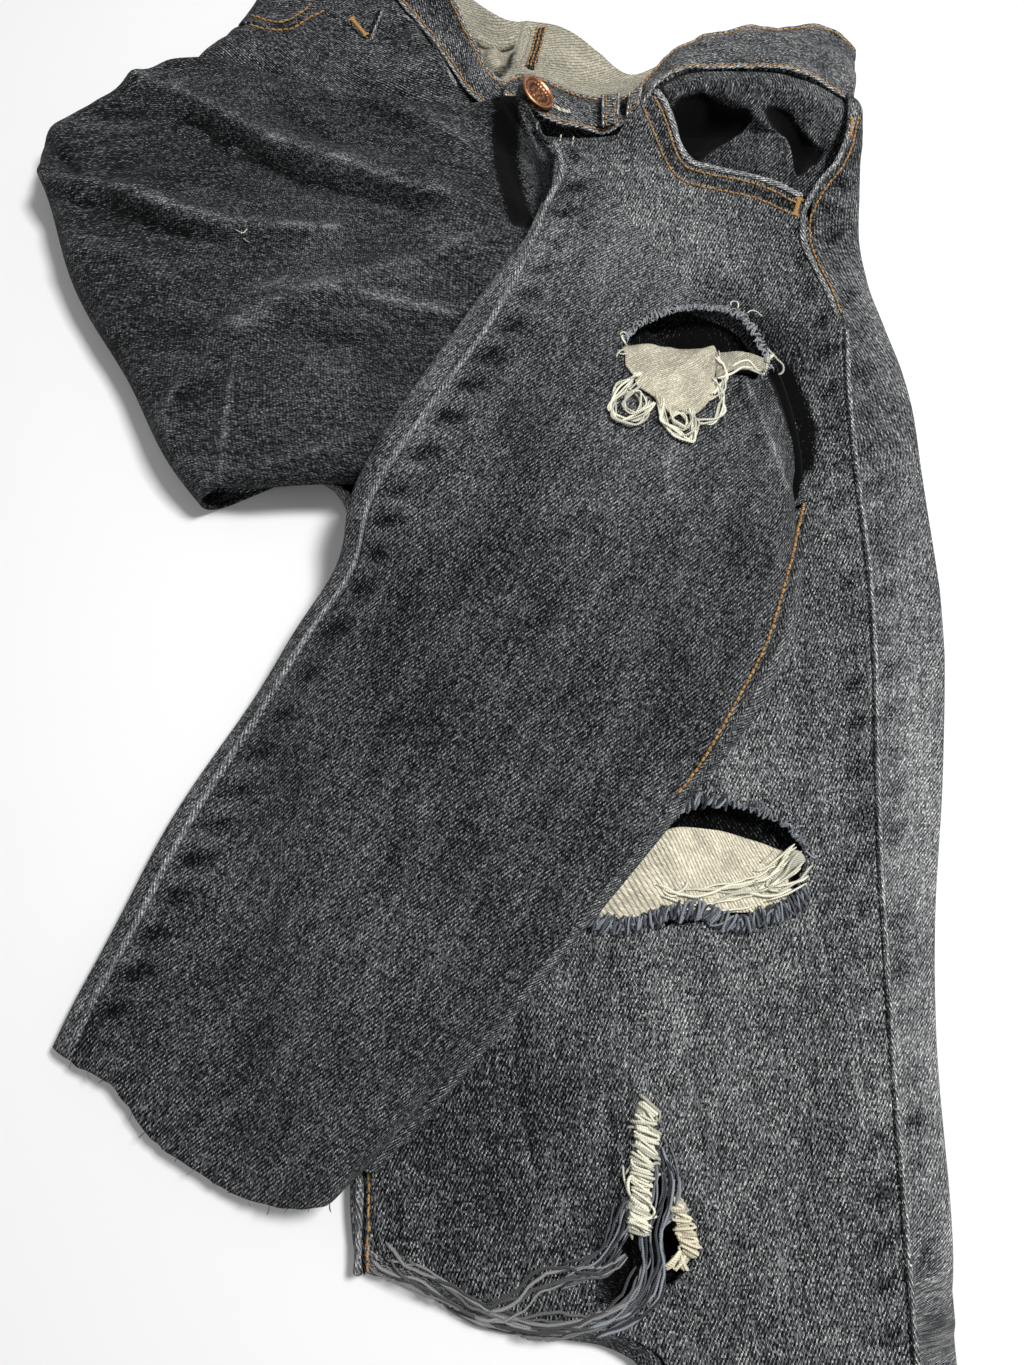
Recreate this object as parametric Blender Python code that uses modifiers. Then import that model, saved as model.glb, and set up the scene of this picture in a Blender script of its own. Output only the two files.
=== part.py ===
"""Ripped slim jeans lying folded on a flat surface, front side up.

The layout is worked out in centimetres: +X to the wearer's left, +Y from the hems to the waist,
+Z up from the surface. The left leg lies straight. The right thigh goes out to the left, folds over,
comes back over the hips with its back panel up, folds again through the knee rip, and the right shin
lies over the left thigh. Panels are open sheets lofted through short tables and thickened inwards.
"""
import math

import bmesh
import bpy
import numpy as np

CM = 0.01                   # one centimetre in metres
WALL = 0.13                 # stretch denim
BAND_WALL = 0.22            # doubled waistband
SEAM_GAP = 0.03             # between pieces that meet at a seam
LAYER_GAP = 0.07            # between pieces that lie on each other
FULLNESS = 0.12              # how much the middle of a flattened tube stands above its sides
EDGE_REACH = (0.3, 2.0)      # distance inside a fold over which fullness and ridges grow
FLY_DROP = 0.38              # share of its height that the left hip loses towards the fly
INSEAM_CLEAR = 0.12          # room for the back panel where it turns up beside the inseam
BUTTON_RADIUS = 0.93
BUTTON_CENTRE = (1.15, 36.2, 2.2)
BUTTON_NORMAL = (0.5, 0.3, 0.81)
LOOP_WIDTH = 0.65
LAYOUT_CENTRE = (-1.66, -2.30)

DENIM = (0.030, 0.040, 0.062)
DENIM_WASHED = (0.060, 0.075, 0.105)
REVERSE = (0.330, 0.320, 0.290)
THREAD = (0.740, 0.700, 0.560)
COPPER = (0.560, 0.220, 0.090)


def table(names, *rows):
    """Short table with named columns, as one array for each column."""
    return {name: np.array(values, float) for name, values in zip(names.split(), zip(*rows))}


def follow(tab, name, at, key="at"):
    """Smooth curve through one column, read at places along the key column, with no overshoot."""
    x, y = tab[key], tab[name]
    if x[0] > x[-1]:
        x, y = x[::-1], y[::-1]
    step = np.diff(x)
    slope = np.diff(y) / step
    tangent = np.zeros_like(y)
    tangent[0], tangent[-1] = slope[0], slope[-1]
    for i in range(1, len(y) - 1):
        if slope[i - 1] * slope[i] > 0:
            before, after = 2 * step[i] + step[i - 1], step[i] + 2 * step[i - 1]
            tangent[i] = (before + after) / (before / slope[i - 1] + after / slope[i])
    at = np.clip(at, x[0], x[-1])
    i = np.clip(np.searchsorted(x, at) - 1, 0, len(step) - 1)
    t = (at - x[i]) / step[i]
    return (y[i] * (1 + 2 * t) * (1 - t) ** 2 + step[i] * tangent[i] * t * (1 - t) ** 2
            + y[i + 1] * t * t * (3 - 2 * t) - step[i] * tangent[i + 1] * t * t * (1 - t))


def ease(low, high, value):
    """0 below low, 1 above high, smooth between."""
    t = np.clip((value - low) / (high - low), 0, 1)
    return t * t * (3 - 2 * t)


# Left leg. For each y: the fold on the inside, the inseam, the outseam and the fold on the outside,
# all as x, and the height of the flattened tube. At the knee rip the inner half of the leg is tucked
# under. Above the crotch only the two outer columns and the height count.
LEFT_LEG = table(
    "y fold_in inseam outseam fold_out height",
    (41.0, -14.0, 6.0, 15.4, 16.1, 1.9),
    (36.0, -14.0, 5.5, 15.0, 15.9, 2.0),
    (33.5, -14.0, 4.0, 14.3, 15.5, 1.9),
    (31.0, -14.0, 1.7, 12.9, 15.2, 1.7),
    (29.5, -14.0, 0.4, 12.8, 15.1, 1.6),
    (27.5, -14.0, -0.9, 13.2, 15.4, 1.45),
    (25.0, -12.0, -2.6, 14.0, 16.2, 1.3),
    (22.0, -8.5, -5.4, 13.9, 16.8, 1.15),
    (19.2, -7.3, -5.9, 14.0, 16.9, 1.05),
    (17.2, -7.0, -6.3, 14.1, 17.0, 1.0),
    (13.0, -6.7, -6.0, 14.2, 17.2, 0.95),
    (7.0, -6.4, -5.6, 13.8, 16.8, 0.9),
    (0.0, -6.1, -5.3, 13.7, 16.0, 0.88),
    (-5.0, -5.8, -5.0, 13.6, 15.6, 0.85),
    (-8.5, -5.7, -4.9, 13.6, 15.5, 0.82),
    (-10.2, -5.2, -4.4, 13.6, 15.4, 0.8),
    (-11.0, -4.2, -2.9, 13.6, 15.3, 0.8),
    (-11.7, -2.4, -0.7, 13.55, 15.2, 0.8),
    (-12.4, -0.4, 1.6, 13.5, 15.2, 0.8),
    (-13.0, 2.2, 4.1, 13.5, 15.1, 0.8),
    (-13.7, 4.2, 5.1, 13.5, 15.1, 0.8),
    (-16.0, 4.3, 4.9, 13.5, 15.1, 0.8),
    (-25.0, 2.6, 3.2, 13.4, 15.2, 0.76),
    (-40.0, 2.4, 3.0, 13.5, 15.4, 0.72),
    (-55.0, 3.1, 3.7, 13.7, 15.7, 0.7),
)
LEFT_ROWS = (
    29.5, 27.5, 25.4, 23.3, 21.2, 19.2, 18.6, 17.9, 17.2, 15.5, 13.5, 11.5, 9.5, 7.5, 5.5, 3.5, 1.6, -0.2,
    -2.0, -3.8, -5.5, -7.1, -8.6, -9.7, -10.5, -11.1, -11.6, -12.1, -12.5, -12.9, -13.3, -13.8, -15.0,
    -17.5, -21.0, -25.0, -30.0, -35.0, -40.0, -45.0, -50.0, -55.0)
CROTCH_Y = 19.2
TUBE_Y = 17.2                # below this the leg is a whole tube
SEAT_SEAM_TOP = (1.1, 36.4)
SEAT_SEAM_FOOT = (-8.27, 19.2)

# Front of the left hip: the edge along the fly and the edge of the pocket mouth, row by row.
LEFT_HIP_FRONT = table(
    "at fly_x fly_y mouth_x mouth_y",
    (0, 5.3, 35.4, 6.3, 36.2),
    (1, 4.6, 34.3, 6.9, 34.4),
    (2, 3.8, 33.2, 7.4, 32.8),
    (3, 2.9, 32.2, 8.8, 32.3),
    (4, 2.1, 31.3, 10.9, 31.9),
    (5, 1.2, 30.4, 12.45, 30.9),
    (6, 0.4, 29.5, 12.8, 29.5),
)

# Seam of the back waistband along the seat, from the left side seam to the right one.
SEAT_TOP = table(
    "x y",
    (15.4, 36.4), (11.0, 36.5), (8.0, 36.5), (5.4, 36.6), (3.3, 37.1), (1.07, 37.8), (-1.0, 38.4),
    (-3.2, 39.9), (-5.5, 43.0), (-7.4, 45.4), (-9.3, 47.6))

# Right thigh where it comes back over the hips, from its fold on the left to near the second fold:
# the inseam edge, the outseam edge, how far the row bows outwards, and the height of its top.
RIGHT_THIGH = table(
    "at low_x low_y top_x top_y bow height",
    (0, -11.7, 17.7, -19.5, 35.3, 1.7, 2.2),
    (1, -10.0, 17.6, -17.0, 37.1, 0.9, 2.35),
    (2, -8.0, 17.7, -13.7, 38.0, 0.3, 2.45),
    (3, -5.3, 17.7, -10.5, 37.2, 0.0, 2.5),
    (4, -2.6, 17.6, -7.4, 36.1, 0.0, 2.5),
    (5, 0.8, 17.5, -3.9, 35.7, 0.0, 2.45),
    (6, 3.6, 17.4, -1.7, 35.8, 0.0, 2.3),
    (7, 6.2, 17.3, 0.1, 35.6, 0.0, 2.1),
    (8, 8.4, 17.2, 1.3, 33.9, 0.0, 1.9),
)
THIGH_ROWS = (0, 0.5, 1, 1.6, 2.2, 2.8, 3.4, 4, 4.6, 5.2, 5.8, 6.2, 6.6, 7, 7.4, 8)
FIRST_FOLD_DEPTH = 1.05      # how far the first fold stands out beyond its top line
FIRST_FOLD_OUT = (-0.908, -0.418)
THIGH_EDGE = 0.45            # radius of the thigh's side folds
OPEN_ROWS = (5.8, 6.8)       # between these rows the side folds open out
EVEN_ROWS = (6.6, 7.4)       # between these rows the columns spread evenly
FOLD_TUCK = 2.6             # how far the first fold's turn lies inside it on the surface
# The deep valley beside the shin: how far the thigh dips, row by row.
VALLEY = table("at dip", (5.6, 0.0), (6.2, 0.25), (6.6, 1.0), (6.9, 1.0), (7.4, 0.0), (8.0, -0.45))
VALLEY_END = (28.6, 30.6)    # it fades out between these places, as y

# The rounded solid of hidden layers inside the folded thigh: its rows, and the steps of the layers at
# its edges, each at a share of the height and standing out by a share of it.
LAYER_ROWS = (0, 0.7, 1.6, 2.6, 3.6, 4.6, 5.4)
LAYER_STEPS = table("share out", (0.17, 0.15), (0.34, 0.02), (0.5, 0.17), (0.66, 0.02), (0.83, 0.15))

# Right shin from the second fold to the hem: outseam and inseam, what of the back panel shows beyond
# each, how far the row bows towards the fold, how far towards the hem, and the height of the tube.
RIGHT_SHIN = table(
    "at out_x out_y in_x in_y over_out over_in bow hem height",
    (0, 1.9, 32.9, 10.9, 16.6, 0.35, 0.5, 1.0, 0.0, 0.55),
    (1, 1.4, 29.2, 11.0, 15.0, 0.5, 0.6, 0.55, 0.0, 0.8),
    (2, -0.9, 24.5, 10.3, 12.4, 0.9, 0.8, 0.2, 0.0, 1.0),
    (3, -3.9, 19.4, 9.0, 9.4, 1.0, 0.8, 0.0, 0.0, 1.0),
    (4, -7.4, 12.8, 6.6, 5.9, 0.95, 0.53, 0.0, 0.0, 1.0),
    (5, -10.0, 7.8, 3.6, 2.3, 0.9, 0.52, 0.0, 0.0, 0.95),
    (6, -12.4, 3.3, 0.9, -0.9, 0.9, 0.5, 0.0, 0.05, 0.9),
    (7, -14.2, -0.2, -1.7, -3.8, 0.9, 0.48, 0.0, 0.4, 0.85),
    (8, -15.5, -2.8, -4.8, -6.9, 0.9, 0.46, 0.0, 1.0, 0.8),
)
SHIN_ROWS = (
    0, 0.45, 0.9, 1.35, 1.8, 2.2, 2.6, 3.0, 3.5, 4.0, 4.5, 5.0, 5.5, 6.0, 6.5, 7.0, 7.35, 7.7, 8.0)
SHIN_BACK_FIRST = 0.9        # the back panel starts this far past the second fold
# The second fold bows out by this much, in centimetres, along its length.
SECOND_FOLD_BOW = table(
    "at bow",
    (0.0, 0.0), (0.25, 0.5), (0.5, 1.2), (0.68, 2.5), (0.85, 1.7), (1.0, 0.3))
SECOND_FOLD_OUT = (0.870, 0.494)
SECOND_FOLD_DEPTH = 0.6
SECOND_FOLD_LEAST = 0.46     # least height of the second fold
# The raw hem hangs below the straight line between its seams by this much.
HEM_BOW = table(
    "at bow",
    (0.0, 0.9), (0.1, 1.2), (0.2, 1.6), (0.35, 2.2), (0.5, 2.9), (0.65, 3.1), (0.8, 2.8),
    (0.9, 2.3), (1.0, 0.6))
HEM_OUT = (-0.33, -0.94)

# Front of the right hip: from the seam of the waistband round to the side seam, each row from where the
# thigh covers it to the pocket mouth. The facing's rows go on from the mouth to the side.
RIGHT_HIP_FRONT = table(
    "at low_x low_y top_x top_y bow",
    (0, -1.15, 35.3, -6.2, 43.1, 0.24),
    (1, -3.6, 35.0, -7.3, 42.5, 0.1),
    (2, -6.2, 35.1, -8.7, 41.6, 0.0),
    (3, -8.8, 36.0, -9.8, 41.0, 0.0),
    (4, -11.0, 37.0, -11.1, 40.65, 0.0),
    (5, -13.2, 37.6, -12.85, 40.8, 0.0),
    (6, -15.3, 37.9, -14.45, 39.05, 0.0),
)
RIGHT_HIP_FACING = table(
    "at low_x low_y top_x top_y bow",
    (0, -6.5, 43.25, -9.25, 47.2, 0.0),
    (1, -7.45, 42.65, -10.1, 46.4, 0.0),
    (2, -8.75, 41.75, -11.2, 44.6, 0.0),
    (3, -9.85, 41.15, -12.0, 42.9, 0.0),
    (4, -11.1, 40.8, -12.6, 41.6, 0.0),
    (5, -12.2, 40.85, -12.75, 41.2, 0.0),
)
TO_RIGHT_BAND = (0.84, 0.54)  # the rows bow out this way
RIGHT_HIP_RIM = 0.14         # height of the hip's edge at the side seam
RIGHT_HIP_SIDE = ((-9.3, 48.4), (-11.5, 44.2), (-12.95, 40.9), (-14.5, 39.0), (-15.6, 38.2))
RIGHT_HIP_HEIGHT = 1.3

# Back panel under the right hip, flat on the surface, from the seat seam to the first fold.
RIGHT_SEAT = table(
    "at low_x low_y top_x",
    (1, -8.4, 19.15, -1.0),
    (2, -8.5, 19.1, -3.2),
    (3, -8.6, 19.05, -5.5),
    (4, -8.75, 19.0, -7.4),
    (5, -8.9, 18.95, -9.3),
)
RIGHT_SEAT_SIDE = table(
    "at low_x low_y top_x top_y",
    (1, -9.05, 18.9, -11.9, 43.0),
    (2, -9.2, 18.85, -14.4, 39.2),
)

# Waistband parts: the seam along the panels and the top edge, in space.
LEFT_BAND = table(
    "at seam_x seam_y seam_z edge_x edge_y edge_z",
    (0, -0.35, 36.0, 2.45, -0.25, 36.8, 2.2),
    (1, 0.2, 35.6, 2.35, 0.3, 37.4, 1.95),
    (2, 1.3, 35.2, 2.0, 1.3, 37.7, 1.55),
    (3, 2.8, 34.9, 1.6, 2.6, 37.3, 1.25),
    (4, 3.9, 34.8, 1.5, 3.9, 36.9, 1.2),
    (5, 5.0, 35.1, 1.7, 5.2, 36.8, 1.4),
    (6, 5.9, 36.1, 2.05, 6.3, 38.1, 1.4),
    (7, 6.9, 37.0, 2.25, 7.3, 39.5, 1.2),
    (8, 8.5, 37.5, 2.3, 8.8, 40.3, 1.05),
    (9, 11.0, 37.5, 2.3, 11.3, 40.9, 0.95),
    (10, 13.2, 37.0, 2.2, 13.7, 41.0, 0.9),
    (11, 14.8, 36.4, 1.85, 15.1, 40.6, 0.85),
    (12, 15.7, 36.3, 1.1, 15.9, 40.0, 0.6),
)
RIGHT_BAND = table(
    "at seam_x seam_y seam_z edge_x edge_y edge_z",
    (0, 0.9, 35.9, 1.35, 1.3, 37.0, 1.15),
    (1, -0.6, 35.85, 1.55, -0.2, 37.4, 1.35),
    (2, -1.75, 36.6, 1.6, -1.1, 38.0, 1.5),
    (3, -2.6, 38.0, 1.6, -1.6, 39.3, 1.5),
    (4, -3.5, 39.5, 1.6, -2.2, 40.9, 1.4),
    (5, -5.1, 41.8, 1.5, -3.2, 43.4, 1.3),
    (6, -7.1, 44.5, 1.4, -4.6, 46.4, 1.15),
    (7, -9.0, 47.4, 1.2, -6.1, 49.8, 0.95),
)
PLACKET_HEAD = table(
    "x y", (-0.9, 35.2), (0.2, 35.1), (1.3, 34.9), (2.8, 34.6), (3.9, 34.45), (4.9, 34.5))
PLACKET_FOOT_Y = 31.4
BACK_BAND_EDGE = table(
    "x edge_x edge_y",
    (15.4, 15.5, 40.3),
    (11.0, 11.2, 40.8),
    (8.0, 8.4, 40.4),
    (5.4, 5.9, 39.6),
    (3.3, 4.1, 40.9),
    (1.07, 2.2, 41.9),
    (-1.0, -0.4, 42.4),
    (-3.2, -2.3, 43.8),
    (-5.5, -4.0, 46.6),
    (-7.4, -5.5, 48.5),
    (-9.3, -7.2, 50.4),
)

# Largest folds that lie in the cloth: a soft ridge (or trough) along a line.
LEFT_FOLDS = table(
    "x0 y0 x1 y1 width height",
    (4.9, 30.7, 8.0, 29.6, 0.7, 0.15),
    (8.0, 29.6, 9.9, 26.8, 0.8, 0.15),
    (0.5, -6.3, 1.8, -8.7, 0.8, -0.2),
    (12.9, 28.5, 15.2, 27.6, 0.6, 0.2),
    (-3.0, -2.0, -2.0, -9.0, 1.6, -0.15),
)
THIGH_FOLDS = table(
    "x0 y0 x1 y1 width height",
    (-20.0, 32.3, -15.3, 30.4, 1.0, 0.3),
    (-15.3, 30.4, -9.0, 28.6, 1.0, 0.35),
    (-12.2, 34.8, -4.8, 31.8, 0.9, 0.35),
    (-4.8, 31.8, -2.2, 30.4, 0.8, 0.3),
    (-7.5, 25.8, -4.2, 27.4, 0.9, 0.3),
    (-13.0, 20.5, -7.5, 21.5, 1.4, 0.25),
)
SHIN_FOLDS = table(
    "x0 y0 x1 y1 width height",
    (10.6, 20.2, 10.2, 13.6, 0.7, 0.2),
    (3.5, 17.0, -2.0, 6.0, 2.2, 0.2),
)

# Loose threads: length, sideways lean and rise of each, in turn.
SHORT_THREADS = (
    (0.42, 0.05, 0.1), (0.3, -0.05, 0.15), (0.52, 0.04, 0.05), (0.36, 0.0, 0.2), (0.46, -0.04, 0.1))
TUFT_THREADS = ((0.6, 0.08, 0.2), (0.8, -0.05, 0.1), (0.5, 0.0, 0.25))
KNEE_TONGUE_HEAD = ((4.6, 21.4), (5.4, 21.5), (6.4, 21.4), (7.4, 21.3), (8.3, 21.4))
KNEE_TONGUE_FOOT = ((4.3, 19.7), (5.1, 20.0), (6.4, 19.4), (7.2, 18.9), (7.6, 19.9))
THIGH_TONGUE_HEAD = ((4.4, 2.4), (5.9, 3.2), (7.4, 3.2), (8.8, 2.8), (9.8, 2.6))
THIGH_TONGUE_FOOT = ((3.9, 1.0), (5.7, 0.6), (7.2, 0.6), (8.5, 0.8), (9.8, 1.3))

# Rips, as outlines seen from above, and the frayed strips and tongues at them.
KNEE_RIP_RIGHT = (
    (4.4, 22.7), (5.0, 23.8), (7.4, 24.6), (9.4, 24.1), (10.3, 23.0), (9.8, 22.1), (7.4, 21.8),
    (5.2, 22.0))
THIGH_RIP_LEFT = (
    (3.5, 1.5), (4.9, 3.4), (6.5, 4.8), (7.7, 5.0), (9.8, 4.3), (10.7, 3.3), (10.3, 2.1), (8.4, 1.3),
    (5.5, 1.1))
KNEE_RIP_LEFT = (
    (4.7, -6.2), (5.2, -8.4), (6.0, -9.7), (6.4, -10.9), (5.6, -11.7), (3.9, -12.0), (3.0, -11.2),
    (3.9, -9.6), (4.3, -7.6))


def new_material(name, colour, roughness, metallic=0.0):
    material = bpy.data.materials.new(name)
    material.use_nodes = True
    shader = material.node_tree.nodes["Principled BSDF"]
    shader.inputs["Base Color"].default_value = (*colour, 1.0)
    shader.inputs["Roughness"].default_value = roughness
    shader.inputs["Metallic"].default_value = metallic
    return material


def add_mesh(name, points, faces, colour, roughness=0.9, metallic=0.0, collection="jeans"):
    """Object from points in centimetres of the layout, moved so that the box is centred."""
    mesh = bpy.data.meshes.new(name)
    shifted = (np.asarray(points, float) - (*LAYOUT_CENTRE, 0.0)) * CM
    mesh.from_pydata(shifted.tolist(), [], faces)
    mesh.update()
    obj = bpy.data.objects.new(name, mesh)
    bpy.data.collections[collection].objects.link(obj)
    obj.data.materials.append(new_material(name, colour, roughness, metallic))
    return obj


def sheet(name, grid, colour, wall=WALL):
    """Open lofted sheet, outer side up, thickened away from its outer side."""
    rows, cols = grid.shape[:2]
    index = np.arange(rows * cols).reshape(rows, cols)
    faces = [(index[i, j], index[i + 1, j], index[i + 1, j + 1], index[i, j + 1])
             for i in range(rows - 1) for j in range(cols - 1)]
    obj = add_mesh(name, grid.reshape(-1, 3), [tuple(map(int, face)) for face in faces], colour)
    solidify = obj.modifiers.new("wall", 'SOLIDIFY')
    solidify.thickness = wall * CM
    solidify.offset = -1.0
    solidify.use_quality_normals = True
    return obj


def rip(obj, outline, low, high):
    """Cut a hole through a sheet: a flat outline extruded from low to high."""
    curve = bpy.data.curves.new(obj.name + "_rip", 'CURVE')
    curve.dimensions = '2D'
    curve.fill_mode = 'BOTH'
    curve.extrude = (high - low) / 2 * CM
    spline = curve.splines.new('POLY')
    spline.points.add(len(outline) - 1)
    for point, (x, y) in zip(spline.points, outline):
        point.co = ((x - LAYOUT_CENTRE[0]) * CM, (y - LAYOUT_CENTRE[1]) * CM, 0.0, 1.0)
    spline.use_cyclic_u = True
    source = bpy.data.objects.new(obj.name + "_rip_curve", curve)
    bpy.data.collections["cutters"].objects.link(source)
    bpy.context.view_layer.update()
    mesh = bpy.data.meshes.new_from_object(source.evaluated_get(bpy.context.evaluated_depsgraph_get()))
    work = bmesh.new()
    work.from_mesh(mesh)
    bmesh.ops.remove_doubles(work, verts=work.verts, dist=0.00002)
    bmesh.ops.recalc_face_normals(work, faces=work.faces)
    work.to_mesh(mesh)
    work.free()
    cutter = bpy.data.objects.new(obj.name + "_rip_cutter", mesh)
    cutter.location.z = (low + high) / 2 * CM
    cutter.hide_render = True
    cutter.display_type = 'WIRE'
    bpy.data.collections["cutters"].objects.link(cutter)
    bpy.data.objects.remove(source)
    cut = obj.modifiers.new("rip", 'BOOLEAN')
    cut.operation = 'DIFFERENCE'
    cut.solver = 'EXACT'
    cut.object = cutter


def folds(tab, x, y):
    """Height that the soft ridges of a table add at a point."""
    total = np.zeros_like(x)
    for x0, y0, x1, y1, width, height in zip(*(tab[key] for key in tab)):
        length = math.hypot(x1 - x0, y1 - y0)
        ux, uy = (x1 - x0) / length, (y1 - y0) / length
        run = (x - x0) * ux + (y - y0) * uy
        beyond = np.maximum(np.maximum(-run, run - length), 0)
        aside = np.abs((x - x0) * uy - (y - y0) * ux)
        total = total + height * np.exp(-(aside ** 2 + beyond ** 2) / width ** 2)
    return total


def stadium(inside, height):
    """Top of a flattened tube at a distance inside its fold."""
    radius = height / 2
    depth = np.clip(inside, 0, radius)
    return radius + np.sqrt(np.maximum(radius ** 2 - (radius - depth) ** 2, 0))


def left_height(x, y):
    """Height of the left leg's tube, lower near the fly than at the pocket."""
    loft = 1 - FLY_DROP * (1 - ease(0.5, 6.5, x)) * ease(20, 30, y)
    return follow(LEFT_LEG, "height", y, "y") * loft


def slant(name, y):
    """How much nearer a slanted fold is straight across it than along x."""
    slope = (follow(LEFT_LEG, name, y + 0.1, "y") - follow(LEFT_LEG, name, y - 0.1, "y")) / 0.2
    return 1 / np.sqrt(1 + slope ** 2)


def left_top(x, y):
    """Outer side of the left front panel."""
    height = left_height(x, y)
    inside = np.minimum((x - follow(LEFT_LEG, "fold_in", y, "y")) * slant("fold_in", y),
                        (follow(LEFT_LEG, "fold_out", y, "y") - x) * slant("fold_out", y))
    return stadium(inside, height) + (FULLNESS + folds(LEFT_FOLDS, x, y)) * ease(*EDGE_REACH, inside)


class Pile:
    """Highest cloth laid so far, on a square raster over the layout."""

    cell = 0.25
    low = np.array((-24.0, -58.0))
    size = (180, 440)

    def __init__(self):
        self.top = np.zeros(self.size)
        self.roof = self.top

    def lay(self, grid, rise=0.0, fine=12):
        """Raise the raster to a sheet's flat cells, or to a rise above them."""
        points = dense(grid, fine).reshape(-1, 3)
        cells = np.round((points[:, :2] - self.low) / self.cell).astype(int)
        keep = ((cells >= 0) & (cells < self.size)).all(axis=1)
        np.maximum.at(self.top, tuple(cells[keep].T), points[keep, 2] + rise)
        self.roof = spread(self.top, 1)

    def read(self, raster, x, y):
        """Value between raster points."""
        u = np.clip((np.asarray(x) - self.low[0]) / self.cell, 0, self.size[0] - 1.001)
        v = np.clip((np.asarray(y) - self.low[1]) / self.cell, 0, self.size[1] - 1.001)
        i, j = u.astype(int), v.astype(int)
        a, b = u - i, v - j
        return ((raster[i, j] * (1 - b) + raster[i, j + 1] * b) * (1 - a)
                + (raster[i + 1, j] * (1 - b) + raster[i + 1, j + 1] * b) * a)

    def drape(self, slope, soft):
        """Cloth laid over the pile: it bridges steps no steeper than slope, rounded over soft cells."""
        raster = spread(self.top, soft + 1)
        drop = slope * self.cell
        for _ in range(60):
            raster = np.maximum(raster, spread(raster, 1) - drop)
        raster = blur(raster, soft)
        return lambda x, y: self.read(raster, x, y)


def dense(grid, fine):
    """Points on the flat cells of a grid, fine to a side."""
    t = np.arange(fine) / fine
    grid = np.concatenate([grid[:-1] * (1 - s) + grid[1:] * s for s in t] + [grid[-1:]])
    return np.concatenate([grid[:, :-1] * (1 - s) + grid[:, 1:] * s for s in t] + [grid[:, -1:]], axis=1)


def spread(raster, reach):
    """Largest value within reach cells."""
    for axis in (0, 1):
        base = raster
        for shift in range(1, reach + 1):
            raster = np.maximum(raster, np.maximum(np.roll(base, shift, axis), np.roll(base, -shift, axis)))
    return raster


def blur(raster, reach):
    """Mean over a square of reach cells to each side."""
    for axis in (0, 1):
        raster = sum(np.roll(raster, shift, axis) for shift in range(-reach, reach + 1)) / (2 * reach + 1)
    return raster


def lift_clear(grid, pile, gap):
    """Raise a sheet's points until its flat cells clear the pile by gap."""
    grid = grid.copy()
    for _ in range(30):
        worst = 0.0
        for i in range(grid.shape[0] - 1):
            for j in range(grid.shape[1] - 1):
                points = dense(grid[i:i + 2, j:j + 2], 6).reshape(-1, 3)
                under = pile.read(pile.roof, points[:, 0], points[:, 1])
                short = (under + gap * np.minimum(under / gap, 1) - points[:, 2]).max()
                if short > 0.002:
                    grid[i:i + 2, j:j + 2, 2] += short * 0.8
                    worst = max(worst, short)
        if worst == 0.0:
            break
    return grid


def between(first, second, parts):
    """Points from first to second, one row of points for each of the two curves' points."""
    t = np.linspace(0, 1, parts)[None, :, None]
    return first[:, None, :] * (1 - t) + second[:, None, :] * t


def pair(tab, at, low, high):
    """Two plan curves of a table, as arrays of points."""
    first = np.stack([follow(tab, low + "_x", at), follow(tab, low + "_y", at)], axis=1)
    second = np.stack([follow(tab, high + "_x", at), follow(tab, high + "_y", at)], axis=1)
    return first, second


def with_height(plan, height):
    """Plan grid with a height for each point."""
    return np.concatenate([plan, height[..., None]], axis=2)


def left_front_grid(columns=12, hip_rows=7):
    """Front panel of the left leg, from the pocket to the hem."""
    at = np.linspace(0, 6, hip_rows)
    fly, mouth = pair(LEFT_HIP_FRONT, at, "fly", "mouth")
    y = np.array(LEFT_ROWS[1:])
    clear = INSEAM_CLEAR * (ease(16.4, TUBE_Y, y) + 0.7 * np.exp(-(y + 13.6) ** 2))
    inner = np.stack([follow(LEFT_LEG, "inseam", y, "y") + clear, y], axis=1)
    outer = np.stack([follow(LEFT_LEG, "outseam", y, "y"), y], axis=1)
    low = np.concatenate([fly, inner])
    high = np.concatenate([mouth, outer])
    along = (high - low) / np.linalg.norm(high - low, axis=1)[:, None]
    plan = between(low + along * SEAM_GAP / 2, high - along * SEAM_GAP / 2, columns)
    return with_height(plan, left_top(plan[..., 0], plan[..., 1]))


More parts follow.
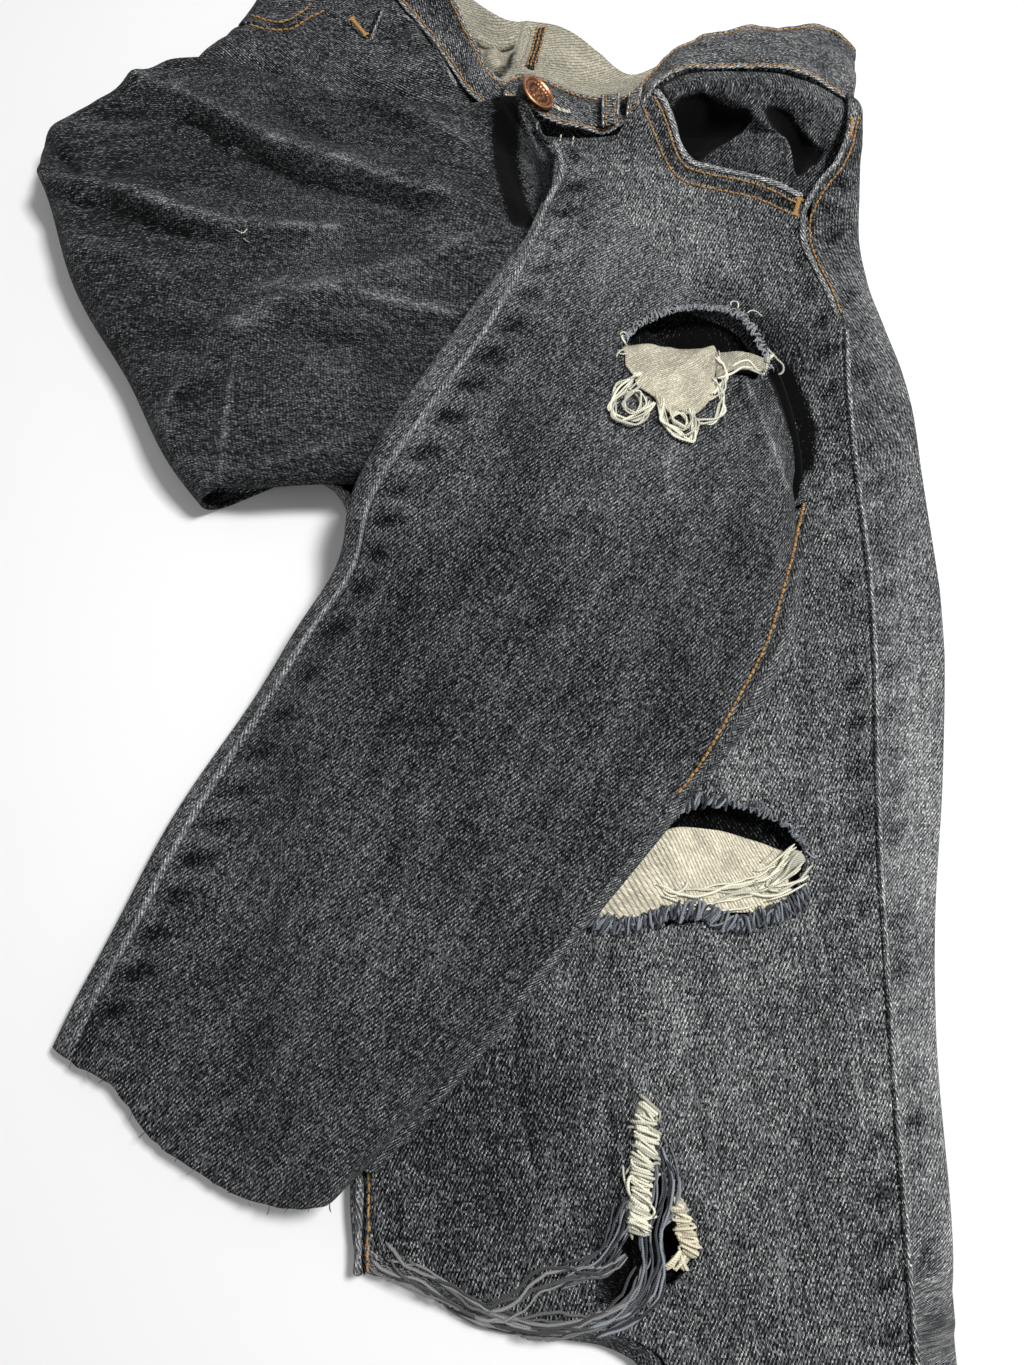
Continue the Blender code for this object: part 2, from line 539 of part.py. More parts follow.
def left_back_grid(arc=5, floor=6):
    """Back panel of the left leg: round the inner fold, along the surface and up round the outer fold."""
    ys = np.array((36.35, 35.0, 33.6, 32.2, 30.8) + LEFT_ROWS)
    rows = []
    for y in ys:
        fold_in, inseam, outseam = (
            float(follow(LEFT_LEG, name, y, "y")) for name in ("fold_in", "inseam", "outseam"))
        right = fold_arc("fold_out", outseam + SEAM_GAP / 2, -1, y, arc)[::-1]
        if y > CROTCH_Y - 0.1:
            t = min((y - SEAT_SEAM_FOOT[1]) / (SEAT_SEAM_TOP[1] - SEAT_SEAM_FOOT[1]), 1.0)
            seat = SEAT_SEAM_FOOT[0] * (1 - t) + SEAT_SEAM_TOP[0] * t
            left = np.stack([np.linspace(seat, seat + 1.7, arc), np.full(arc, y), np.zeros(arc)], axis=1)
        elif y > TUBE_Y + 0.1:
            radius = float(left_height(fold_in, y)) / 2
            curl = 1 - float(ease(TUBE_Y, CROTCH_Y, y))
            run = np.linspace(math.pi * radius + 0.2, 0, arc)
            turn = curl / radius
            left = np.stack([fold_in + radius - np.sin(turn * run) / turn, np.full(arc, y),
                             (1 - np.cos(turn * run)) / turn], axis=1)
        else:
            left = fold_arc("fold_in", inseam - SEAM_GAP / 2, 1, y, arc)
        x = np.linspace(left[-1, 0], right[0, 0], floor + 2)[1:-1]
        middle = np.stack([x, np.full(floor, y), np.zeros(floor)], axis=1)
        rows.append(np.concatenate([left, middle, right]))
    grid = np.array(rows)
    for i, share in ((0, 1.0), (1, 0.6), (2, 0.25)):
        flat = grid[i, :, 2] < 0.01
        seam = np.interp(grid[i, :, 0], SEAT_TOP["x"][::-1], SEAT_TOP["y"][::-1]) - 0.1
        grid[i, flat, 1] += share * (seam - ys[0])[flat]
    return grid[::-1]


def fold_arc(name, seam, side, y, parts):
    """Round a leg's fold in the plane of one row, from the seam on top to the surface."""
    fold, nearer = float(follow(LEFT_LEG, name, y, "y")), float(slant(name, y))
    radius = float(left_height(fold + side * 0.5, y)) / 2
    arc = side_arc(abs(seam - fold) * nearer, radius, parts)
    x = fold + side * (arc[:, 0] + abs(seam - fold) * nearer) / nearer
    arc = np.stack([x, np.full(parts, y), arc[:, 1]], axis=1)
    arc[0] = seam, y, float(left_top(np.array(seam), np.array(y)))
    return arc


def thigh_width(at):
    """Distance across the folded-back thigh, as a column."""
    low, high = pair(RIGHT_THIGH, at, "low", "top")
    return np.linalg.norm(high - low, axis=1)[:, None]


def thigh_plan(at, share):
    """Plan of the folded-back thigh, at shares of the way from its inseam edge to its outseam edge."""
    low, high = pair(RIGHT_THIGH, at, "low", "top")
    plan = low[:, None, :] * (1 - share[..., None]) + high[:, None, :] * share[..., None]
    bow = follow(RIGHT_THIGH, "bow", at)[:, None] * 4 * share * (1 - share)
    return plan + bow[..., None] * np.array(FIRST_FOLD_OUT)


def thigh_level(at, plan, cover):
    """Top of the thigh without its edges and ridges."""
    level = follow(RIGHT_THIGH, "height", at)[:, None]
    dip = np.where(at > VALLEY["at"][0], follow(VALLEY, "dip", at), 0.0)[:, None]
    dip = dip * ease(*VALLEY_END, plan[..., 1])
    return np.maximum(level - dip, cover(plan[..., 0], plan[..., 1]) + WALL + 2 * LAYER_GAP)


def edge_spacing(width, columns, radius):
    """Shares across a row that crowd into a quarter circle at each end."""
    angles = np.array([0.0, 0.5, 1.0]) * math.pi / 2
    crowd = radius * (1 - np.cos(angles))
    middle = np.linspace(0, 1, columns - 6 + 2)[1:-1]
    inner = radius + (width - 2 * radius) * middle[None, :]
    left = np.repeat(crowd[None, :], len(width), axis=0)
    return np.concatenate([left, inner, width - left[:, ::-1]], axis=1) / width


def right_back_grid(seat_edge, cover, pile, columns=15):
    """Back panel of the right leg: from the seat seam, round the first fold and back over the hips."""
    at = np.array(THIGH_ROWS, float)
    width = thigh_width(at)
    even = ease(*EVEN_ROWS, at)[:, None]
    share = edge_spacing(width, columns, THIGH_EDGE) * (1 - even) + np.linspace(0, 1, columns) * even
    plan = thigh_plan(at, share)
    inside = np.minimum(share, 1 - share) * width
    drop = 2 * THIGH_EDGE - stadium(inside, 2 * THIGH_EDGE)
    drop = drop * (1 - ease(*OPEN_ROWS, at)[:, None])
    ridges = folds(THIGH_FOLDS, plan[..., 0], plan[..., 1]) * ease(*EDGE_REACH, inside)
    top = with_height(plan, thigh_level(at, plan, cover) + ridges - drop)
    top = lift_clear(top, pile, WALL + LAYER_GAP)
    first = top[0]
    fold = []
    for angle in np.radians((180, 150, 120, 90, 60, 30)):
        row = first.copy()
        row[:, :2] += np.array(FIRST_FOLD_OUT) * FIRST_FOLD_DEPTH * math.sin(angle)
        row[:, 2] = first[:, 2] * (1 + math.cos(angle)) / 2
        fold.append(row)
    tuck = first.copy()
    tuck[:, :2] -= np.array(FIRST_FOLD_OUT) * FOLD_TUCK
    share = share[0]
    rows = [resample(seat_edge, share)]
    for tab in (RIGHT_SEAT, RIGHT_SEAT_SIDE):
        for i, low in enumerate(zip(tab["low_x"], tab["low_y"])):
            high_x = tab["top_x"][i]
            if "top_y" in tab:
                high_y = tab["top_y"][i]
            else:
                high_y = np.interp(high_x, SEAT_TOP["x"][::-1], SEAT_TOP["y"][::-1]) - 0.08
            rows.append(np.array(low) * (1 - share[:, None]) + np.array((high_x, high_y)) * share[:, None])
    rows = [np.concatenate([row, np.zeros((columns, 1))], axis=1) for row in rows]
    tuck[:, 2] = 0.0
    return np.concatenate([np.array(rows + [tuck]), np.array(fold), top])


def resample(line, share):
    """Points at shares of a line's length."""
    run = np.concatenate([[0.0], np.cumsum(np.linalg.norm(np.diff(line, axis=0), axis=1))])
    return np.stack([np.interp(share * run[-1], run, line[:, k]) for k in (0, 1)], axis=1)


def folded_layers(cover, pile, columns=8):
    """What the folded thigh hides, as one rounded solid with a step for each layer at its edges."""
    at = np.array(LAYER_ROWS, float)
    margin = (THIGH_EDGE + WALL + 2 * LAYER_GAP) / thigh_width(at)
    plan = thigh_plan(at, np.linspace(0, 1, columns)[None, :] * (1 - 2 * margin) + margin)
    top = with_height(plan, thigh_level(at, plan, cover) - WALL - 2 * LAYER_GAP)
    nose = top[0] + np.array((*(np.array(FIRST_FOLD_OUT) * 0.5), -0.3))
    top = np.concatenate([[nose], top])
    bottom = top.copy()
    bottom[..., 2] = pile.read(pile.roof, top[..., 0], top[..., 1]) + LAYER_GAP
    bottom = lift_clear(bottom, pile, 2.5 * LAYER_GAP)
    bottom[0, :, 2] += 0.3
    bottom[..., 2] = np.minimum(bottom[..., 2], top[..., 2] - 0.2)
    rings = []
    for upper, lower in zip(top, bottom):
        along = (upper[-1] - upper[0]) * (1, 1, 0)
        along /= np.linalg.norm(along)
        steps = list(zip(LAYER_STEPS["share"], LAYER_STEPS["out"]))
        thick = upper[:, 2] - lower[:, 2]
        far = [upper[-1] * (1 - t) + lower[-1] * t + along * out * thick[-1] for t, out in steps]
        near = [lower[0] * (1 - t) + upper[0] * t - along * out * thick[0] for t, out in steps]
        rings.append(np.concatenate([upper, far, lower[::-1], near]))
    rings = np.array(rings)
    rows, count = rings.shape[:2]
    index = np.arange(rows * count).reshape(rows, count)
    faces = [(index[i, j], index[i, (j + 1) % count], index[i + 1, (j + 1) % count], index[i + 1, j])
             for i in range(rows - 1) for j in range(count)]
    sides = len(LAYER_STEPS["share"])
    for ring in (index[0], index[-1]):
        lower = ring[columns + sides:2 * columns + sides][::-1]
        faces += [(ring[j], ring[j + 1], lower[j + 1], lower[j]) for j in range(columns - 1)]
        faces.append((ring[columns - 1], *ring[columns:columns + sides], lower[-1]))
        faces.append((lower[0], *ring[2 * columns + sides:], ring[0]))
    obj = add_mesh("folded_layers", rings.reshape(-1, 3), [tuple(map(int, face)) for face in faces], DENIM)
    outward(obj)
    return top


def outward(obj):
    """Turn a closed mesh's faces outwards."""
    work = bmesh.new()
    work.from_mesh(obj.data)
    bmesh.ops.recalc_face_normals(work, faces=work.faces)
    work.to_mesh(obj.data)
    work.free()


def shin_plan(at, share):
    """Plan of the right shin at a share of the way from outseam to inseam, which may lie beyond 0 and 1."""
    out, inn = pair(RIGHT_SHIN, at, "out", "in")
    plan = out[:, None, :] * (1 - share[..., None]) + inn[:, None, :] * share[..., None]
    inside = np.clip(share, 0, 1)
    bow = follow(RIGHT_SHIN, "bow", at)[:, None] * follow(SECOND_FOLD_BOW, "bow", inside)
    hem = follow(RIGHT_SHIN, "hem", at)[:, None] * follow(HEM_BOW, "bow", inside)
    return plan + bow[..., None] * np.array(SECOND_FOLD_OUT) + hem[..., None] * np.array(HEM_OUT)


def shin_widths(at):
    """Width between the seams and the strips beyond them."""
    out, inn = pair(RIGHT_SHIN, at, "out", "in")
    width = np.linalg.norm(inn - out, axis=1)
    return width, follow(RIGHT_SHIN, "over_out", at), follow(RIGHT_SHIN, "over_in", at)


def shin_top(at, share, base):
    """Outer side of the right shin's upper half."""
    plan = shin_plan(at, share)
    width, over_out, over_in = shin_widths(at)
    inside = np.minimum(share * width[:, None] + over_out[:, None],
                        (1 - share) * width[:, None] + over_in[:, None])
    height = follow(RIGHT_SHIN, "height", at)[:, None]
    full = (FULLNESS + folds(SHIN_FOLDS, plan[..., 0], plan[..., 1])) * ease(*EDGE_REACH, inside)
    return with_height(plan, base(plan[..., 0], plan[..., 1]) + stadium(inside, height) + full)


def shin_front_grid(base, pile, columns=12):
    """Front panel of the right shin, with the second fold turned under at its start."""
    at = np.array(SHIN_ROWS, float)
    width = shin_widths(at)[0][:, None]
    gap = SEAM_GAP / 2 / width
    share = gap + (1 - 2 * gap) * np.linspace(0, 1, columns)[None, :]
    top = shin_top(at, share, base)
    out = np.array(SECOND_FOLD_OUT) * SECOND_FOLD_DEPTH
    reach = top[0, :, :2] + out * np.linspace(0, 1, 6)[:, None, None]
    low = pile.read(pile.roof, reach[..., 0], reach[..., 1]).max(axis=0) + LAYER_GAP
    low = np.maximum(low, np.convolve(np.pad(low, 1, "edge"), (0.33, 0.34, 0.33), "valid"))
    for i in range(3):
        top[i, :, 2] = np.maximum(top[i, :, 2], low + SECOND_FOLD_LEAST)
    first = top[0]
    rows = []
    for angle in np.radians((180, 150, 120, 90, 60, 30)):
        row = first.copy()
        row[:, :2] += out * math.sin(angle)
        mix = (1 + math.cos(angle)) / 2
        row[:, 2] = first[:, 2] * mix + low * (1 - mix)
        rows.append(row)
    return np.concatenate([rows, lift_clear(top, pile, LAYER_GAP + WALL)])


def shin_back_grid(base, pile, arc=5, floor=7):
    """Back panel of the right shin: round the outseam fold, underneath, and up to the inseam."""
    at = np.array(SHIN_ROWS, float)
    at = at[at >= SHIN_BACK_FIRST]
    width, over_out, over_in = shin_widths(at)
    height = follow(RIGHT_SHIN, "height", at)
    rows = []
    for i, place in enumerate(at):
        radius = height[i] / 2
        out_arc = side_arc(over_out[i], radius, arc)
        in_arc = side_arc(over_in[i], radius, arc)[::-1]
        in_arc[:, 0] = width[i] - in_arc[:, 0]
        middle = np.linspace(out_arc[-1, 0], in_arc[0, 0], floor + 2)[1:-1]
        profile = np.concatenate([out_arc, np.stack([middle, np.zeros(floor)], axis=1), in_arc])
        plan = shin_plan(np.array([place]), profile[None, :, 0] / width[i])[0]
        z = base(plan[:, 0], plan[:, 1]) + profile[:, 1]
        for end, edge in ((0, 0.0), (-1, 1.0)):
            z[end] = shin_top(np.array([place]), np.array([[edge]]), base)[0, 0, 2]
        rows.append(np.concatenate([plan, z[:, None]], axis=1))
    return lift_clear(np.array(rows)[::-1], pile, LAYER_GAP)


def side_arc(over, radius, parts):
    """Profile from a seam round the fold beyond it to underneath: distance past the seam, and height."""
    inside = over
    start = math.asin((radius - inside) / radius) if inside < radius else 0.0
    angles = np.linspace(start, math.pi, parts - (inside >= radius))
    arc = np.stack([-over + radius - radius * np.sin(angles), radius + radius * np.cos(angles)], axis=1)
    if inside >= radius:
        arc = np.concatenate([[[0.0, 2 * radius]], arc])
    arc[0, 0] = -SEAM_GAP / 2
    return arc


def band_grid(tab, at, parts=3, bulge=0.12):
    """Waistband part: a strip from its seam to its top edge, slightly rounded over."""
    seam = np.stack([follow(tab, "seam_" + axis, at) for axis in "xyz"], axis=1)
    edge = np.stack([follow(tab, "edge_" + axis, at) for axis in "xyz"], axis=1)
    grid = between(seam, edge, parts + 1)
    t = np.linspace(0, 1, parts + 1)
    grid[..., 2] += bulge * 4 * t * (1 - t)
    return grid


def back_band_grid(parts=3):
    """Back waistband, flat on the surface with its inner side up."""
    flat = np.zeros(len(SEAT_TOP["x"]))
    seam = np.stack([SEAT_TOP["x"], SEAT_TOP["y"] + SEAM_GAP / 2, flat], axis=1)
    edge = np.stack([BACK_BAND_EDGE["edge_x"], BACK_BAND_EDGE["edge_y"], flat], axis=1)
    return between(seam, edge, parts + 1)


def off_line(x, y, line):
    """Distance from points to an open line."""
    best = np.full(np.shape(x), 1e9)
    for (x0, y0), (x1, y1) in zip(line, line[1:]):
        length = math.hypot(x1 - x0, y1 - y0)
        ux, uy = (x1 - x0) / length, (y1 - y0) / length
        run = np.clip((x - x0) * ux + (y - y0) * uy, 0, length)
        best = np.minimum(best, np.hypot(x - x0 - ux * run, y - y0 - uy * run))
    return best


def right_hip_grid(tab, rows, columns=8, sunk=0.0):
    """Front of the right hip or its pocket facing, rounded down to the surface along the side."""
    at = np.linspace(tab["at"][0], tab["at"][-1], rows)
    low, high = pair(tab, at, "low", "top")
    share = np.linspace(0, 1, columns)[None, :]
    bow = follow(tab, "bow", at)[:, None] * 4 * share * (1 - share)
    plan = between(low, high, columns) + bow[..., None] * np.array(TO_RIGHT_BAND)
    inside = off_line(plan[..., 0], plan[..., 1], RIGHT_HIP_SIDE)
    depth = RIGHT_HIP_HEIGHT - np.clip(inside, 0, RIGHT_HIP_HEIGHT)
    height = RIGHT_HIP_RIM + np.sqrt(RIGHT_HIP_HEIGHT ** 2 - depth ** 2) - sunk * ease(0.4, 1.5, inside)
    return with_height(plan, height)[::-1]


def pocket_facing_grid(columns=11, rows=8):
    """Left pocket's facing and bag: a strip under the waistband that sinks into the pocket."""
    at = np.linspace(6.75, 11.0, columns)
    seam = np.stack([follow(LEFT_BAND, "seam_x", at), follow(LEFT_BAND, "seam_y", at) - 0.2], axis=1)
    foot = np.stack([np.linspace(7.5, 12.9, columns), np.linspace(33.6, 30.6, columns)], axis=1)
    t = np.linspace(0, 1, rows)
    plan = seam[:, None, :] * (1 - t[None, :, None]) + foot[:, None, :] * t[None, :, None]
    rim = follow(LEFT_BAND, "seam_z", at)[:, None] - 0.1
    sunk = 0.62 + 0.5 * np.exp(-((plan[..., 0] - 11.0) / 0.8) ** 2)
    mix = ease(0.14, 0.42, t)[None, :]
    return with_height(plan, rim * (1 - mix) + sunk * mix)[::-1]


def placket_grid(columns=7, rows=5):
    """Fly under the buttonhole end of the waistband."""
    x = np.linspace(PLACKET_HEAD["x"][0], PLACKET_HEAD["x"][-1], columns)
    head = np.stack([x, np.interp(x, PLACKET_HEAD["x"], PLACKET_HEAD["y"])], axis=1)
    foot = np.stack([x * 0.8 + 0.6, np.full(columns, PLACKET_FOOT_Y)], axis=1)
    plan = between(head, foot, rows)
    return with_height(plan, left_top(plan[..., 0], plan[..., 1]) - WALL - 1.3 * LAYER_GAP)[::-1]


def button(centre, normal, radius):
    """Turned metal button with a raised rim and a low dome."""
    profile = ((0.0, 0.0), (0.55, 0.0), (0.62, 0.08), (0.9, 0.1), (1.0, 0.17), (0.97, 0.26), (0.86, 0.27),
               (0.78, 0.2), (0.5, 0.21), (0.25, 0.25), (0.0, 0.26))
    mesh = bpy.data.meshes.new("button")
    work = bmesh.new()
    line = [work.verts.new((r * radius * CM, 0, h * CM)) for r, h in reversed(profile)]
    for first, second in zip(line, line[1:]):
        work.edges.new((first, second))
    work.to_mesh(mesh)
    work.free()
    obj = bpy.data.objects.new("button", mesh)
    bpy.data.collections["jeans"].objects.link(obj)
    screw = obj.modifiers.new("turn", 'SCREW')
    screw.angle = 2 * math.pi
    screw.steps = screw.render_steps = 20
    screw.use_merge_vertices = True
    screw.merge_threshold = 0.00002
    obj.data.materials.append(new_material("button", COPPER, 0.35, 1.0))
    x, y, z = normal
    obj.rotation_euler = (0.0, math.acos(z / math.sqrt(x * x + y * y + z * z)), math.atan2(y, x))
    obj.location = (np.array(centre) - (*LAYOUT_CENTRE, 0.0)) * CM
    return obj


def along_outline(outline, first, last, count, inset):
    """Points a little inside a rip between two of its corners, and the directions into the rip."""
    outline = np.array(outline)
    inner = outline + (outline.mean(axis=0) - outline) * 0.02
    line = inner[np.arange(first, last + 1) % len(outline)]
    points = resample(line, np.linspace(0, 1, count))
    step = np.gradient(points, axis=0)
    inward = np.stack([-step[:, 1], step[:, 0]], axis=1)
    inward = np.stack([np.convolve(np.pad(column, 3, "edge"), np.ones(7), "valid")
                       for column in inward.T], axis=1)
    inward /= np.linalg.norm(inward, axis=1)[:, None]
    if ((outline.mean(axis=0) - points) * inward).sum() < 0:
        inward = -inward
    return points + inward * inset, inward


def comb(name, roots, forward, threads, colour, strip=0.2, thick=0.09):
    """Narrow strip along a line of roots, with threads drawn out of its front at every second step.

    Each thread has a length, a sideways lean and a rise, in centimetres.
    """
    up = np.array((0.0, 0.0, 1.0))
    points, faces = [], []
    for p, f in zip(roots, forward):
        points += [p - f * strip, p, p + up * thick, p - f * strip + up * thick]
    for i in range(len(roots) - 1):
        a, b = 4 * i, 4 * (i + 1)
        faces += [(a, b, b + 1, a + 1), (a + 2, b + 2, b + 3, a + 3), (a + 3, b + 3, b, a)]
        ring = [a + 1, b + 1, b + 2, a + 2]
        if i % 2:
            length, lean, rise = threads[(i // 2) % len(threads)]
            root = np.array([points[k] for k in ring])
            centre = root.mean(axis=0)
            ahead = (forward[i] + forward[i + 1]) / 2
            aside = np.array((-ahead[1], ahead[0], 0.0))
            for t, size in ((0.5, 0.75), (1.0, 0.35)):
                shift = ahead * length * t + aside * lean * t * t + up * rise * t * t
                start = len(points)
                points += list(centre + shift + (root - centre) * size)
                following = list(range(start, start + 4))
                faces += [(ring[k], ring[(k + 1) % 4], following[(k + 1) % 4], following[k]) for k in range(4)]
                ring = following
        faces.append(tuple(ring))
    end = 4 * (len(roots) - 1)
    faces += [(0, 1, 2, 3), (end, end + 3, end + 2, end + 1)]
    obj = add_mesh(name, np.array(points), faces, colour, roughness=0.95)
    outward(obj)
    return obj


def frayed_edge(name, outline, first, last, count, panel, threads, colour=THREAD):
    """Comb of loose threads along part of a rip, level with the panel that it was torn from."""
    roots, inward = along_outline(outline, first, last, 2 * count, 0.25)
    z = panel.read(panel.roof, *(roots - inward * 0.35).T) - WALL + 0.02
    roots = np.concatenate([roots, z[:, None]], axis=1)
    inward = np.concatenate([inward, np.zeros((len(inward), 1))], axis=1)
    return comb(name, roots, inward, threads, colour)


def tongue(name, low, high, height, parts=4):
    """Strip of torn cloth between two lines, its reverse side up."""
    grid = between(np.array(low), np.array(high), parts)[::-1]
    return sheet(name, with_height(grid, height(grid[..., 0], grid[..., 1])), REVERSE, 0.1)


def belt_loop(name, at, width=LOOP_WIDTH):
    """Loop over the left waistband, from its seam to its top edge."""
    ends = np.array((at - width / 2 / 1.2, at + width / 2 / 1.2))
    grid = band_grid(LEFT_BAND, ends, parts=6)
    t = np.linspace(0, 1, 7)
    grid[..., 2] += 0.09 + LAYER_GAP + 0.2 * np.sin(math.pi * t)
    return sheet(name, grid, DENIM_WASHED, 0.09)


def surface_of(grid):
    """Height raster of one sheet."""
    raster = Pile()
    raster.lay(grid)
    return raster


def build():
    for obj in list(bpy.data.objects):
        bpy.data.objects.remove(obj)
    for name in ("jeans", "cutters"):
        bpy.context.scene.collection.children.link(bpy.data.collections.new(name))

    pile = Pile()
    back_band = back_band_grid()
    sheet("waistband_back", back_band, REVERSE, 0.2)
    pile.lay(back_band, 0.2)

    left_back = left_back_grid()
    sheet("left_back_panel", left_back, DENIM)
    pile.lay(left_back, WALL)
    left_front = left_front_grid()
    front = sheet("left_front_panel", left_front, DENIM_WASHED)
    rip(front, THIGH_RIP_LEFT, 0.3, 2.5)
    rip(front, KNEE_RIP_LEFT, 0.3, 2.5)
    pile.lay(left_front)

    sheet("left_pocket_facing", pocket_facing_grid(), DENIM)
    placket = placket_grid()
    sheet("fly_placket", placket, DENIM)
    pile.lay(placket)

    right_hip = right_hip_grid(RIGHT_HIP_FRONT, 11)
    sheet("right_front_hip", right_hip, DENIM_WASHED)
    pile.lay(right_hip)
    facing = right_hip_grid(RIGHT_HIP_FACING, 8, columns=5, sunk=0.1)
    sheet("right_pocket_facing", facing, DENIM)
    right_band = band_grid(RIGHT_BAND, np.linspace(0, 7, 13))[::-1]
    sheet("waistband_right", right_band, DENIM_WASHED, BAND_WALL)
    left_band = band_grid(LEFT_BAND, np.linspace(0, 12, 21))
    sheet("waistband_left", left_band, DENIM_WASHED, BAND_WALL)
    pile.lay(left_band)
    pile.lay(right_band)
    button(BUTTON_CENTRE, BUTTON_NORMAL, BUTTON_RADIUS)

    rest = pile.drape(1.2, 2)
    seat_edge = left_back[left_back[:, 0, 1] > CROTCH_Y - 0.1][:, 0, :2] - (0.05, 0.0)
    right_back = right_back_grid(seat_edge, rest, pile)
    sheet("right_back_panel", right_back, DENIM)
    seat_rows = len(right_back) - len(THIGH_ROWS) - 6
    pile.lay(right_back[:seat_rows + 1], WALL)
    folded_layers(rest, pile)
    thigh = right_back[-len(THIGH_ROWS):]
    pile.lay(thigh)

    cover = pile.drape(0.42, 4)

    def base(x, y):
        under = cover(x, y)
        return under + LAYER_GAP * ease(0.0, 0.15, under)

    shin_back = shin_back_grid(base, pile)
    sheet("right_back_shin", shin_back, DENIM)
    shin_front = shin_front_grid(base, pile)
    front = sheet("right_front_shin", shin_front, DENIM)
    rip(front, KNEE_RIP_RIGHT, 1.6, 7.0)

    leg = surface_of(left_front)
    shin = surface_of(shin_front)
    frayed_edge("knee_rip_right_fringe", KNEE_RIP_RIGHT, 0, 3, 18, shin, SHORT_THREADS)
    frayed_edge("thigh_rip_left_fringe", THIGH_RIP_LEFT, 1, 4, 16, leg, SHORT_THREADS)
    frayed_edge("knee_rip_left_fringe", KNEE_RIP_LEFT, 6, 8, 10, leg, TUFT_THREADS)
    tongue("knee_rip_right_tongue", KNEE_TONGUE_HEAD, KNEE_TONGUE_FOOT,
           lambda x, y: shin.read(shin.top, x, y) + 0.1 + LAYER_GAP)
    tongue("thigh_rip_left_tongue", THIGH_TONGUE_HEAD, THIGH_TONGUE_FOOT,
           lambda x, y: left_top(x, y) - WALL - 2 * SEAM_GAP)
    belt_loop("belt_loop_1", 4.35)
    belt_loop("belt_loop_2", 5.3)


build()
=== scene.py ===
"""Ripped slim jeans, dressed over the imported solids: camera, light, cloth shells, seams, stitches and yarns.

The layout is worked out in centimetres, as in the solids' source, whose tables and grids come first here.
Each solid is replaced by a finer piece on the same grid. Heights, widths and steps are in centimetres too.
"""
import math

import bmesh
import bpy
import numpy as np
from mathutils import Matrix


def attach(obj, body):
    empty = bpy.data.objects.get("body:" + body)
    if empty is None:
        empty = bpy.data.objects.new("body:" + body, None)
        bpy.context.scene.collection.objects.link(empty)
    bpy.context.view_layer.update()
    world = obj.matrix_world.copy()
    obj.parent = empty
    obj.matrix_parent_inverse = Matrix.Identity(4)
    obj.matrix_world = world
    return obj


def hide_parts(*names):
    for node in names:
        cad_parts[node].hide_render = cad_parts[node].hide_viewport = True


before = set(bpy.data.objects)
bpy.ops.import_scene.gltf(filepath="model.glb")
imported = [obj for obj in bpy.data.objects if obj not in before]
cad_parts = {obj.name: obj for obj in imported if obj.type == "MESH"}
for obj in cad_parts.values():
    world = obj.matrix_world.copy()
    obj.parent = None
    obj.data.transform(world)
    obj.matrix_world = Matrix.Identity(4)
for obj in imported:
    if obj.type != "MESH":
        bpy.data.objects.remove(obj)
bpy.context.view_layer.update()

CM = 0.01                    # one centimetre in metres
WALL = 0.13                  # stretch denim
SEAM_GAP = 0.03              # between pieces that meet at a seam
LAYER_GAP = 0.07             # between pieces that lie on each other
FULLNESS = 0.12              # how much the middle of a flattened tube stands above its sides
EDGE_REACH = (0.3, 2.0)      # distance inside a fold over which fullness and ridges grow
FLY_DROP = 0.38              # share of its height that the left hip loses towards the fly
INSEAM_CLEAR = 0.12          # room for the back panel where it turns up beside the inseam
BUTTON_RADIUS = 0.93
BUTTON_CENTRE = (1.15, 36.2, 2.2)
LOOP_WIDTH = 0.65
LAYOUT_CENTRE = (-1.66, -2.30)


def table(names, *rows):
    """Short table with named columns, as one array for each column."""
    return {name: np.array(values, float) for name, values in zip(names.split(), zip(*rows))}


def hermite(first, last, out, into, t):
    """Cubic from first to last at t, with the slopes at its ends over the whole step."""
    return (first * (1 + 2 * t) * (1 - t) ** 2 + out * t * (1 - t) ** 2
            + last * t * t * (3 - 2 * t) - into * t * t * (1 - t))


def tangents(slope, step):
    """Slopes at the points of a smooth curve that never overshoots."""
    near, far = 2 * step[1:] + step[:-1], step[1:] + 2 * step[:-1]
    with np.errstate(all="ignore"):
        inner = np.where(slope[:-1] * slope[1:] > 0,
                         (near + far) / (near / slope[:-1] + far / slope[1:]), 0.0)
    return np.concatenate([slope[:1], inner, slope[-1:]])


def unit(vectors):
    """Vectors scaled to length 1."""
    return vectors / np.maximum(np.linalg.norm(vectors, axis=-1, keepdims=True), 1e-9)


def run_of(line):
    """Length along a line at each of its points."""
    return np.concatenate([[0.0], np.cumsum(np.linalg.norm(np.diff(line, axis=0), axis=1))])


def spots_at(line, run, at):
    """Points of a line at places along its run."""
    return np.stack([np.interp(at, run, column) for column in line.T], axis=1)


def follow(tab, name, at, key="at"):
    """Smooth curve through one column, read at places along the key column, with no overshoot."""
    x, y = tab[key], tab[name]
    if x[0] > x[-1]:
        x, y = x[::-1], y[::-1]
    step = np.diff(x)
    tangent = tangents(np.diff(y) / step, step)
    at = np.clip(at, x[0], x[-1])
    i = np.clip(np.searchsorted(x, at) - 1, 0, len(step) - 1)
    return hermite(y[i], y[i + 1], step[i] * tangent[i], step[i] * tangent[i + 1], (at - x[i]) / step[i])


def ease(low, high, value):
    """0 below low, 1 above high, smooth between."""
    t = np.clip((value - low) / (high - low), 0, 1)
    return t * t * (3 - 2 * t)


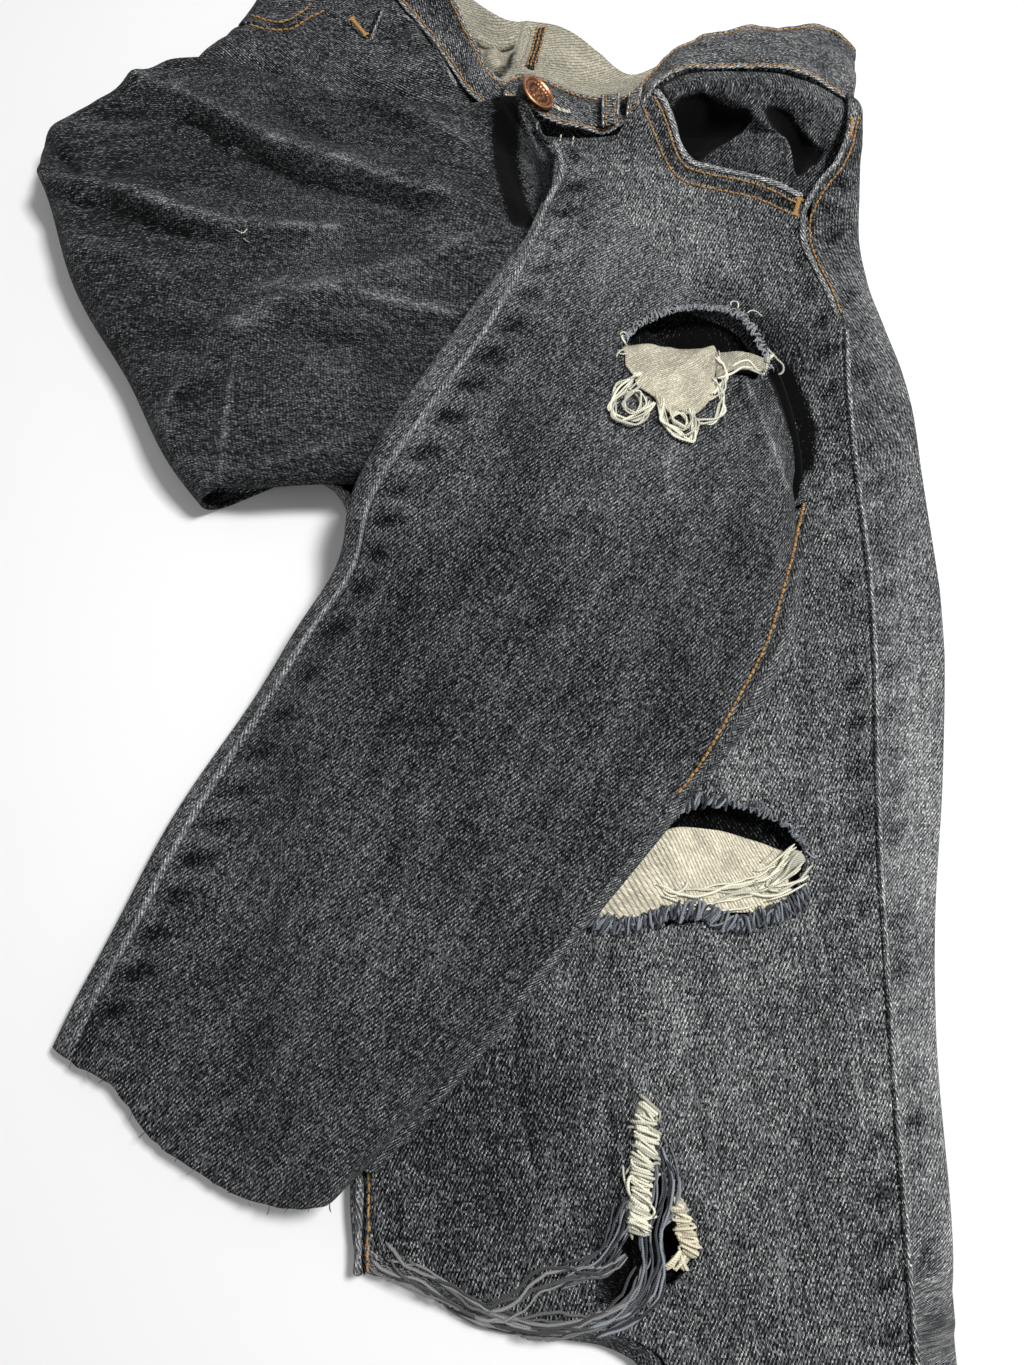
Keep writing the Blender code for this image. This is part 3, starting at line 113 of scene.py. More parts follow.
# Left leg. For each y: the fold on the inside, the inseam, the outseam and the fold on the outside,
# all as x, and the height of the flattened tube. At the knee rip the inner half of the leg is tucked
# under. Above the crotch only the two outer columns and the height count.
LEFT_LEG = table(
    "y fold_in inseam outseam fold_out height",
    (41.0, -14.0, 6.0, 15.4, 16.1, 1.9),
    (36.0, -14.0, 5.5, 15.0, 15.9, 2.0),
    (33.5, -14.0, 4.0, 14.3, 15.5, 1.9),
    (31.0, -14.0, 1.7, 12.9, 15.2, 1.7),
    (29.5, -14.0, 0.4, 12.8, 15.1, 1.6),
    (27.5, -14.0, -0.9, 13.2, 15.4, 1.45),
    (25.0, -12.0, -2.6, 14.0, 16.2, 1.3),
    (22.0, -8.5, -5.4, 13.9, 16.8, 1.15),
    (19.2, -7.3, -5.9, 14.0, 16.9, 1.05),
    (17.2, -7.0, -6.3, 14.1, 17.0, 1.0),
    (13.0, -6.7, -6.0, 14.2, 17.2, 0.95),
    (7.0, -6.4, -5.6, 13.8, 16.8, 0.9),
    (0.0, -6.1, -5.3, 13.7, 16.0, 0.88),
    (-5.0, -5.8, -5.0, 13.6, 15.6, 0.85),
    (-8.5, -5.7, -4.9, 13.6, 15.5, 0.82),
    (-10.2, -5.2, -4.4, 13.6, 15.4, 0.8),
    (-11.0, -4.2, -2.9, 13.6, 15.3, 0.8),
    (-11.7, -2.4, -0.7, 13.55, 15.2, 0.8),
    (-12.4, -0.4, 1.6, 13.5, 15.2, 0.8),
    (-13.0, 2.2, 4.1, 13.5, 15.1, 0.8),
    (-13.7, 4.2, 5.1, 13.5, 15.1, 0.8),
    (-16.0, 4.3, 4.9, 13.5, 15.1, 0.8),
    (-25.0, 2.6, 3.2, 13.4, 15.2, 0.76),
    (-40.0, 2.4, 3.0, 13.5, 15.4, 0.72),
    (-55.0, 3.1, 3.7, 13.7, 15.7, 0.7),
)
LEFT_ROWS = (
    29.5, 27.5, 25.4, 23.3, 21.2, 19.2, 18.6, 17.9, 17.2, 15.5, 13.5, 11.5, 9.5, 7.5, 5.5, 3.5, 1.6, -0.2,
    -2.0, -3.8, -5.5, -7.1, -8.6, -9.7, -10.5, -11.1, -11.6, -12.1, -12.5, -12.9, -13.3, -13.8, -15.0,
    -17.5, -21.0, -25.0, -30.0, -35.0, -40.0, -45.0, -50.0, -55.0)
CROTCH_Y = 19.2
TUBE_Y = 17.2                # below this the leg is a whole tube
SEAT_SEAM_TOP = (1.1, 36.4)
SEAT_SEAM_FOOT = (-8.27, 19.2)

# Front of the left hip: the edge along the fly and the edge of the pocket mouth, row by row.
LEFT_HIP_FRONT = table(
    "at fly_x fly_y mouth_x mouth_y",
    (0, 5.3, 35.4, 6.3, 36.2),
    (1, 4.6, 34.3, 6.9, 34.4),
    (2, 3.8, 33.2, 7.4, 32.8),
    (3, 2.9, 32.2, 8.8, 32.3),
    (4, 2.1, 31.3, 10.9, 31.9),
    (5, 1.2, 30.4, 12.45, 30.9),
    (6, 0.4, 29.5, 12.8, 29.5),
)

# Seam of the back waistband along the seat, from the left side seam to the right one.
SEAT_TOP = table(
    "x y",
    (15.4, 36.4), (11.0, 36.5), (8.0, 36.5), (5.4, 36.6), (3.3, 37.1), (1.07, 37.8), (-1.0, 38.4),
    (-3.2, 39.9), (-5.5, 43.0), (-7.4, 45.4), (-9.3, 47.6))

# Right thigh where it comes back over the hips, from its fold on the left to near the second fold:
# the inseam edge, the outseam edge, how far the row bows outwards, and the height of its top.
RIGHT_THIGH = table(
    "at low_x low_y top_x top_y bow height",
    (0, -11.7, 17.7, -19.5, 35.3, 1.7, 2.2),
    (1, -10.0, 17.6, -17.0, 37.1, 0.9, 2.35),
    (2, -8.0, 17.7, -13.7, 38.0, 0.3, 2.45),
    (3, -5.3, 17.7, -10.5, 37.2, 0.0, 2.5),
    (4, -2.6, 17.6, -7.4, 36.1, 0.0, 2.5),
    (5, 0.8, 17.5, -3.9, 35.7, 0.0, 2.45),
    (6, 3.6, 17.4, -1.7, 35.8, 0.0, 2.3),
    (7, 6.2, 17.3, 0.1, 35.6, 0.0, 2.1),
    (8, 8.4, 17.2, 1.3, 33.9, 0.0, 1.9),
)
THIGH_ROWS = (0, 0.5, 1, 1.6, 2.2, 2.8, 3.4, 4, 4.6, 5.2, 5.8, 6.2, 6.6, 7, 7.4, 8)
FIRST_FOLD_DEPTH = 1.05      # how far the first fold stands out beyond its top line
FIRST_FOLD_OUT = (-0.908, -0.418)
THIGH_EDGE = 0.45            # radius of the thigh's side folds
OPEN_ROWS = (5.8, 6.8)       # between these rows the side folds open out
EVEN_ROWS = (6.6, 7.4)       # between these rows the columns spread evenly
FOLD_TUCK = 2.6              # how far the first fold's turn lies inside it on the surface

# The deep valley beside the shin: how far the thigh dips, row by row.
VALLEY = table("at dip", (5.6, 0.0), (6.2, 0.25), (6.6, 1.0), (6.9, 1.0), (7.4, 0.0), (8.0, -0.45))
VALLEY_END = (28.6, 30.6)    # it fades out between these places, as y

# Right shin from the second fold to the hem: outseam and inseam, what of the back panel shows beyond
# each, how far the row bows towards the fold, how far towards the hem, and the height of the tube.
RIGHT_SHIN = table(
    "at out_x out_y in_x in_y over_out over_in bow hem height",
    (0, 1.9, 32.9, 10.9, 16.6, 0.35, 0.5, 1.0, 0.0, 0.55),
    (1, 1.4, 29.2, 11.0, 15.0, 0.5, 0.6, 0.55, 0.0, 0.8),
    (2, -0.9, 24.5, 10.3, 12.4, 0.9, 0.8, 0.2, 0.0, 1.0),
    (3, -3.9, 19.4, 9.0, 9.4, 1.0, 0.8, 0.0, 0.0, 1.0),
    (4, -7.4, 12.8, 6.6, 5.9, 0.95, 0.53, 0.0, 0.0, 1.0),
    (5, -10.0, 7.8, 3.6, 2.3, 0.9, 0.52, 0.0, 0.0, 0.95),
    (6, -12.4, 3.3, 0.9, -0.9, 0.9, 0.5, 0.0, 0.05, 0.9),
    (7, -14.2, -0.2, -1.7, -3.8, 0.9, 0.48, 0.0, 0.4, 0.85),
    (8, -15.5, -2.8, -4.8, -6.9, 0.9, 0.46, 0.0, 1.0, 0.8),
)
SHIN_ROWS = (
    0, 0.45, 0.9, 1.35, 1.8, 2.2, 2.6, 3.0, 3.5, 4.0, 4.5, 5.0, 5.5, 6.0, 6.5, 7.0, 7.35, 7.7, 8.0)
SHIN_BACK_FIRST = 0.9        # the back panel starts this far past the second fold

# The second fold bows out by this much, in centimetres, along its length.
SECOND_FOLD_BOW = table(
    "at bow",
    (0.0, 0.0), (0.25, 0.5), (0.5, 1.2), (0.68, 2.5), (0.85, 1.7), (1.0, 0.3))
SECOND_FOLD_OUT = (0.870, 0.494)
SECOND_FOLD_DEPTH = 0.6
SECOND_FOLD_LEAST = 0.46     # least height of the second fold

# The raw hem hangs below the straight line between its seams by this much.
HEM_BOW = table(
    "at bow",
    (0.0, 0.9), (0.1, 1.2), (0.2, 1.6), (0.35, 2.2), (0.5, 2.9), (0.65, 3.1), (0.8, 2.8),
    (0.9, 2.3), (1.0, 0.6))
HEM_OUT = (-0.33, -0.94)

# Front of the right hip: from the seam of the waistband round to the side seam, each row from where the
# thigh covers it to the pocket mouth. The facing's rows go on from the mouth to the side.
RIGHT_HIP_FRONT = table(
    "at low_x low_y top_x top_y bow",
    (0, -1.15, 35.3, -6.2, 43.1, 0.24),
    (1, -3.6, 35.0, -7.3, 42.5, 0.1),
    (2, -6.2, 35.1, -8.7, 41.6, 0.0),
    (3, -8.8, 36.0, -9.8, 41.0, 0.0),
    (4, -11.0, 37.0, -11.1, 40.65, 0.0),
    (5, -13.2, 37.6, -12.85, 40.8, 0.0),
    (6, -15.3, 37.9, -14.45, 39.05, 0.0),
)
RIGHT_HIP_FACING = table(
    "at low_x low_y top_x top_y bow",
    (0, -6.5, 43.25, -9.25, 47.2, 0.0),
    (1, -7.45, 42.65, -10.1, 46.4, 0.0),
    (2, -8.75, 41.75, -11.2, 44.6, 0.0),
    (3, -9.85, 41.15, -12.0, 42.9, 0.0),
    (4, -11.1, 40.8, -12.6, 41.6, 0.0),
    (5, -12.2, 40.85, -12.75, 41.2, 0.0),
)
TO_RIGHT_BAND = (0.84, 0.54)  # the rows bow out this way
RIGHT_HIP_RIM = 0.14         # height of the hip's edge at the side seam
RIGHT_HIP_SIDE = ((-9.3, 48.4), (-11.5, 44.2), (-12.95, 40.9), (-14.5, 39.0), (-15.6, 38.2))
RIGHT_HIP_HEIGHT = 1.3

# Back panel under the right hip, flat on the surface, from the seat seam to the first fold.
RIGHT_SEAT = table(
    "at low_x low_y top_x",
    (1, -8.4, 19.15, -1.0),
    (2, -8.5, 19.1, -3.2),
    (3, -8.6, 19.05, -5.5),
    (4, -8.75, 19.0, -7.4),
    (5, -8.9, 18.95, -9.3),
)
RIGHT_SEAT_SIDE = table(
    "at low_x low_y top_x top_y",
    (1, -9.05, 18.9, -11.9, 43.0),
    (2, -9.2, 18.85, -14.4, 39.2),
)

# Waistband parts: the seam along the panels and the top edge, in space.
LEFT_BAND = table(
    "at seam_x seam_y seam_z edge_x edge_y edge_z",
    (0, -0.35, 36.0, 2.45, -0.25, 36.8, 2.2),
    (1, 0.2, 35.6, 2.35, 0.3, 37.4, 1.95),
    (2, 1.3, 35.2, 2.0, 1.3, 37.7, 1.55),
    (3, 2.8, 34.9, 1.6, 2.6, 37.3, 1.25),
    (4, 3.9, 34.8, 1.5, 3.9, 36.9, 1.2),
    (5, 5.0, 35.1, 1.7, 5.2, 36.8, 1.4),
    (6, 5.9, 36.1, 2.05, 6.3, 38.1, 1.4),
    (7, 6.9, 37.0, 2.25, 7.3, 39.5, 1.2),
    (8, 8.5, 37.5, 2.3, 8.8, 40.3, 1.05),
    (9, 11.0, 37.5, 2.3, 11.3, 40.9, 0.95),
    (10, 13.2, 37.0, 2.2, 13.7, 41.0, 0.9),
    (11, 14.8, 36.4, 1.85, 15.1, 40.6, 0.85),
    (12, 15.7, 36.3, 1.1, 15.9, 40.0, 0.6),
)
RIGHT_BAND = table(
    "at seam_x seam_y seam_z edge_x edge_y edge_z",
    (0, 0.9, 35.9, 1.35, 1.3, 37.0, 1.15),
    (1, -0.6, 35.85, 1.55, -0.2, 37.4, 1.35),
    (2, -1.75, 36.6, 1.6, -1.1, 38.0, 1.5),
    (3, -2.6, 38.0, 1.6, -1.6, 39.3, 1.5),
    (4, -3.5, 39.5, 1.6, -2.2, 40.9, 1.4),
    (5, -5.1, 41.8, 1.5, -3.2, 43.4, 1.3),
    (6, -7.1, 44.5, 1.4, -4.6, 46.4, 1.15),
    (7, -9.0, 47.4, 1.2, -6.1, 49.8, 0.95),
)
PLACKET_HEAD = table(
    "x y", (-0.9, 35.2), (0.2, 35.1), (1.3, 34.9), (2.8, 34.6), (3.9, 34.45), (4.9, 34.5))
PLACKET_FOOT_Y = 31.4
BACK_BAND_EDGE = table(
    "x edge_x edge_y",
    (15.4, 15.5, 40.3),
    (11.0, 11.2, 40.8),
    (8.0, 8.4, 40.4),
    (5.4, 5.9, 39.6),
    (3.3, 4.1, 40.9),
    (1.07, 2.2, 41.9),
    (-1.0, -0.4, 42.4),
    (-3.2, -2.3, 43.8),
    (-5.5, -4.0, 46.6),
    (-7.4, -5.5, 48.5),
    (-9.3, -7.2, 50.4),
)

# Largest folds that lie in the cloth: a soft ridge (or trough) along a line.
LEFT_FOLDS = table(
    "x0 y0 x1 y1 width height",
    (4.9, 30.7, 8.0, 29.6, 0.7, 0.15),
    (8.0, 29.6, 9.9, 26.8, 0.8, 0.15),
    (0.5, -6.3, 1.8, -8.7, 0.8, -0.2),
    (12.9, 28.5, 15.2, 27.6, 0.6, 0.2),
    (-3.0, -2.0, -2.0, -9.0, 1.6, -0.15),
)
THIGH_FOLDS = table(
    "x0 y0 x1 y1 width height",
    (-20.0, 32.3, -15.3, 30.4, 1.0, 0.3),
    (-15.3, 30.4, -9.0, 28.6, 1.0, 0.35),
    (-12.2, 34.8, -4.8, 31.8, 0.9, 0.35),
    (-4.8, 31.8, -2.2, 30.4, 0.8, 0.3),
    (-7.5, 25.8, -4.2, 27.4, 0.9, 0.3),
    (-13.0, 20.5, -7.5, 21.5, 1.4, 0.25),
)
SHIN_FOLDS = table(
    "x0 y0 x1 y1 width height",
    (10.6, 20.2, 10.2, 13.6, 0.7, 0.2),
    (3.5, 17.0, -2.0, 6.0, 2.2, 0.2),
)


def folds(tab, x, y):
    """Height that the soft ridges of a table add at a point."""
    total = np.zeros_like(x)
    for x0, y0, x1, y1, width, height in zip(*(tab[key] for key in tab)):
        length = math.hypot(x1 - x0, y1 - y0)
        ux, uy = (x1 - x0) / length, (y1 - y0) / length
        run = (x - x0) * ux + (y - y0) * uy
        beyond = np.maximum(np.maximum(-run, run - length), 0)
        aside = np.abs((x - x0) * uy - (y - y0) * ux)
        total = total + height * np.exp(-(aside ** 2 + beyond ** 2) / width ** 2)
    return total


def stadium(inside, height):
    """Top of a flattened tube at a distance inside its fold."""
    radius = height / 2
    depth = np.clip(inside, 0, radius)
    return radius + np.sqrt(np.maximum(radius ** 2 - (radius - depth) ** 2, 0))


def left_height(x, y):
    """Height of the left leg's tube, lower near the fly than at the pocket."""
    loft = 1 - FLY_DROP * (1 - ease(0.5, 6.5, x)) * ease(20, 30, y)
    return follow(LEFT_LEG, "height", y, "y") * loft


def slant(name, y):
    """How much nearer a slanted fold is straight across it than along x."""
    slope = (follow(LEFT_LEG, name, y + 0.1, "y") - follow(LEFT_LEG, name, y - 0.1, "y")) / 0.2
    return 1 / np.sqrt(1 + slope ** 2)


def left_top(x, y):
    """Outer side of the left front panel."""
    height = left_height(x, y)
    inside = np.minimum((x - follow(LEFT_LEG, "fold_in", y, "y")) * slant("fold_in", y),
                        (follow(LEFT_LEG, "fold_out", y, "y") - x) * slant("fold_out", y))
    return stadium(inside, height) + (FULLNESS + folds(LEFT_FOLDS, x, y)) * ease(*EDGE_REACH, inside)


class Pile:
    """Highest cloth laid so far, on a square raster over the layout."""

    cell = 0.25
    low = np.array((-24.0, -58.0))
    size = (180, 440)

    def __init__(self):
        self.top = np.zeros(self.size)
        self.roof = self.top

    def lay(self, grid, rise=0.0):
        """Raise the raster to a sheet's flat cells, or to a rise above them."""
        points = dense(grid, 12).reshape(-1, 3)
        cells = np.round((points[:, :2] - self.low) / self.cell).astype(int)
        keep = ((cells >= 0) & (cells < self.size)).all(axis=1)
        np.maximum.at(self.top, tuple(cells[keep].T), points[keep, 2] + rise)
        self.roof = spread(self.top, 1)

    def read(self, raster, x, y):
        """Value between raster points."""
        u = np.clip((np.asarray(x) - self.low[0]) / self.cell, 0, self.size[0] - 1.001)
        v = np.clip((np.asarray(y) - self.low[1]) / self.cell, 0, self.size[1] - 1.001)
        i, j = u.astype(int), v.astype(int)
        a, b = u - i, v - j
        return ((raster[i, j] * (1 - b) + raster[i, j + 1] * b) * (1 - a)
                + (raster[i + 1, j] * (1 - b) + raster[i + 1, j + 1] * b) * a)

    def drape(self, slope, soft):
        """Cloth laid over the pile: it bridges steps no steeper than slope, rounded over soft cells."""
        raster = spread(self.top, soft + 1)
        drop = slope * self.cell
        for _ in range(60):
            raster = np.maximum(raster, spread(raster, 1) - drop)
        raster = blur(raster, soft)
        return lambda x, y: self.read(raster, x, y)


def dense(grid, fine):
    """Points on the flat cells of a grid, fine to a side."""
    t = np.arange(fine) / fine
    grid = np.concatenate([grid[:-1] * (1 - s) + grid[1:] * s for s in t] + [grid[-1:]])
    return np.concatenate([grid[:, :-1] * (1 - s) + grid[:, 1:] * s for s in t] + [grid[:, -1:]], axis=1)


def spread(raster, reach):
    """Largest value within reach cells."""
    for axis in (0, 1):
        base = raster
        for shift in range(1, reach + 1):
            raster = np.maximum(raster, np.maximum(np.roll(base, shift, axis), np.roll(base, -shift, axis)))
    return raster


def blur(raster, reach):
    """Mean over a square of reach cells to each side."""
    for axis in (0, 1):
        raster = sum(np.roll(raster, shift, axis) for shift in range(-reach, reach + 1)) / (2 * reach + 1)
    return raster


def lift_clear(grid, pile, gap):
    """Raise a sheet's points until its flat cells clear the pile by gap."""
    grid = grid.copy()
    for _ in range(30):
        worst = 0.0
        for i in range(grid.shape[0] - 1):
            for j in range(grid.shape[1] - 1):
                points = dense(grid[i:i + 2, j:j + 2], 6).reshape(-1, 3)
                under = pile.read(pile.roof, points[:, 0], points[:, 1])
                short = (under + gap * np.minimum(under / gap, 1) - points[:, 2]).max()
                if short > 0.002:
                    grid[i:i + 2, j:j + 2, 2] += short * 0.8
                    worst = max(worst, short)
        if worst == 0.0:
            break
    return grid


def between(first, second, parts):
    """Points from first to second, one row of points for each of the two curves' points."""
    t = np.linspace(0, 1, parts)[None, :, None]
    return first[:, None, :] * (1 - t) + second[:, None, :] * t


def stations(tab, name, at):
    """Plan or space curve whose coordinates are the columns that begin with a name."""
    columns = [name + axis for axis in ("_x", "_y", "_z") if name + axis in tab]
    return np.stack([follow(tab, column, at) for column in columns], axis=1)


def pair(tab, at, low, high):
    """Two curves of a table, as arrays of points."""
    return stations(tab, low, at), stations(tab, high, at)


def with_height(plan, height):
    """Plan grid with a height for each point."""
    return np.concatenate([plan, height[..., None]], axis=2)


def seat_seam_y(x):
    """Place of the seam between the back waistband and the seat."""
    return np.interp(x, SEAT_TOP["x"][::-1], SEAT_TOP["y"][::-1])


def left_front_grid(columns=12, hip_rows=7):
    """Front panel of the left leg, from the pocket to the hem."""
    fly, mouth = pair(LEFT_HIP_FRONT, np.linspace(0, 6, hip_rows), "fly", "mouth")
    y = np.array(LEFT_ROWS[1:])
    clear = INSEAM_CLEAR * (ease(16.4, TUBE_Y, y) + 0.7 * np.exp(-(y + 13.6) ** 2))
    low = np.concatenate([fly, np.stack([follow(LEFT_LEG, "inseam", y, "y") + clear, y], axis=1)])
    high = np.concatenate([mouth, np.stack([follow(LEFT_LEG, "outseam", y, "y"), y], axis=1)])
    gap = unit(high - low) * SEAM_GAP / 2
    plan = between(low + gap, high - gap, columns)
    return with_height(plan, left_top(plan[..., 0], plan[..., 1]))


def left_back_grid(arc=5, floor=6):
    """Back panel of the left leg: round the inner fold, along the surface and up round the outer fold."""
    ys = np.array((36.35, 35.0, 33.6, 32.2, 30.8) + LEFT_ROWS)
    rows = []
    for y in ys:
        fold_in, inseam, outseam = (
            float(follow(LEFT_LEG, name, y, "y")) for name in ("fold_in", "inseam", "outseam"))
        right = fold_arc("fold_out", outseam + SEAM_GAP / 2, -1, y, arc)[::-1]
        if y > CROTCH_Y - 0.1:
            t = min((y - SEAT_SEAM_FOOT[1]) / (SEAT_SEAM_TOP[1] - SEAT_SEAM_FOOT[1]), 1.0)
            seat = SEAT_SEAM_FOOT[0] * (1 - t) + SEAT_SEAM_TOP[0] * t
            left = np.stack([np.linspace(seat, seat + 1.7, arc), np.full(arc, y), np.zeros(arc)], axis=1)
        elif y > TUBE_Y + 0.1:
            radius = float(left_height(fold_in, y)) / 2
            turn = (1 - float(ease(TUBE_Y, CROTCH_Y, y))) / radius
            run = np.linspace(math.pi * radius + 0.2, 0, arc)
            left = np.stack([fold_in + radius - np.sin(turn * run) / turn, np.full(arc, y),
                             (1 - np.cos(turn * run)) / turn], axis=1)
        else:
            left = fold_arc("fold_in", inseam - SEAM_GAP / 2, 1, y, arc)
        x = np.linspace(left[-1, 0], right[0, 0], floor + 2)[1:-1]
        rows.append(np.concatenate([left, np.stack([x, np.full(floor, y), np.zeros(floor)], axis=1), right]))
    grid = np.array(rows)
    for i, share in ((0, 1.0), (1, 0.6), (2, 0.25)):
        flat = grid[i, :, 2] < 0.01
        grid[i, flat, 1] += share * (seat_seam_y(grid[i, :, 0]) - 0.1 - ys[0])[flat]
    return grid[::-1]


def fold_arc(name, seam, side, y, parts):
    """Round a leg's fold in the plane of one row, from the seam on top to the surface."""
    fold, nearer = float(follow(LEFT_LEG, name, y, "y")), float(slant(name, y))
    radius = float(left_height(fold + side * 0.5, y)) / 2
    arc = side_arc(abs(seam - fold) * nearer, radius, parts)
    x = fold + side * (arc[:, 0] + abs(seam - fold) * nearer) / nearer
    arc = np.stack([x, np.full(parts, y), arc[:, 1]], axis=1)
    arc[0] = seam, y, float(left_top(np.array(seam), np.array(y)))
    return arc


def thigh_width(at):
    """Distance across the folded-back thigh, as a column."""
    low, high = pair(RIGHT_THIGH, at, "low", "top")
    return np.linalg.norm(high - low, axis=1)[:, None]


def thigh_plan(at, share):
    """Plan of the folded-back thigh, at shares of the way from its inseam edge to its outseam edge."""
    low, high = pair(RIGHT_THIGH, at, "low", "top")
    plan = low[:, None, :] * (1 - share[..., None]) + high[:, None, :] * share[..., None]
    bow = follow(RIGHT_THIGH, "bow", at)[:, None] * 4 * share * (1 - share)
    return plan + bow[..., None] * np.array(FIRST_FOLD_OUT)


def thigh_level(at, plan, cover):
    """Top of the thigh without its edges and ridges."""
    level = follow(RIGHT_THIGH, "height", at)[:, None]
    dip = np.where(at > VALLEY["at"][0], follow(VALLEY, "dip", at), 0.0)[:, None]
    dip = dip * ease(*VALLEY_END, plan[..., 1])
    return np.maximum(level - dip, cover(plan[..., 0], plan[..., 1]) + WALL + 2 * LAYER_GAP)


def edge_spacing(width, columns, radius):
    """Shares across a row that crowd into a quarter circle at each end."""
    angles = np.array([0.0, 0.5, 1.0]) * math.pi / 2
    crowd = radius * (1 - np.cos(angles))
    middle = np.linspace(0, 1, columns - 6 + 2)[1:-1]
    inner = radius + (width - 2 * radius) * middle[None, :]
    left = np.repeat(crowd[None, :], len(width), axis=0)
    return np.concatenate([left, inner, width - left[:, ::-1]], axis=1) / width


def fold_rows(first, out, low):
    """Half turn under a sheet's first row, down to a lower level."""
    rows = []
    for angle in np.radians((180, 150, 120, 90, 60, 30)):
        row = first.copy()
        row[:, :2] += out * math.sin(angle)
        mix = (1 + math.cos(angle)) / 2
        row[:, 2] = first[:, 2] * mix + low * (1 - mix)
        rows.append(row)
    return rows


def right_back_grid(seat_edge, cover, pile, columns=15):
    """Back panel of the right leg: from the seat seam, round the first fold and back over the hips."""
    at = np.array(THIGH_ROWS, float)
    width = thigh_width(at)
    even = ease(*EVEN_ROWS, at)[:, None]
    share = edge_spacing(width, columns, THIGH_EDGE) * (1 - even) + np.linspace(0, 1, columns) * even
    plan = thigh_plan(at, share)
    inside = np.minimum(share, 1 - share) * width
    drop = (2 * THIGH_EDGE - stadium(inside, 2 * THIGH_EDGE)) * (1 - ease(*OPEN_ROWS, at)[:, None])
    ridges = folds(THIGH_FOLDS, plan[..., 0], plan[..., 1]) * ease(*EDGE_REACH, inside)
    top = with_height(plan, thigh_level(at, plan, cover) + ridges - drop)
    top = lift_clear(top, pile, WALL + LAYER_GAP)
    out = np.array(FIRST_FOLD_OUT)
    tuck = top[0].copy()
    tuck[:, :2] -= out * FOLD_TUCK
    tuck[:, 2] = 0.0
    share = share[0]
    rows = [spots_at(seat_edge, run_of(seat_edge), share * run_of(seat_edge)[-1])]
    for tab in (RIGHT_SEAT, RIGHT_SEAT_SIDE):
        high_y = tab["top_y"] if "top_y" in tab else seat_seam_y(tab["top_x"]) - 0.08
        rows += [np.array((low_x, low_y)) * (1 - share[:, None]) + np.array((x, y)) * share[:, None]
                 for low_x, low_y, x, y in zip(tab["low_x"], tab["low_y"], tab["top_x"], high_y)]
    rows = [np.concatenate([row, np.zeros((columns, 1))], axis=1) for row in rows]
    return np.concatenate([np.array(rows + [tuck]), fold_rows(top[0], out * FIRST_FOLD_DEPTH, 0.0), top])


def shin_plan(at, share):
    """Plan of the right shin at a share of the way from outseam to inseam, which may lie beyond 0 and 1."""
    out, inn = pair(RIGHT_SHIN, at, "out", "in")
    plan = out[:, None, :] * (1 - share[..., None]) + inn[:, None, :] * share[..., None]
    inside = np.clip(share, 0, 1)
    bow = follow(RIGHT_SHIN, "bow", at)[:, None] * follow(SECOND_FOLD_BOW, "bow", inside)
    hem = follow(RIGHT_SHIN, "hem", at)[:, None] * follow(HEM_BOW, "bow", inside)
    return plan + bow[..., None] * np.array(SECOND_FOLD_OUT) + hem[..., None] * np.array(HEM_OUT)


def shin_widths(at):
    """Width between the seams and the strips beyond them."""
    out, inn = pair(RIGHT_SHIN, at, "out", "in")
    width = np.linalg.norm(inn - out, axis=1)
    return width, follow(RIGHT_SHIN, "over_out", at), follow(RIGHT_SHIN, "over_in", at)


def shin_top(at, share, base):
    """Outer side of the right shin's upper half."""
    plan = shin_plan(at, share)
    width, over_out, over_in = shin_widths(at)
    inside = np.minimum(share * width[:, None] + over_out[:, None],
                        (1 - share) * width[:, None] + over_in[:, None])
    height = follow(RIGHT_SHIN, "height", at)[:, None]
    full = (FULLNESS + folds(SHIN_FOLDS, plan[..., 0], plan[..., 1])) * ease(*EDGE_REACH, inside)
    return with_height(plan, base(plan[..., 0], plan[..., 1]) + stadium(inside, height) + full)


def shin_front_grid(base, pile, columns=12):
    """Front panel of the right shin, with the second fold turned under at its start."""
    at = np.array(SHIN_ROWS, float)
    width = shin_widths(at)[0][:, None]
    gap = SEAM_GAP / 2 / width
    top = shin_top(at, gap + (1 - 2 * gap) * np.linspace(0, 1, columns)[None, :], base)
    out = np.array(SECOND_FOLD_OUT) * SECOND_FOLD_DEPTH
    reach = top[0, :, :2] + out * np.linspace(0, 1, 6)[:, None, None]
    low = pile.read(pile.roof, reach[..., 0], reach[..., 1]).max(axis=0) + LAYER_GAP
    low = np.maximum(low, np.convolve(np.pad(low, 1, "edge"), (0.33, 0.34, 0.33), "valid"))
    top[:3, :, 2] = np.maximum(top[:3, :, 2], low + SECOND_FOLD_LEAST)
    return np.concatenate([fold_rows(top[0], out, low), lift_clear(top, pile, LAYER_GAP + WALL)])


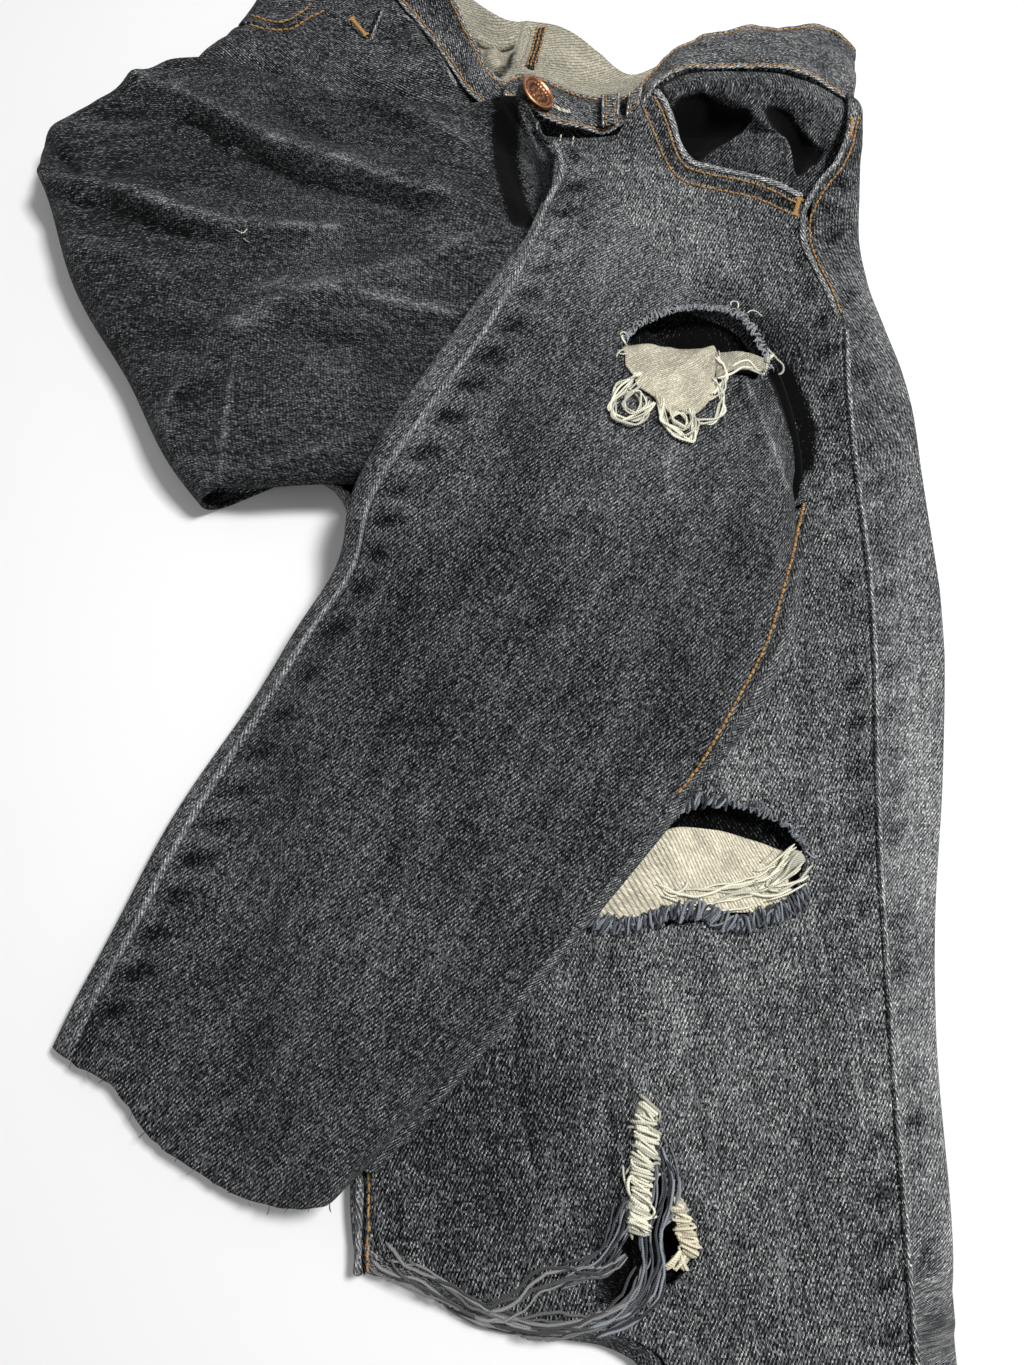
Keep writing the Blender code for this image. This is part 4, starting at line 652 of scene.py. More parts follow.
def shin_back_grid(base, pile, arc=5, floor=7):
    """Back panel of the right shin: round the outseam fold, underneath, and up to the inseam."""
    at = np.array(SHIN_ROWS, float)
    at = at[at >= SHIN_BACK_FIRST]
    width, over_out, over_in = shin_widths(at)
    height = follow(RIGHT_SHIN, "height", at)
    rows = []
    for i, place in enumerate(at):
        radius = height[i] / 2
        out_arc = side_arc(over_out[i], radius, arc)
        in_arc = side_arc(over_in[i], radius, arc)[::-1]
        in_arc[:, 0] = width[i] - in_arc[:, 0]
        middle = np.linspace(out_arc[-1, 0], in_arc[0, 0], floor + 2)[1:-1]
        profile = np.concatenate([out_arc, np.stack([middle, np.zeros(floor)], axis=1), in_arc])
        plan = shin_plan(np.array([place]), profile[None, :, 0] / width[i])[0]
        z = base(plan[:, 0], plan[:, 1]) + profile[:, 1]
        for end, edge in ((0, 0.0), (-1, 1.0)):
            z[end] = shin_top(np.array([place]), np.array([[edge]]), base)[0, 0, 2]
        rows.append(np.concatenate([plan, z[:, None]], axis=1))
    return lift_clear(np.array(rows)[::-1], pile, LAYER_GAP)


def side_arc(over, radius, parts):
    """Profile from a seam round the fold beyond it to underneath: distance past the seam, and height."""
    whole = over >= radius
    start = 0.0 if whole else math.asin((radius - over) / radius)
    angles = np.linspace(start, math.pi, parts - whole)
    arc = np.stack([-over + radius - radius * np.sin(angles), radius + radius * np.cos(angles)], axis=1)
    if whole:
        arc = np.concatenate([[[0.0, 2 * radius]], arc])
    arc[0, 0] = -SEAM_GAP / 2
    return arc


def band_grid(tab, at, parts=3, bulge=0.12):
    """Waistband part: a strip from its seam to its top edge, slightly rounded over."""
    grid = between(*pair(tab, at, "seam", "edge"), parts + 1)
    t = np.linspace(0, 1, parts + 1)
    grid[..., 2] += bulge * 4 * t * (1 - t)
    return grid


def back_band_grid(parts=3):
    """Back waistband, flat on the surface with its inner side up."""
    flat = np.zeros(len(SEAT_TOP["x"]))
    seam = np.stack([SEAT_TOP["x"], SEAT_TOP["y"] + SEAM_GAP / 2, flat], axis=1)
    edge = np.stack([BACK_BAND_EDGE["edge_x"], BACK_BAND_EDGE["edge_y"], flat], axis=1)
    return between(seam, edge, parts + 1)


def off_line(x, y, line):
    """Distance from points to an open line."""
    best = np.full(np.shape(x), 1e9)
    for (x0, y0), (x1, y1) in zip(line, line[1:]):
        length = math.hypot(x1 - x0, y1 - y0)
        ux, uy = (x1 - x0) / length, (y1 - y0) / length
        run = np.clip((x - x0) * ux + (y - y0) * uy, 0, length)
        best = np.minimum(best, np.hypot(x - x0 - ux * run, y - y0 - uy * run))
    return best


def right_hip_grid(tab, rows, columns=8, sunk=0.0):
    """Front of the right hip or its pocket facing, rounded down to the surface along the side."""
    at = np.linspace(tab["at"][0], tab["at"][-1], rows)
    share = np.linspace(0, 1, columns)[None, :]
    bow = follow(tab, "bow", at)[:, None] * 4 * share * (1 - share)
    plan = between(*pair(tab, at, "low", "top"), columns) + bow[..., None] * np.array(TO_RIGHT_BAND)
    inside = off_line(plan[..., 0], plan[..., 1], RIGHT_HIP_SIDE)
    depth = RIGHT_HIP_HEIGHT - np.clip(inside, 0, RIGHT_HIP_HEIGHT)
    height = RIGHT_HIP_RIM + np.sqrt(RIGHT_HIP_HEIGHT ** 2 - depth ** 2) - sunk * ease(0.4, 1.5, inside)
    return with_height(plan, height)[::-1]


def pocket_facing_grid(columns=11, rows=8):
    """Left pocket's facing and bag: a strip under the waistband that sinks into the pocket."""
    at = np.linspace(6.75, 11.0, columns)
    seam = stations(LEFT_BAND, "seam", at)
    foot = np.stack([np.linspace(7.5, 12.9, columns), np.linspace(33.6, 30.6, columns)], axis=1)
    plan = between(seam[:, :2] - (0.0, 0.2), foot, rows)
    sunk = 0.62 + 0.5 * np.exp(-((plan[..., 0] - 11.0) / 0.8) ** 2)
    mix = ease(0.14, 0.42, np.linspace(0, 1, rows))[None, :]
    return with_height(plan, (seam[:, 2:] - 0.1) * (1 - mix) + sunk * mix)[::-1]


def placket_grid(columns=7, rows=5):
    """Fly under the buttonhole end of the waistband."""
    x = np.linspace(PLACKET_HEAD["x"][0], PLACKET_HEAD["x"][-1], columns)
    head = np.stack([x, np.interp(x, PLACKET_HEAD["x"], PLACKET_HEAD["y"])], axis=1)
    foot = np.stack([x * 0.8 + 0.6, np.full(columns, PLACKET_FOOT_Y)], axis=1)
    plan = between(head, foot, rows)
    return with_height(plan, left_top(plan[..., 0], plan[..., 1]) - WALL - 1.3 * LAYER_GAP)[::-1]


SHELL = 0.115                # thickness of the denim shells
FINE = 0.21                  # spacing of the fine grid where cloth shows
COARSE = 0.4                 # and where it is mostly hidden
YARN = 0.024                 # radius of a loose yarn
STITCH = 0.042               # radius of a topstitch
RAW_NOISE = 0.05             # how unevenly a rip's edge is torn
PLAIN_BELOW = -15.0          # the leg's far end, where its grid is coarse
BAND_LAID = 0.2              # thickness that the back waistband adds to the pile
THIGH_DRAPE = (1.2, 2)       # steepest slope of the cloth over what lies below, and softness in raster cells
SHIN_DRAPE = (0.42, 4)
FACING_SHIFT = (1.0, 0.6, 0.25)  # how far the pocket facing's lowest rows go to the side
FACING_SINK = (0.3, 0.2, 0.1)    # and down

# Stage: the floor in metres, the lamps' names, places, widths and watts, and the photo's camera.
FLOOR_HALF, FLOOR_Z = 3.0, -0.0004
SKY = 0.26                   # strength of the light from all round
LAMPS = (("key", (0.54, 0.38, 1.10), 0.28, 16.5), ("fill", (-0.9, -0.7, 1.3), 1.4, 3.4))
FOCAL_PIXELS, PHOTO_HEIGHT = 1051, 1365
SENSOR = 36                  # longer side of the sensor, in millimetres
CAMERA_HEIGHT = 0.406        # in metres
CAMERA_TILT = 14             # degrees off straight down

# Rips as torn outlines, seen from above.
KNEE_RIP_RIGHT = (
    (4.3, 22.8), (4.5, 23.5), (5.4, 24.3), (6.5, 24.8), (7.5, 24.85), (8.7, 24.6), (9.6, 24.1),
    (10.4, 23.1), (10.3, 22.4), (9.6, 22.1), (8.4, 22.3), (7.0, 22.0), (5.6, 22.0), (4.7, 22.2))
THIGH_RIP_LEFT = (
    (2.9, 0.9), (3.6, 1.9), (4.8, 3.6), (6.4, 5.1), (7.5, 5.3), (8.9, 5.0), (10.1, 4.5), (11.0, 3.4),
    (10.7, 2.2), (9.6, 1.4), (8.0, 0.9), (6.0, 0.7), (4.2, 0.7))
KNEE_RIP_LEFT = (
    (4.8, -5.9), (5.1, -7.4), (5.4, -8.6), (5.9, -9.8), (6.1, -10.7), (5.4, -11.3), (4.3, -11.8),
    (3.3, -12.0), (2.7, -11.5), (3.2, -10.6), (3.9, -9.6), (4.4, -7.8))

# Creases and rubbed lines: points, half width, height and how much lighter the cloth is there. Lighter lines
# are rubbed wear, except in the pocket, where they are painted light; lines below zero are painted shade in
# troughs and on folds' shaded sides.
THIGH_MARKS = (
    (((-20.3, 32.2), (-18.5, 31.4), (-16.8, 30.9), (-15.5, 30.4), (-13.8, 29.7), (-11.9, 29.2), (-10.0, 28.9),
      (-7.4, 28.9)), 0.50, 0.17, 1.5),
    (((-16.4, 36.8), (-14.9, 36.2), (-13.4, 35.3), (-11.7, 34.2), (-10.3, 33.3), (-8.9, 32.7), (-7.0, 32.0),
      (-4.8, 31.2), (-2.6, 30.5)), 0.55, 0.18, 1.6),
    (((-11.3, 24.3), (-9.8, 25.5), (-8.6, 25.9), (-5.7, 26.8), (-4.2, 27.2), (-2.1, 28.5)), 0.8, 0.12, 0.8),
    (((-10.9, 25.9), (-9.4, 26.5)), 0.4, 0.05, 0.7),
    (((-7.4, 25.95), (-6.0, 25.85), (-4.7, 25.6), (-2.3, 25.0)), 0.45, 0.08, 1.2),
    (((-11.3, 23.1), (-11.4, 20.9), (-11.5, 19.0), (-11.5, 17.3)), 0.35, 0.08, 1.4),
    (((-13.8, 21.7), (-14.3, 20.6), (-13.8, 19.5)), 0.3, 0.08, 1.2),
    (((-9.7, 18.4), (-8.2, 18.8), (-7.0, 19.2), (-6.0, 19.5)), 0.4, 0.06, 1.0),
    (((-7.9, 35.9), (-5.7, 35.4), (-3.5, 34.6), (-1.8, 33.1)), 0.5, 0.12, 0.9),
    (((-18.6, 28.6), (-16.6, 28.0), (-14.6, 26.6)), 0.5, 0.08, 0.3),
    (((-16.2, 24.4), (-14.0, 24.0), (-11.5, 22.6)), 0.6, -0.07, -0.2),
    (((-17.8, 35.0), (-15.0, 35.1), (-13.3, 34.2), (-11.8, 33.2)), 0.6, -0.06, -0.9),
    (((-14.3, 34.2), (-11.6, 32.9), (-9.1, 31.6), (-6.8, 30.9), (-4.0, 30.0)), 0.45, -0.12, -1.1),
    (((-19.6, 31.0), (-17.0, 30.1), (-14.2, 29.0), (-12.2, 28.5)), 0.4, -0.09, -0.8),
    (((-20.2, 34.0), (-19.2, 32.9), (-18.4, 31.9)), 0.3, -0.12, -2.2),
    (((-8.4, 17.1), (-6.8, 17.2), (-5.6, 17.5)), 0.35, -0.05, -1.6),
    (((-10.4, 35.4), (-7.8, 33.6), (-4.4, 32.6)), 0.5, -0.08, -0.5),
    (((-9.4, 24.3), (-6.4, 23.9), (-3.6, 24.4)), 0.7, -0.06, -0.4),
)
LEFT_MARKS = (
    (((2.8, 33.8), (4.0, 31.3), (5.5, 29.3)), 0.35, 0.06, 1.6),
    (((3.7, 26.9), (5.8, 27.1), (8.0, 28.2)), 0.5, 0.07, 1.1),
    (((7.6, 29.1), (8.9, 27.6), (10.6, 28.3)), 0.45, 0.08, 1.3),
    (((4.7, 29.9), (7.7, 29.8)), 0.4, 0.07, 1.5),
    (((3.2, 32.8), (6.6, 32.4)), 0.4, 0.06, 0.9),
    (((8.8, 28.5), (9.9, 26.8), (10.4, 24.0)), 0.5, 0.07, 1.0),
    (((11.3, 29.8), (12.6, 27.4), (12.4, 24.8)), 0.5, -0.07, -0.6),
    (((3.1, 0.6), (3.6, -2.0), (4.0, -4.0), (4.8, -5.3)), 0.45, 0.14, 0.7),
    (((0.3, -2.5), (0.6, -6.4), (1.0, -8.3), (1.5, -10.2)), 0.45, -0.16, -1.6),
    (((3.6, -5.9), (3.6, -8.8), (3.45, -11.0)), 0.4, -0.12, -1.3),
    (((-4.3, -6.9), (-2.6, -7.8), (-1.8, -8.8)), 0.45, -0.1, -1.0),
    (((-4.2, -9.6), (-1.8, -10.4)), 0.4, -0.08, -1.2),
    (((2.2, -6.4), (2.65, -8.8), (2.7, -10.5)), 0.35, 0.1, 0.8),
    (((9.9, -8.6), (9.5, -11.0), (8.7, -12.5)), 0.7, -0.12, -1.0),
    (((11.1, 10.4), (11.0, 6.8), (10.8, 5.6)), 0.3, -0.10, -1.0),
    (((6.2, -7.0), (7.0, -9.2), (7.3, -11.5)), 0.5, 0.08, 0.5),
)
SHIN_MARKS = (
    (((9.3, 22.1), (9.8, 20.8), (10.1, 19.6), (10.6, 17.2)), 0.32, 0.13, 1.9),
    (((8.9, 21.9), (9.4, 20.7), (9.7, 19.4)), 0.3, -0.08, -1.0),
    (((10.55, 18.4), (10.3, 17.8), (10.9, 16.9)), 0.22, 0.06, 0.8),
    (((6.2, 19.2), (6.1, 18.2), (5.9, 17.2)), 0.28, 0.07, 1.3),
    (((8.1, 20.6), (7.6, 20.0), (7.0, 19.4)), 0.25, 0.05, 0.8),
    (((10.3, 17.0), (10.1, 13.6)), 0.4, 0.08, 0.7),
    (((2.8, 30.6), (5.4, 27.6), (8.4, 25.4)), 0.5, 0.04, 0.4),
    (((-1.0, 20.0), (-3.0, 12.0), (-6.0, 5.0)), 1.2, -0.05, -0.1),
    (((8.6, 12.0), (7.0, 9.0), (4.6, 6.0)), 0.7, 0.05, 0.1),
)
POCKET_MARKS = (
    (((9.5, 36.3), (10.45, 36.05), (11.25, 35.4), (11.9, 34.6), (12.2, 33.2)), 0.40, 0.75, 1.0),
    (((7.1, 36.2), (8.3, 36.4), (9.5, 36.35)), 0.25, 0.2, 0.7),
    (((8.6, 34.0), (9.4, 34.9), (10.2, 35.5)), 0.35, 0.25, 0.5),
    (((13.2, 35.1), (13.6, 34.4), (13.3, 33.6)), 0.25, 0.3, 0.8),
    (((12.3, 36.5), (13.4, 35.9), (14.6, 35.8)), 0.22, 0.25, 1.0),
    (((14.2, 34.7), (14.5, 35.2)), 0.2, 0.15, 0.7),
    (((8.3, 34.4), (8.45, 33.8)), 0.10, 0.12, 1.3),
    (((10.64, 33.1), (10.85, 33.4), (10.99, 33.0)), 0.12, 0.15, 1.3),
    (((7.7, 36.8), (9.8, 37.0), (11.6, 36.7)), 0.3, 0.1, 0.5),
)
# Soft patches where the cloth is lighter or darker: place, radius along x and y, and amount. Most are
# washed-out cloth; the dark ones in, under and beside the rips and beside the raised left waistband are
# painted shade, and the pocket's light ones are painted light.
# The first patch, under the knee rip, and the two small dark ones at the left knee rip are painted shade.
LEFT_PATCHES = (
    (7.4, 23.6, 3.4, 2.0, -0.65), (15.6, 18.0, 1.5, 8.0, -0.10), (6.0, 30.0, 4.0, 3.5, 0.09),
    (9.0, -2.0, 3.2, 9.0, 0.05), (-1.5, -7.0, 3.4, 5.0, -0.13), (15.6, 6.0, 1.2, 22.0, 0.13),
    (8.0, 12.0, 5.0, 6.0, 0.03), (6.0, -12.5, 2.0, 1.6, -0.05), (11.5, 26.0, 2.2, 4.0, -0.07),
    (9.0, -30.0, 4.0, 12.0, 0.04), (3.3, -9.8, 0.5, 1.4, -0.22), (3.6, -11.3, 0.7, 0.6, -0.25),
    (13.2, -5.5, 0.9, 6.5, 0.13), (14.9, -8.5, 1.0, 3.0, 0.08), (5.9, -4.0, 0.9, 5.0, 0.07),
    (8.5, 7.2, 2.0, 2.4, 0.08), (15.2, 5.0, 1.2, 3.0, 0.07), (11.8, 26.6, 1.8, 2.0, 0.08))
SHIN_PATCHES = (
    (4.0, 27.5, 4.5, 4.0, 0.14), (-4.2, 10.6, 3.0, 3.4, -0.045), (-2.2, 19.0, 2.0, 4.5, 0.06),
    (4.4, 19.4, 2.0, 2.4, 0.06), (5.6, 15.6, 2.6, 3.4, 0.05), (9.8, 19.1, 1.3, 2.6, 0.05),
    (-8.0, 1.5, 5.0, 4.0, 0.03), (5.5, 18.0, 3.0, 4.0, 0.03), (-12.5, -2.0, 3.0, 3.0, -0.02))
# The pocket's patches are painted light on its lit folds.
POCKET_PATCHES = ((10.4, 34.5, 0.8, 0.9, 0.14), (13.6, 34.3, 0.4, 0.6, 0.08), (11.7, 34.3, 0.5, 1.0, 0.05))
THIGH_PATCHES = (
    (-6.5, 21.5, 3.5, 2.5, 0.05), (-8.0, 27.0, 4.5, 2.0, 0.04), (-17.0, 29.0, 3.0, 5.0, -0.02),
    (-2.0, 34.0, 2.0, 2.0, 0.06), (-10.0, 36.5, 3.0, 1.0, 0.05), (1.1, 33.2, 0.8, 2.2, 0.12),
    (-15.4, 30.1, 2.2, 3.8, -0.035), (-5.2, 25.9, 3.4, 1.6, 0.03), (-5.4, 31.4, 3.2, 1.0, -0.04),
    (-1.6, 29.0, 2.4, 1.3, 0.08), (-5.0, 35.2, 3.2, 1.0, -0.06), (-14.8, 32.3, 4.2, 1.3, -0.06),
    (-5.1, 22.7, 1.9, 0.9, -0.05), (-13.1, 21.1, 1.0, 1.5, -0.05), (-6.2, 17.6, 1.2, 0.5, -0.2))
# Painted shade beside the raised left waistband.
BACK_PATCHES = ((2.2, 37.6, 1.0, 1.0, -0.2),)
# Painted shade in place of the shadow inside the rips, on cloth that shows only through them.
UNDER_KNEE_RIP = ((7.4, 23.6, 3.4, 2.2, -0.65),)  # dark, because it shows only through a rip
BEHIND_KNEE_RIP = ((7.4, 23.6, 3.2, 1.9, -0.65),)
BEHIND_LEFT_RIPS = ((7.2, 4.0, 4.0, 2.0, -0.65), (4.8, -9.0, 1.5, 3.5, -0.65))

# Outlines of what lies in the pocket's deep shade.
POCKET_BLACK = (
    ((6.95, 35.9), (7.4, 36.25), (8.3, 36.45), (9.5, 36.15), (10.4, 35.95), (10.7, 35.55), (10.4, 35.25),
     (9.4, 34.75), (8.4, 33.85), (7.6, 34.1), (7.25, 35.2)),
    ((11.0, 35.9), (11.6, 35.95), (12.3, 35.7), (13.0, 35.1), (14.1, 34.5), (13.7, 33.9), (12.9, 33.3),
     (12.3, 33.2), (12.1, 34.3), (11.6, 35.1)))

# How the laid cloth sits a little off its pattern: place, reach along x and y, and shift along both.
SETTLE = (
    (-16.3, 23.0, 3.5, 3.9, 0.68, 0.2), (-7.6, 14.0, 2.4, 2.4, 0.95, 0.2),
    (-9.5, 10.4, 2.0, 2.5, 0.25, 0.0), (-12.6, 4.6, 2.5, 4.0, -0.27, 0.0),
    (-21.2, 32.8, 1.6, 1.8, -0.65, 0.0), (-19.3, 36.8, 2.6, 1.7, 0.2, -0.4),
    (-14.2, 39.3, 1.9, 1.6, 0.0, 0.6), (3.9, 39.7, 2.4, 1.7, -0.1, -1.05),
    (-0.4, 41.3, 1.3, 1.0, 0.0, -0.7), (-12.8, -6.5, 1.3, 1.3, -0.1, -0.4),
    (-16.0, -4.2, 1.2, 1.2, 0.0, -0.5), (-0.2, -12.6, 2.5, 1.2, 0.0, -0.35),
    (-5.3, -10.3, 1.2, 1.2, -0.15, -0.55), (15.8, 0.0, 1.6, 9.0, -0.35, 0.0),
    (15.4, 37.0, 1.5, 2.0, -0.35, 0.0), (16.0, 25.0, 1.5, 3.0, -0.2, 0.0), (9.4, 24.5, 2.6, 1.3, 0.12, 0.8))


def noise(x, y, size, seed=0):
    """Smooth noise from -1 to 1 on a square lattice."""
    u, v = x / size + 13.7 * seed, y / size - 7.3 * seed
    i, j = np.floor(u), np.floor(v)
    a, b = u - i, v - j
    a, b = a * a * (3 - 2 * a), b * b * (3 - 2 * b)

    def corner(p, q):
        return np.modf(np.abs(np.sin(p * 127.1 + q * 311.7 + seed * 74.7) * 43758.5453))[0] * 2 - 1

    return ((corner(i, j) * (1 - a) + corner(i + 1, j) * a) * (1 - b)
            + (corner(i, j + 1) * (1 - a) + corner(i + 1, j + 1) * a) * b)


def wave(run, size, seed=0, row=0.0):
    """Smooth noise from -1 to 1 along a run."""
    return noise(run, run * 0 + row, size, seed)


def refine(grid, step):
    """Finer grid through the same points, smooth and with no overshoot, coarser where no detail is."""
    for turn in range(2):
        size = np.linalg.norm(np.diff(grid, axis=0), axis=2)
        h = np.maximum(size.mean(axis=1), 1e-6)[:, None, None]
        tangent = tangents(np.diff(grid, axis=0) / h, h)
        rows = []
        for i in range(len(h)):
            plain = turn == 0 and grid[i, :, 1].max() < PLAIN_BELOW
            parts = max(1, math.ceil(size[i].max() / (step * 2.5 if plain else step)))
            rows += [hermite(grid[i], grid[i + 1], h[i] * tangent[i], h[i] * tangent[i + 1], t)
                     for t in np.arange(parts) / parts]
        grid = np.array(rows + [grid[-1]]).transpose(1, 0, 2)
    return grid


def normals(grid):
    """Outward direction at each point of a grid."""
    return unit(np.cross(np.gradient(grid, axis=0), np.gradient(grid, axis=1)))


def cloth_map(grid, up, warp):
    """Place of each point in the cloth, in centimetres: across the warp and along it.

    The warp runs along the rows, along the columns, or in a direction given in the plan.
    """
    along = [np.zeros(grid.shape[:2]), np.zeros(grid.shape[:2])]
    along[0][1:] = np.cumsum(np.linalg.norm(np.diff(grid, axis=0), axis=2), axis=0)
    along[1][:, 1:] = np.cumsum(np.linalg.norm(np.diff(grid, axis=1), axis=2), axis=1)
    if isinstance(warp, tuple):
        grain, across = np.array(warp), np.array((warp[1], -warp[0]))
        middle = grid.shape[1] // 2
        turn = np.sign(((grid[:, -1, :2] - grid[:, 0, :2]) @ across).mean())
        offset = (along[1] - along[1][:, middle:middle + 1]) * turn
        return np.stack([offset + grid[:, middle:middle + 1, :2] @ across, grid[..., :2] @ grain], axis=2)
    if warp == "rows":
        return np.stack([-up * along[1], up * along[0]], axis=2)
    return np.stack([up * along[0], up * along[1]], axis=2)


def inside(x, y, outline):
    """Whether points lie inside a closed outline."""
    odd = np.zeros(np.shape(x), bool)
    for (x0, y0), (x1, y1) in zip(outline, outline[1:] + outline[:1]):
        crosses = (y0 > y) != (y1 > y)
        with np.errstate(all="ignore"):
            odd ^= crosses & (x < (x1 - x0) * (y - y0) / (y1 - y0) + x0)
    return odd


def torn(outline, seed, step=0.12):
    """Outline with a ragged edge, as a tuple of close points."""
    points = []
    for (x0, y0), (x1, y1) in zip(outline, outline[1:] + outline[:1]):
        parts = max(1, round(math.hypot(x1 - x0, y1 - y0) / step))
        points += [(x0 + (x1 - x0) * k / parts, y0 + (y1 - y0) * k / parts) for k in range(parts)]
    points = np.array(points)
    soft = sum(np.roll(points, k, axis=0) for k in range(-3, 4)) / 7
    run = np.arange(len(soft), dtype=float)
    step_out = np.stack([wave(run, 1.3, seed), wave(run, 1.3, seed + 1, 5)], axis=1)
    return tuple(map(tuple, soft + RAW_NOISE * step_out))


def metres(points):
    """From the layout's centimetres to the row frame, with the cloth settled as it lies in the photo."""
    points = np.array(points, float)
    x, y = points[..., 0].copy(), points[..., 1].copy()
    for px, py, rx, ry, dx, dy in SETTLE:
        near = np.exp(-((x - px) / rx) ** 2 - ((y - py) / ry) ** 2)
        points[..., 0] += dx * near
        points[..., 1] += dy * near
    return (points - (*LAYOUT_CENTRE, 0.0)) * CM


def mesh_piece(name, points, faces, material, values, cloth=None):
    """Piece from centimetre points and faces."""
    mesh = bpy.data.meshes.new(name)
    mesh.from_pydata(metres(points).tolist(), [], faces)
    return dressed(name, mesh, material, values, cloth)


def dressed(name, mesh, material, values, cloth=None):
    """Object of a mesh, with named values for each point and its place in the cloth at each corner."""
    for key, numbers in values.items():
        layer = mesh.attributes.new(key, 'FLOAT', 'POINT')
        layer.data.foreach_set("value", np.asarray(numbers, float).ravel())
    if cloth is not None:
        corner = np.empty(len(mesh.loops), dtype=np.int32)
        mesh.loops.foreach_get("vertex_index", corner)
        mesh.uv_layers.new(name="cloth").data.foreach_set("uv", cloth[corner].ravel())
    mesh.polygons.foreach_set("use_smooth", np.full(len(mesh.polygons), True))
    mesh.update()
    obj = bpy.data.objects.new(name, mesh)
    bpy.context.scene.collection.objects.link(obj)
    mesh.materials.append(material)
    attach(obj, "root")
    return obj


def off_marks(marks, x, y, scale=1.0):
    """Height and lightness that a list of creases adds at points."""
    lift, light = np.zeros(x.shape), np.zeros(x.shape)
    for k, (points, width, height, wear_and_shading) in enumerate(marks):
        off = off_line(x, y, points) + 0.25 * width * noise(x, y, 1.4, k)
        uneven = 0.75 + 0.35 * noise(x, y, 1.1, k + 3)
        wide, mild, sharp = (np.exp(-(off / (share * width)) ** 2) for share in (1.0, 0.6, 0.2))
        lift += scale * height * uneven * wide
        light += wear_and_shading * uneven * (0.35 * mild + 0.65 * sharp)
    return lift, light


def hollow(line, width, x, y):
    """Share from 0 to 1 of a narrow fold with a flat bottom."""
    return np.exp(-(off_line(x, y, line) / width) ** 4)


def off_patches(patches, x, y):
    """How much lighter or darker the patches make the cloth: washed-out cloth, and also painted shade and
    painted light.
    """
    return sum(amount * np.exp(-((x - px) / rx) ** 2 - ((y - py) / ry) ** 2)
               for px, py, rx, ry, amount in patches)


def beside(x, y, line):
    """Run along a line and distance to its left, for each point."""
    best, run_at, side_at = np.full(x.shape, 1e9), np.zeros(x.shape), np.zeros(x.shape)
    total = 0.0
    for (x0, y0), (x1, y1) in zip(line, line[1:]):
        length = math.hypot(x1 - x0, y1 - y0)
        ux, uy = (x1 - x0) / length, (y1 - y0) / length
        run = np.clip((x - x0) * ux + (y - y0) * uy, 0, length)
        gap = np.hypot(x - x0 - ux * run, y - y0 - uy * run)
        near = gap < best
        best = np.where(near, gap, best)
        run_at = np.where(near, total + run, run_at)
        side_at = np.where(near, np.sign((y - y0) * ux - (x - x0) * uy) * gap, side_at)
        total += length
    return run_at, side_at


def puckers(x, y, line, pitch, middle, width, depth, seed):
    """Dents at uneven steps beside a seam: their depth, and how much darker they are painted as their shade.
    """
    run, side = beside(x, y, line)
    phase = run / pitch + 0.5 * side / pitch + 0.35 * wave(run, 2.7 * pitch, seed)
    size = 0.6 + 0.4 * wave(np.floor(phase), 1.0, seed + 1)
    dent = (0.5 - 0.5 * np.cos(2 * math.pi * phase)) ** 2 * size * np.exp(-((side - middle) / width) ** 2)
    return -depth * dent, -dent


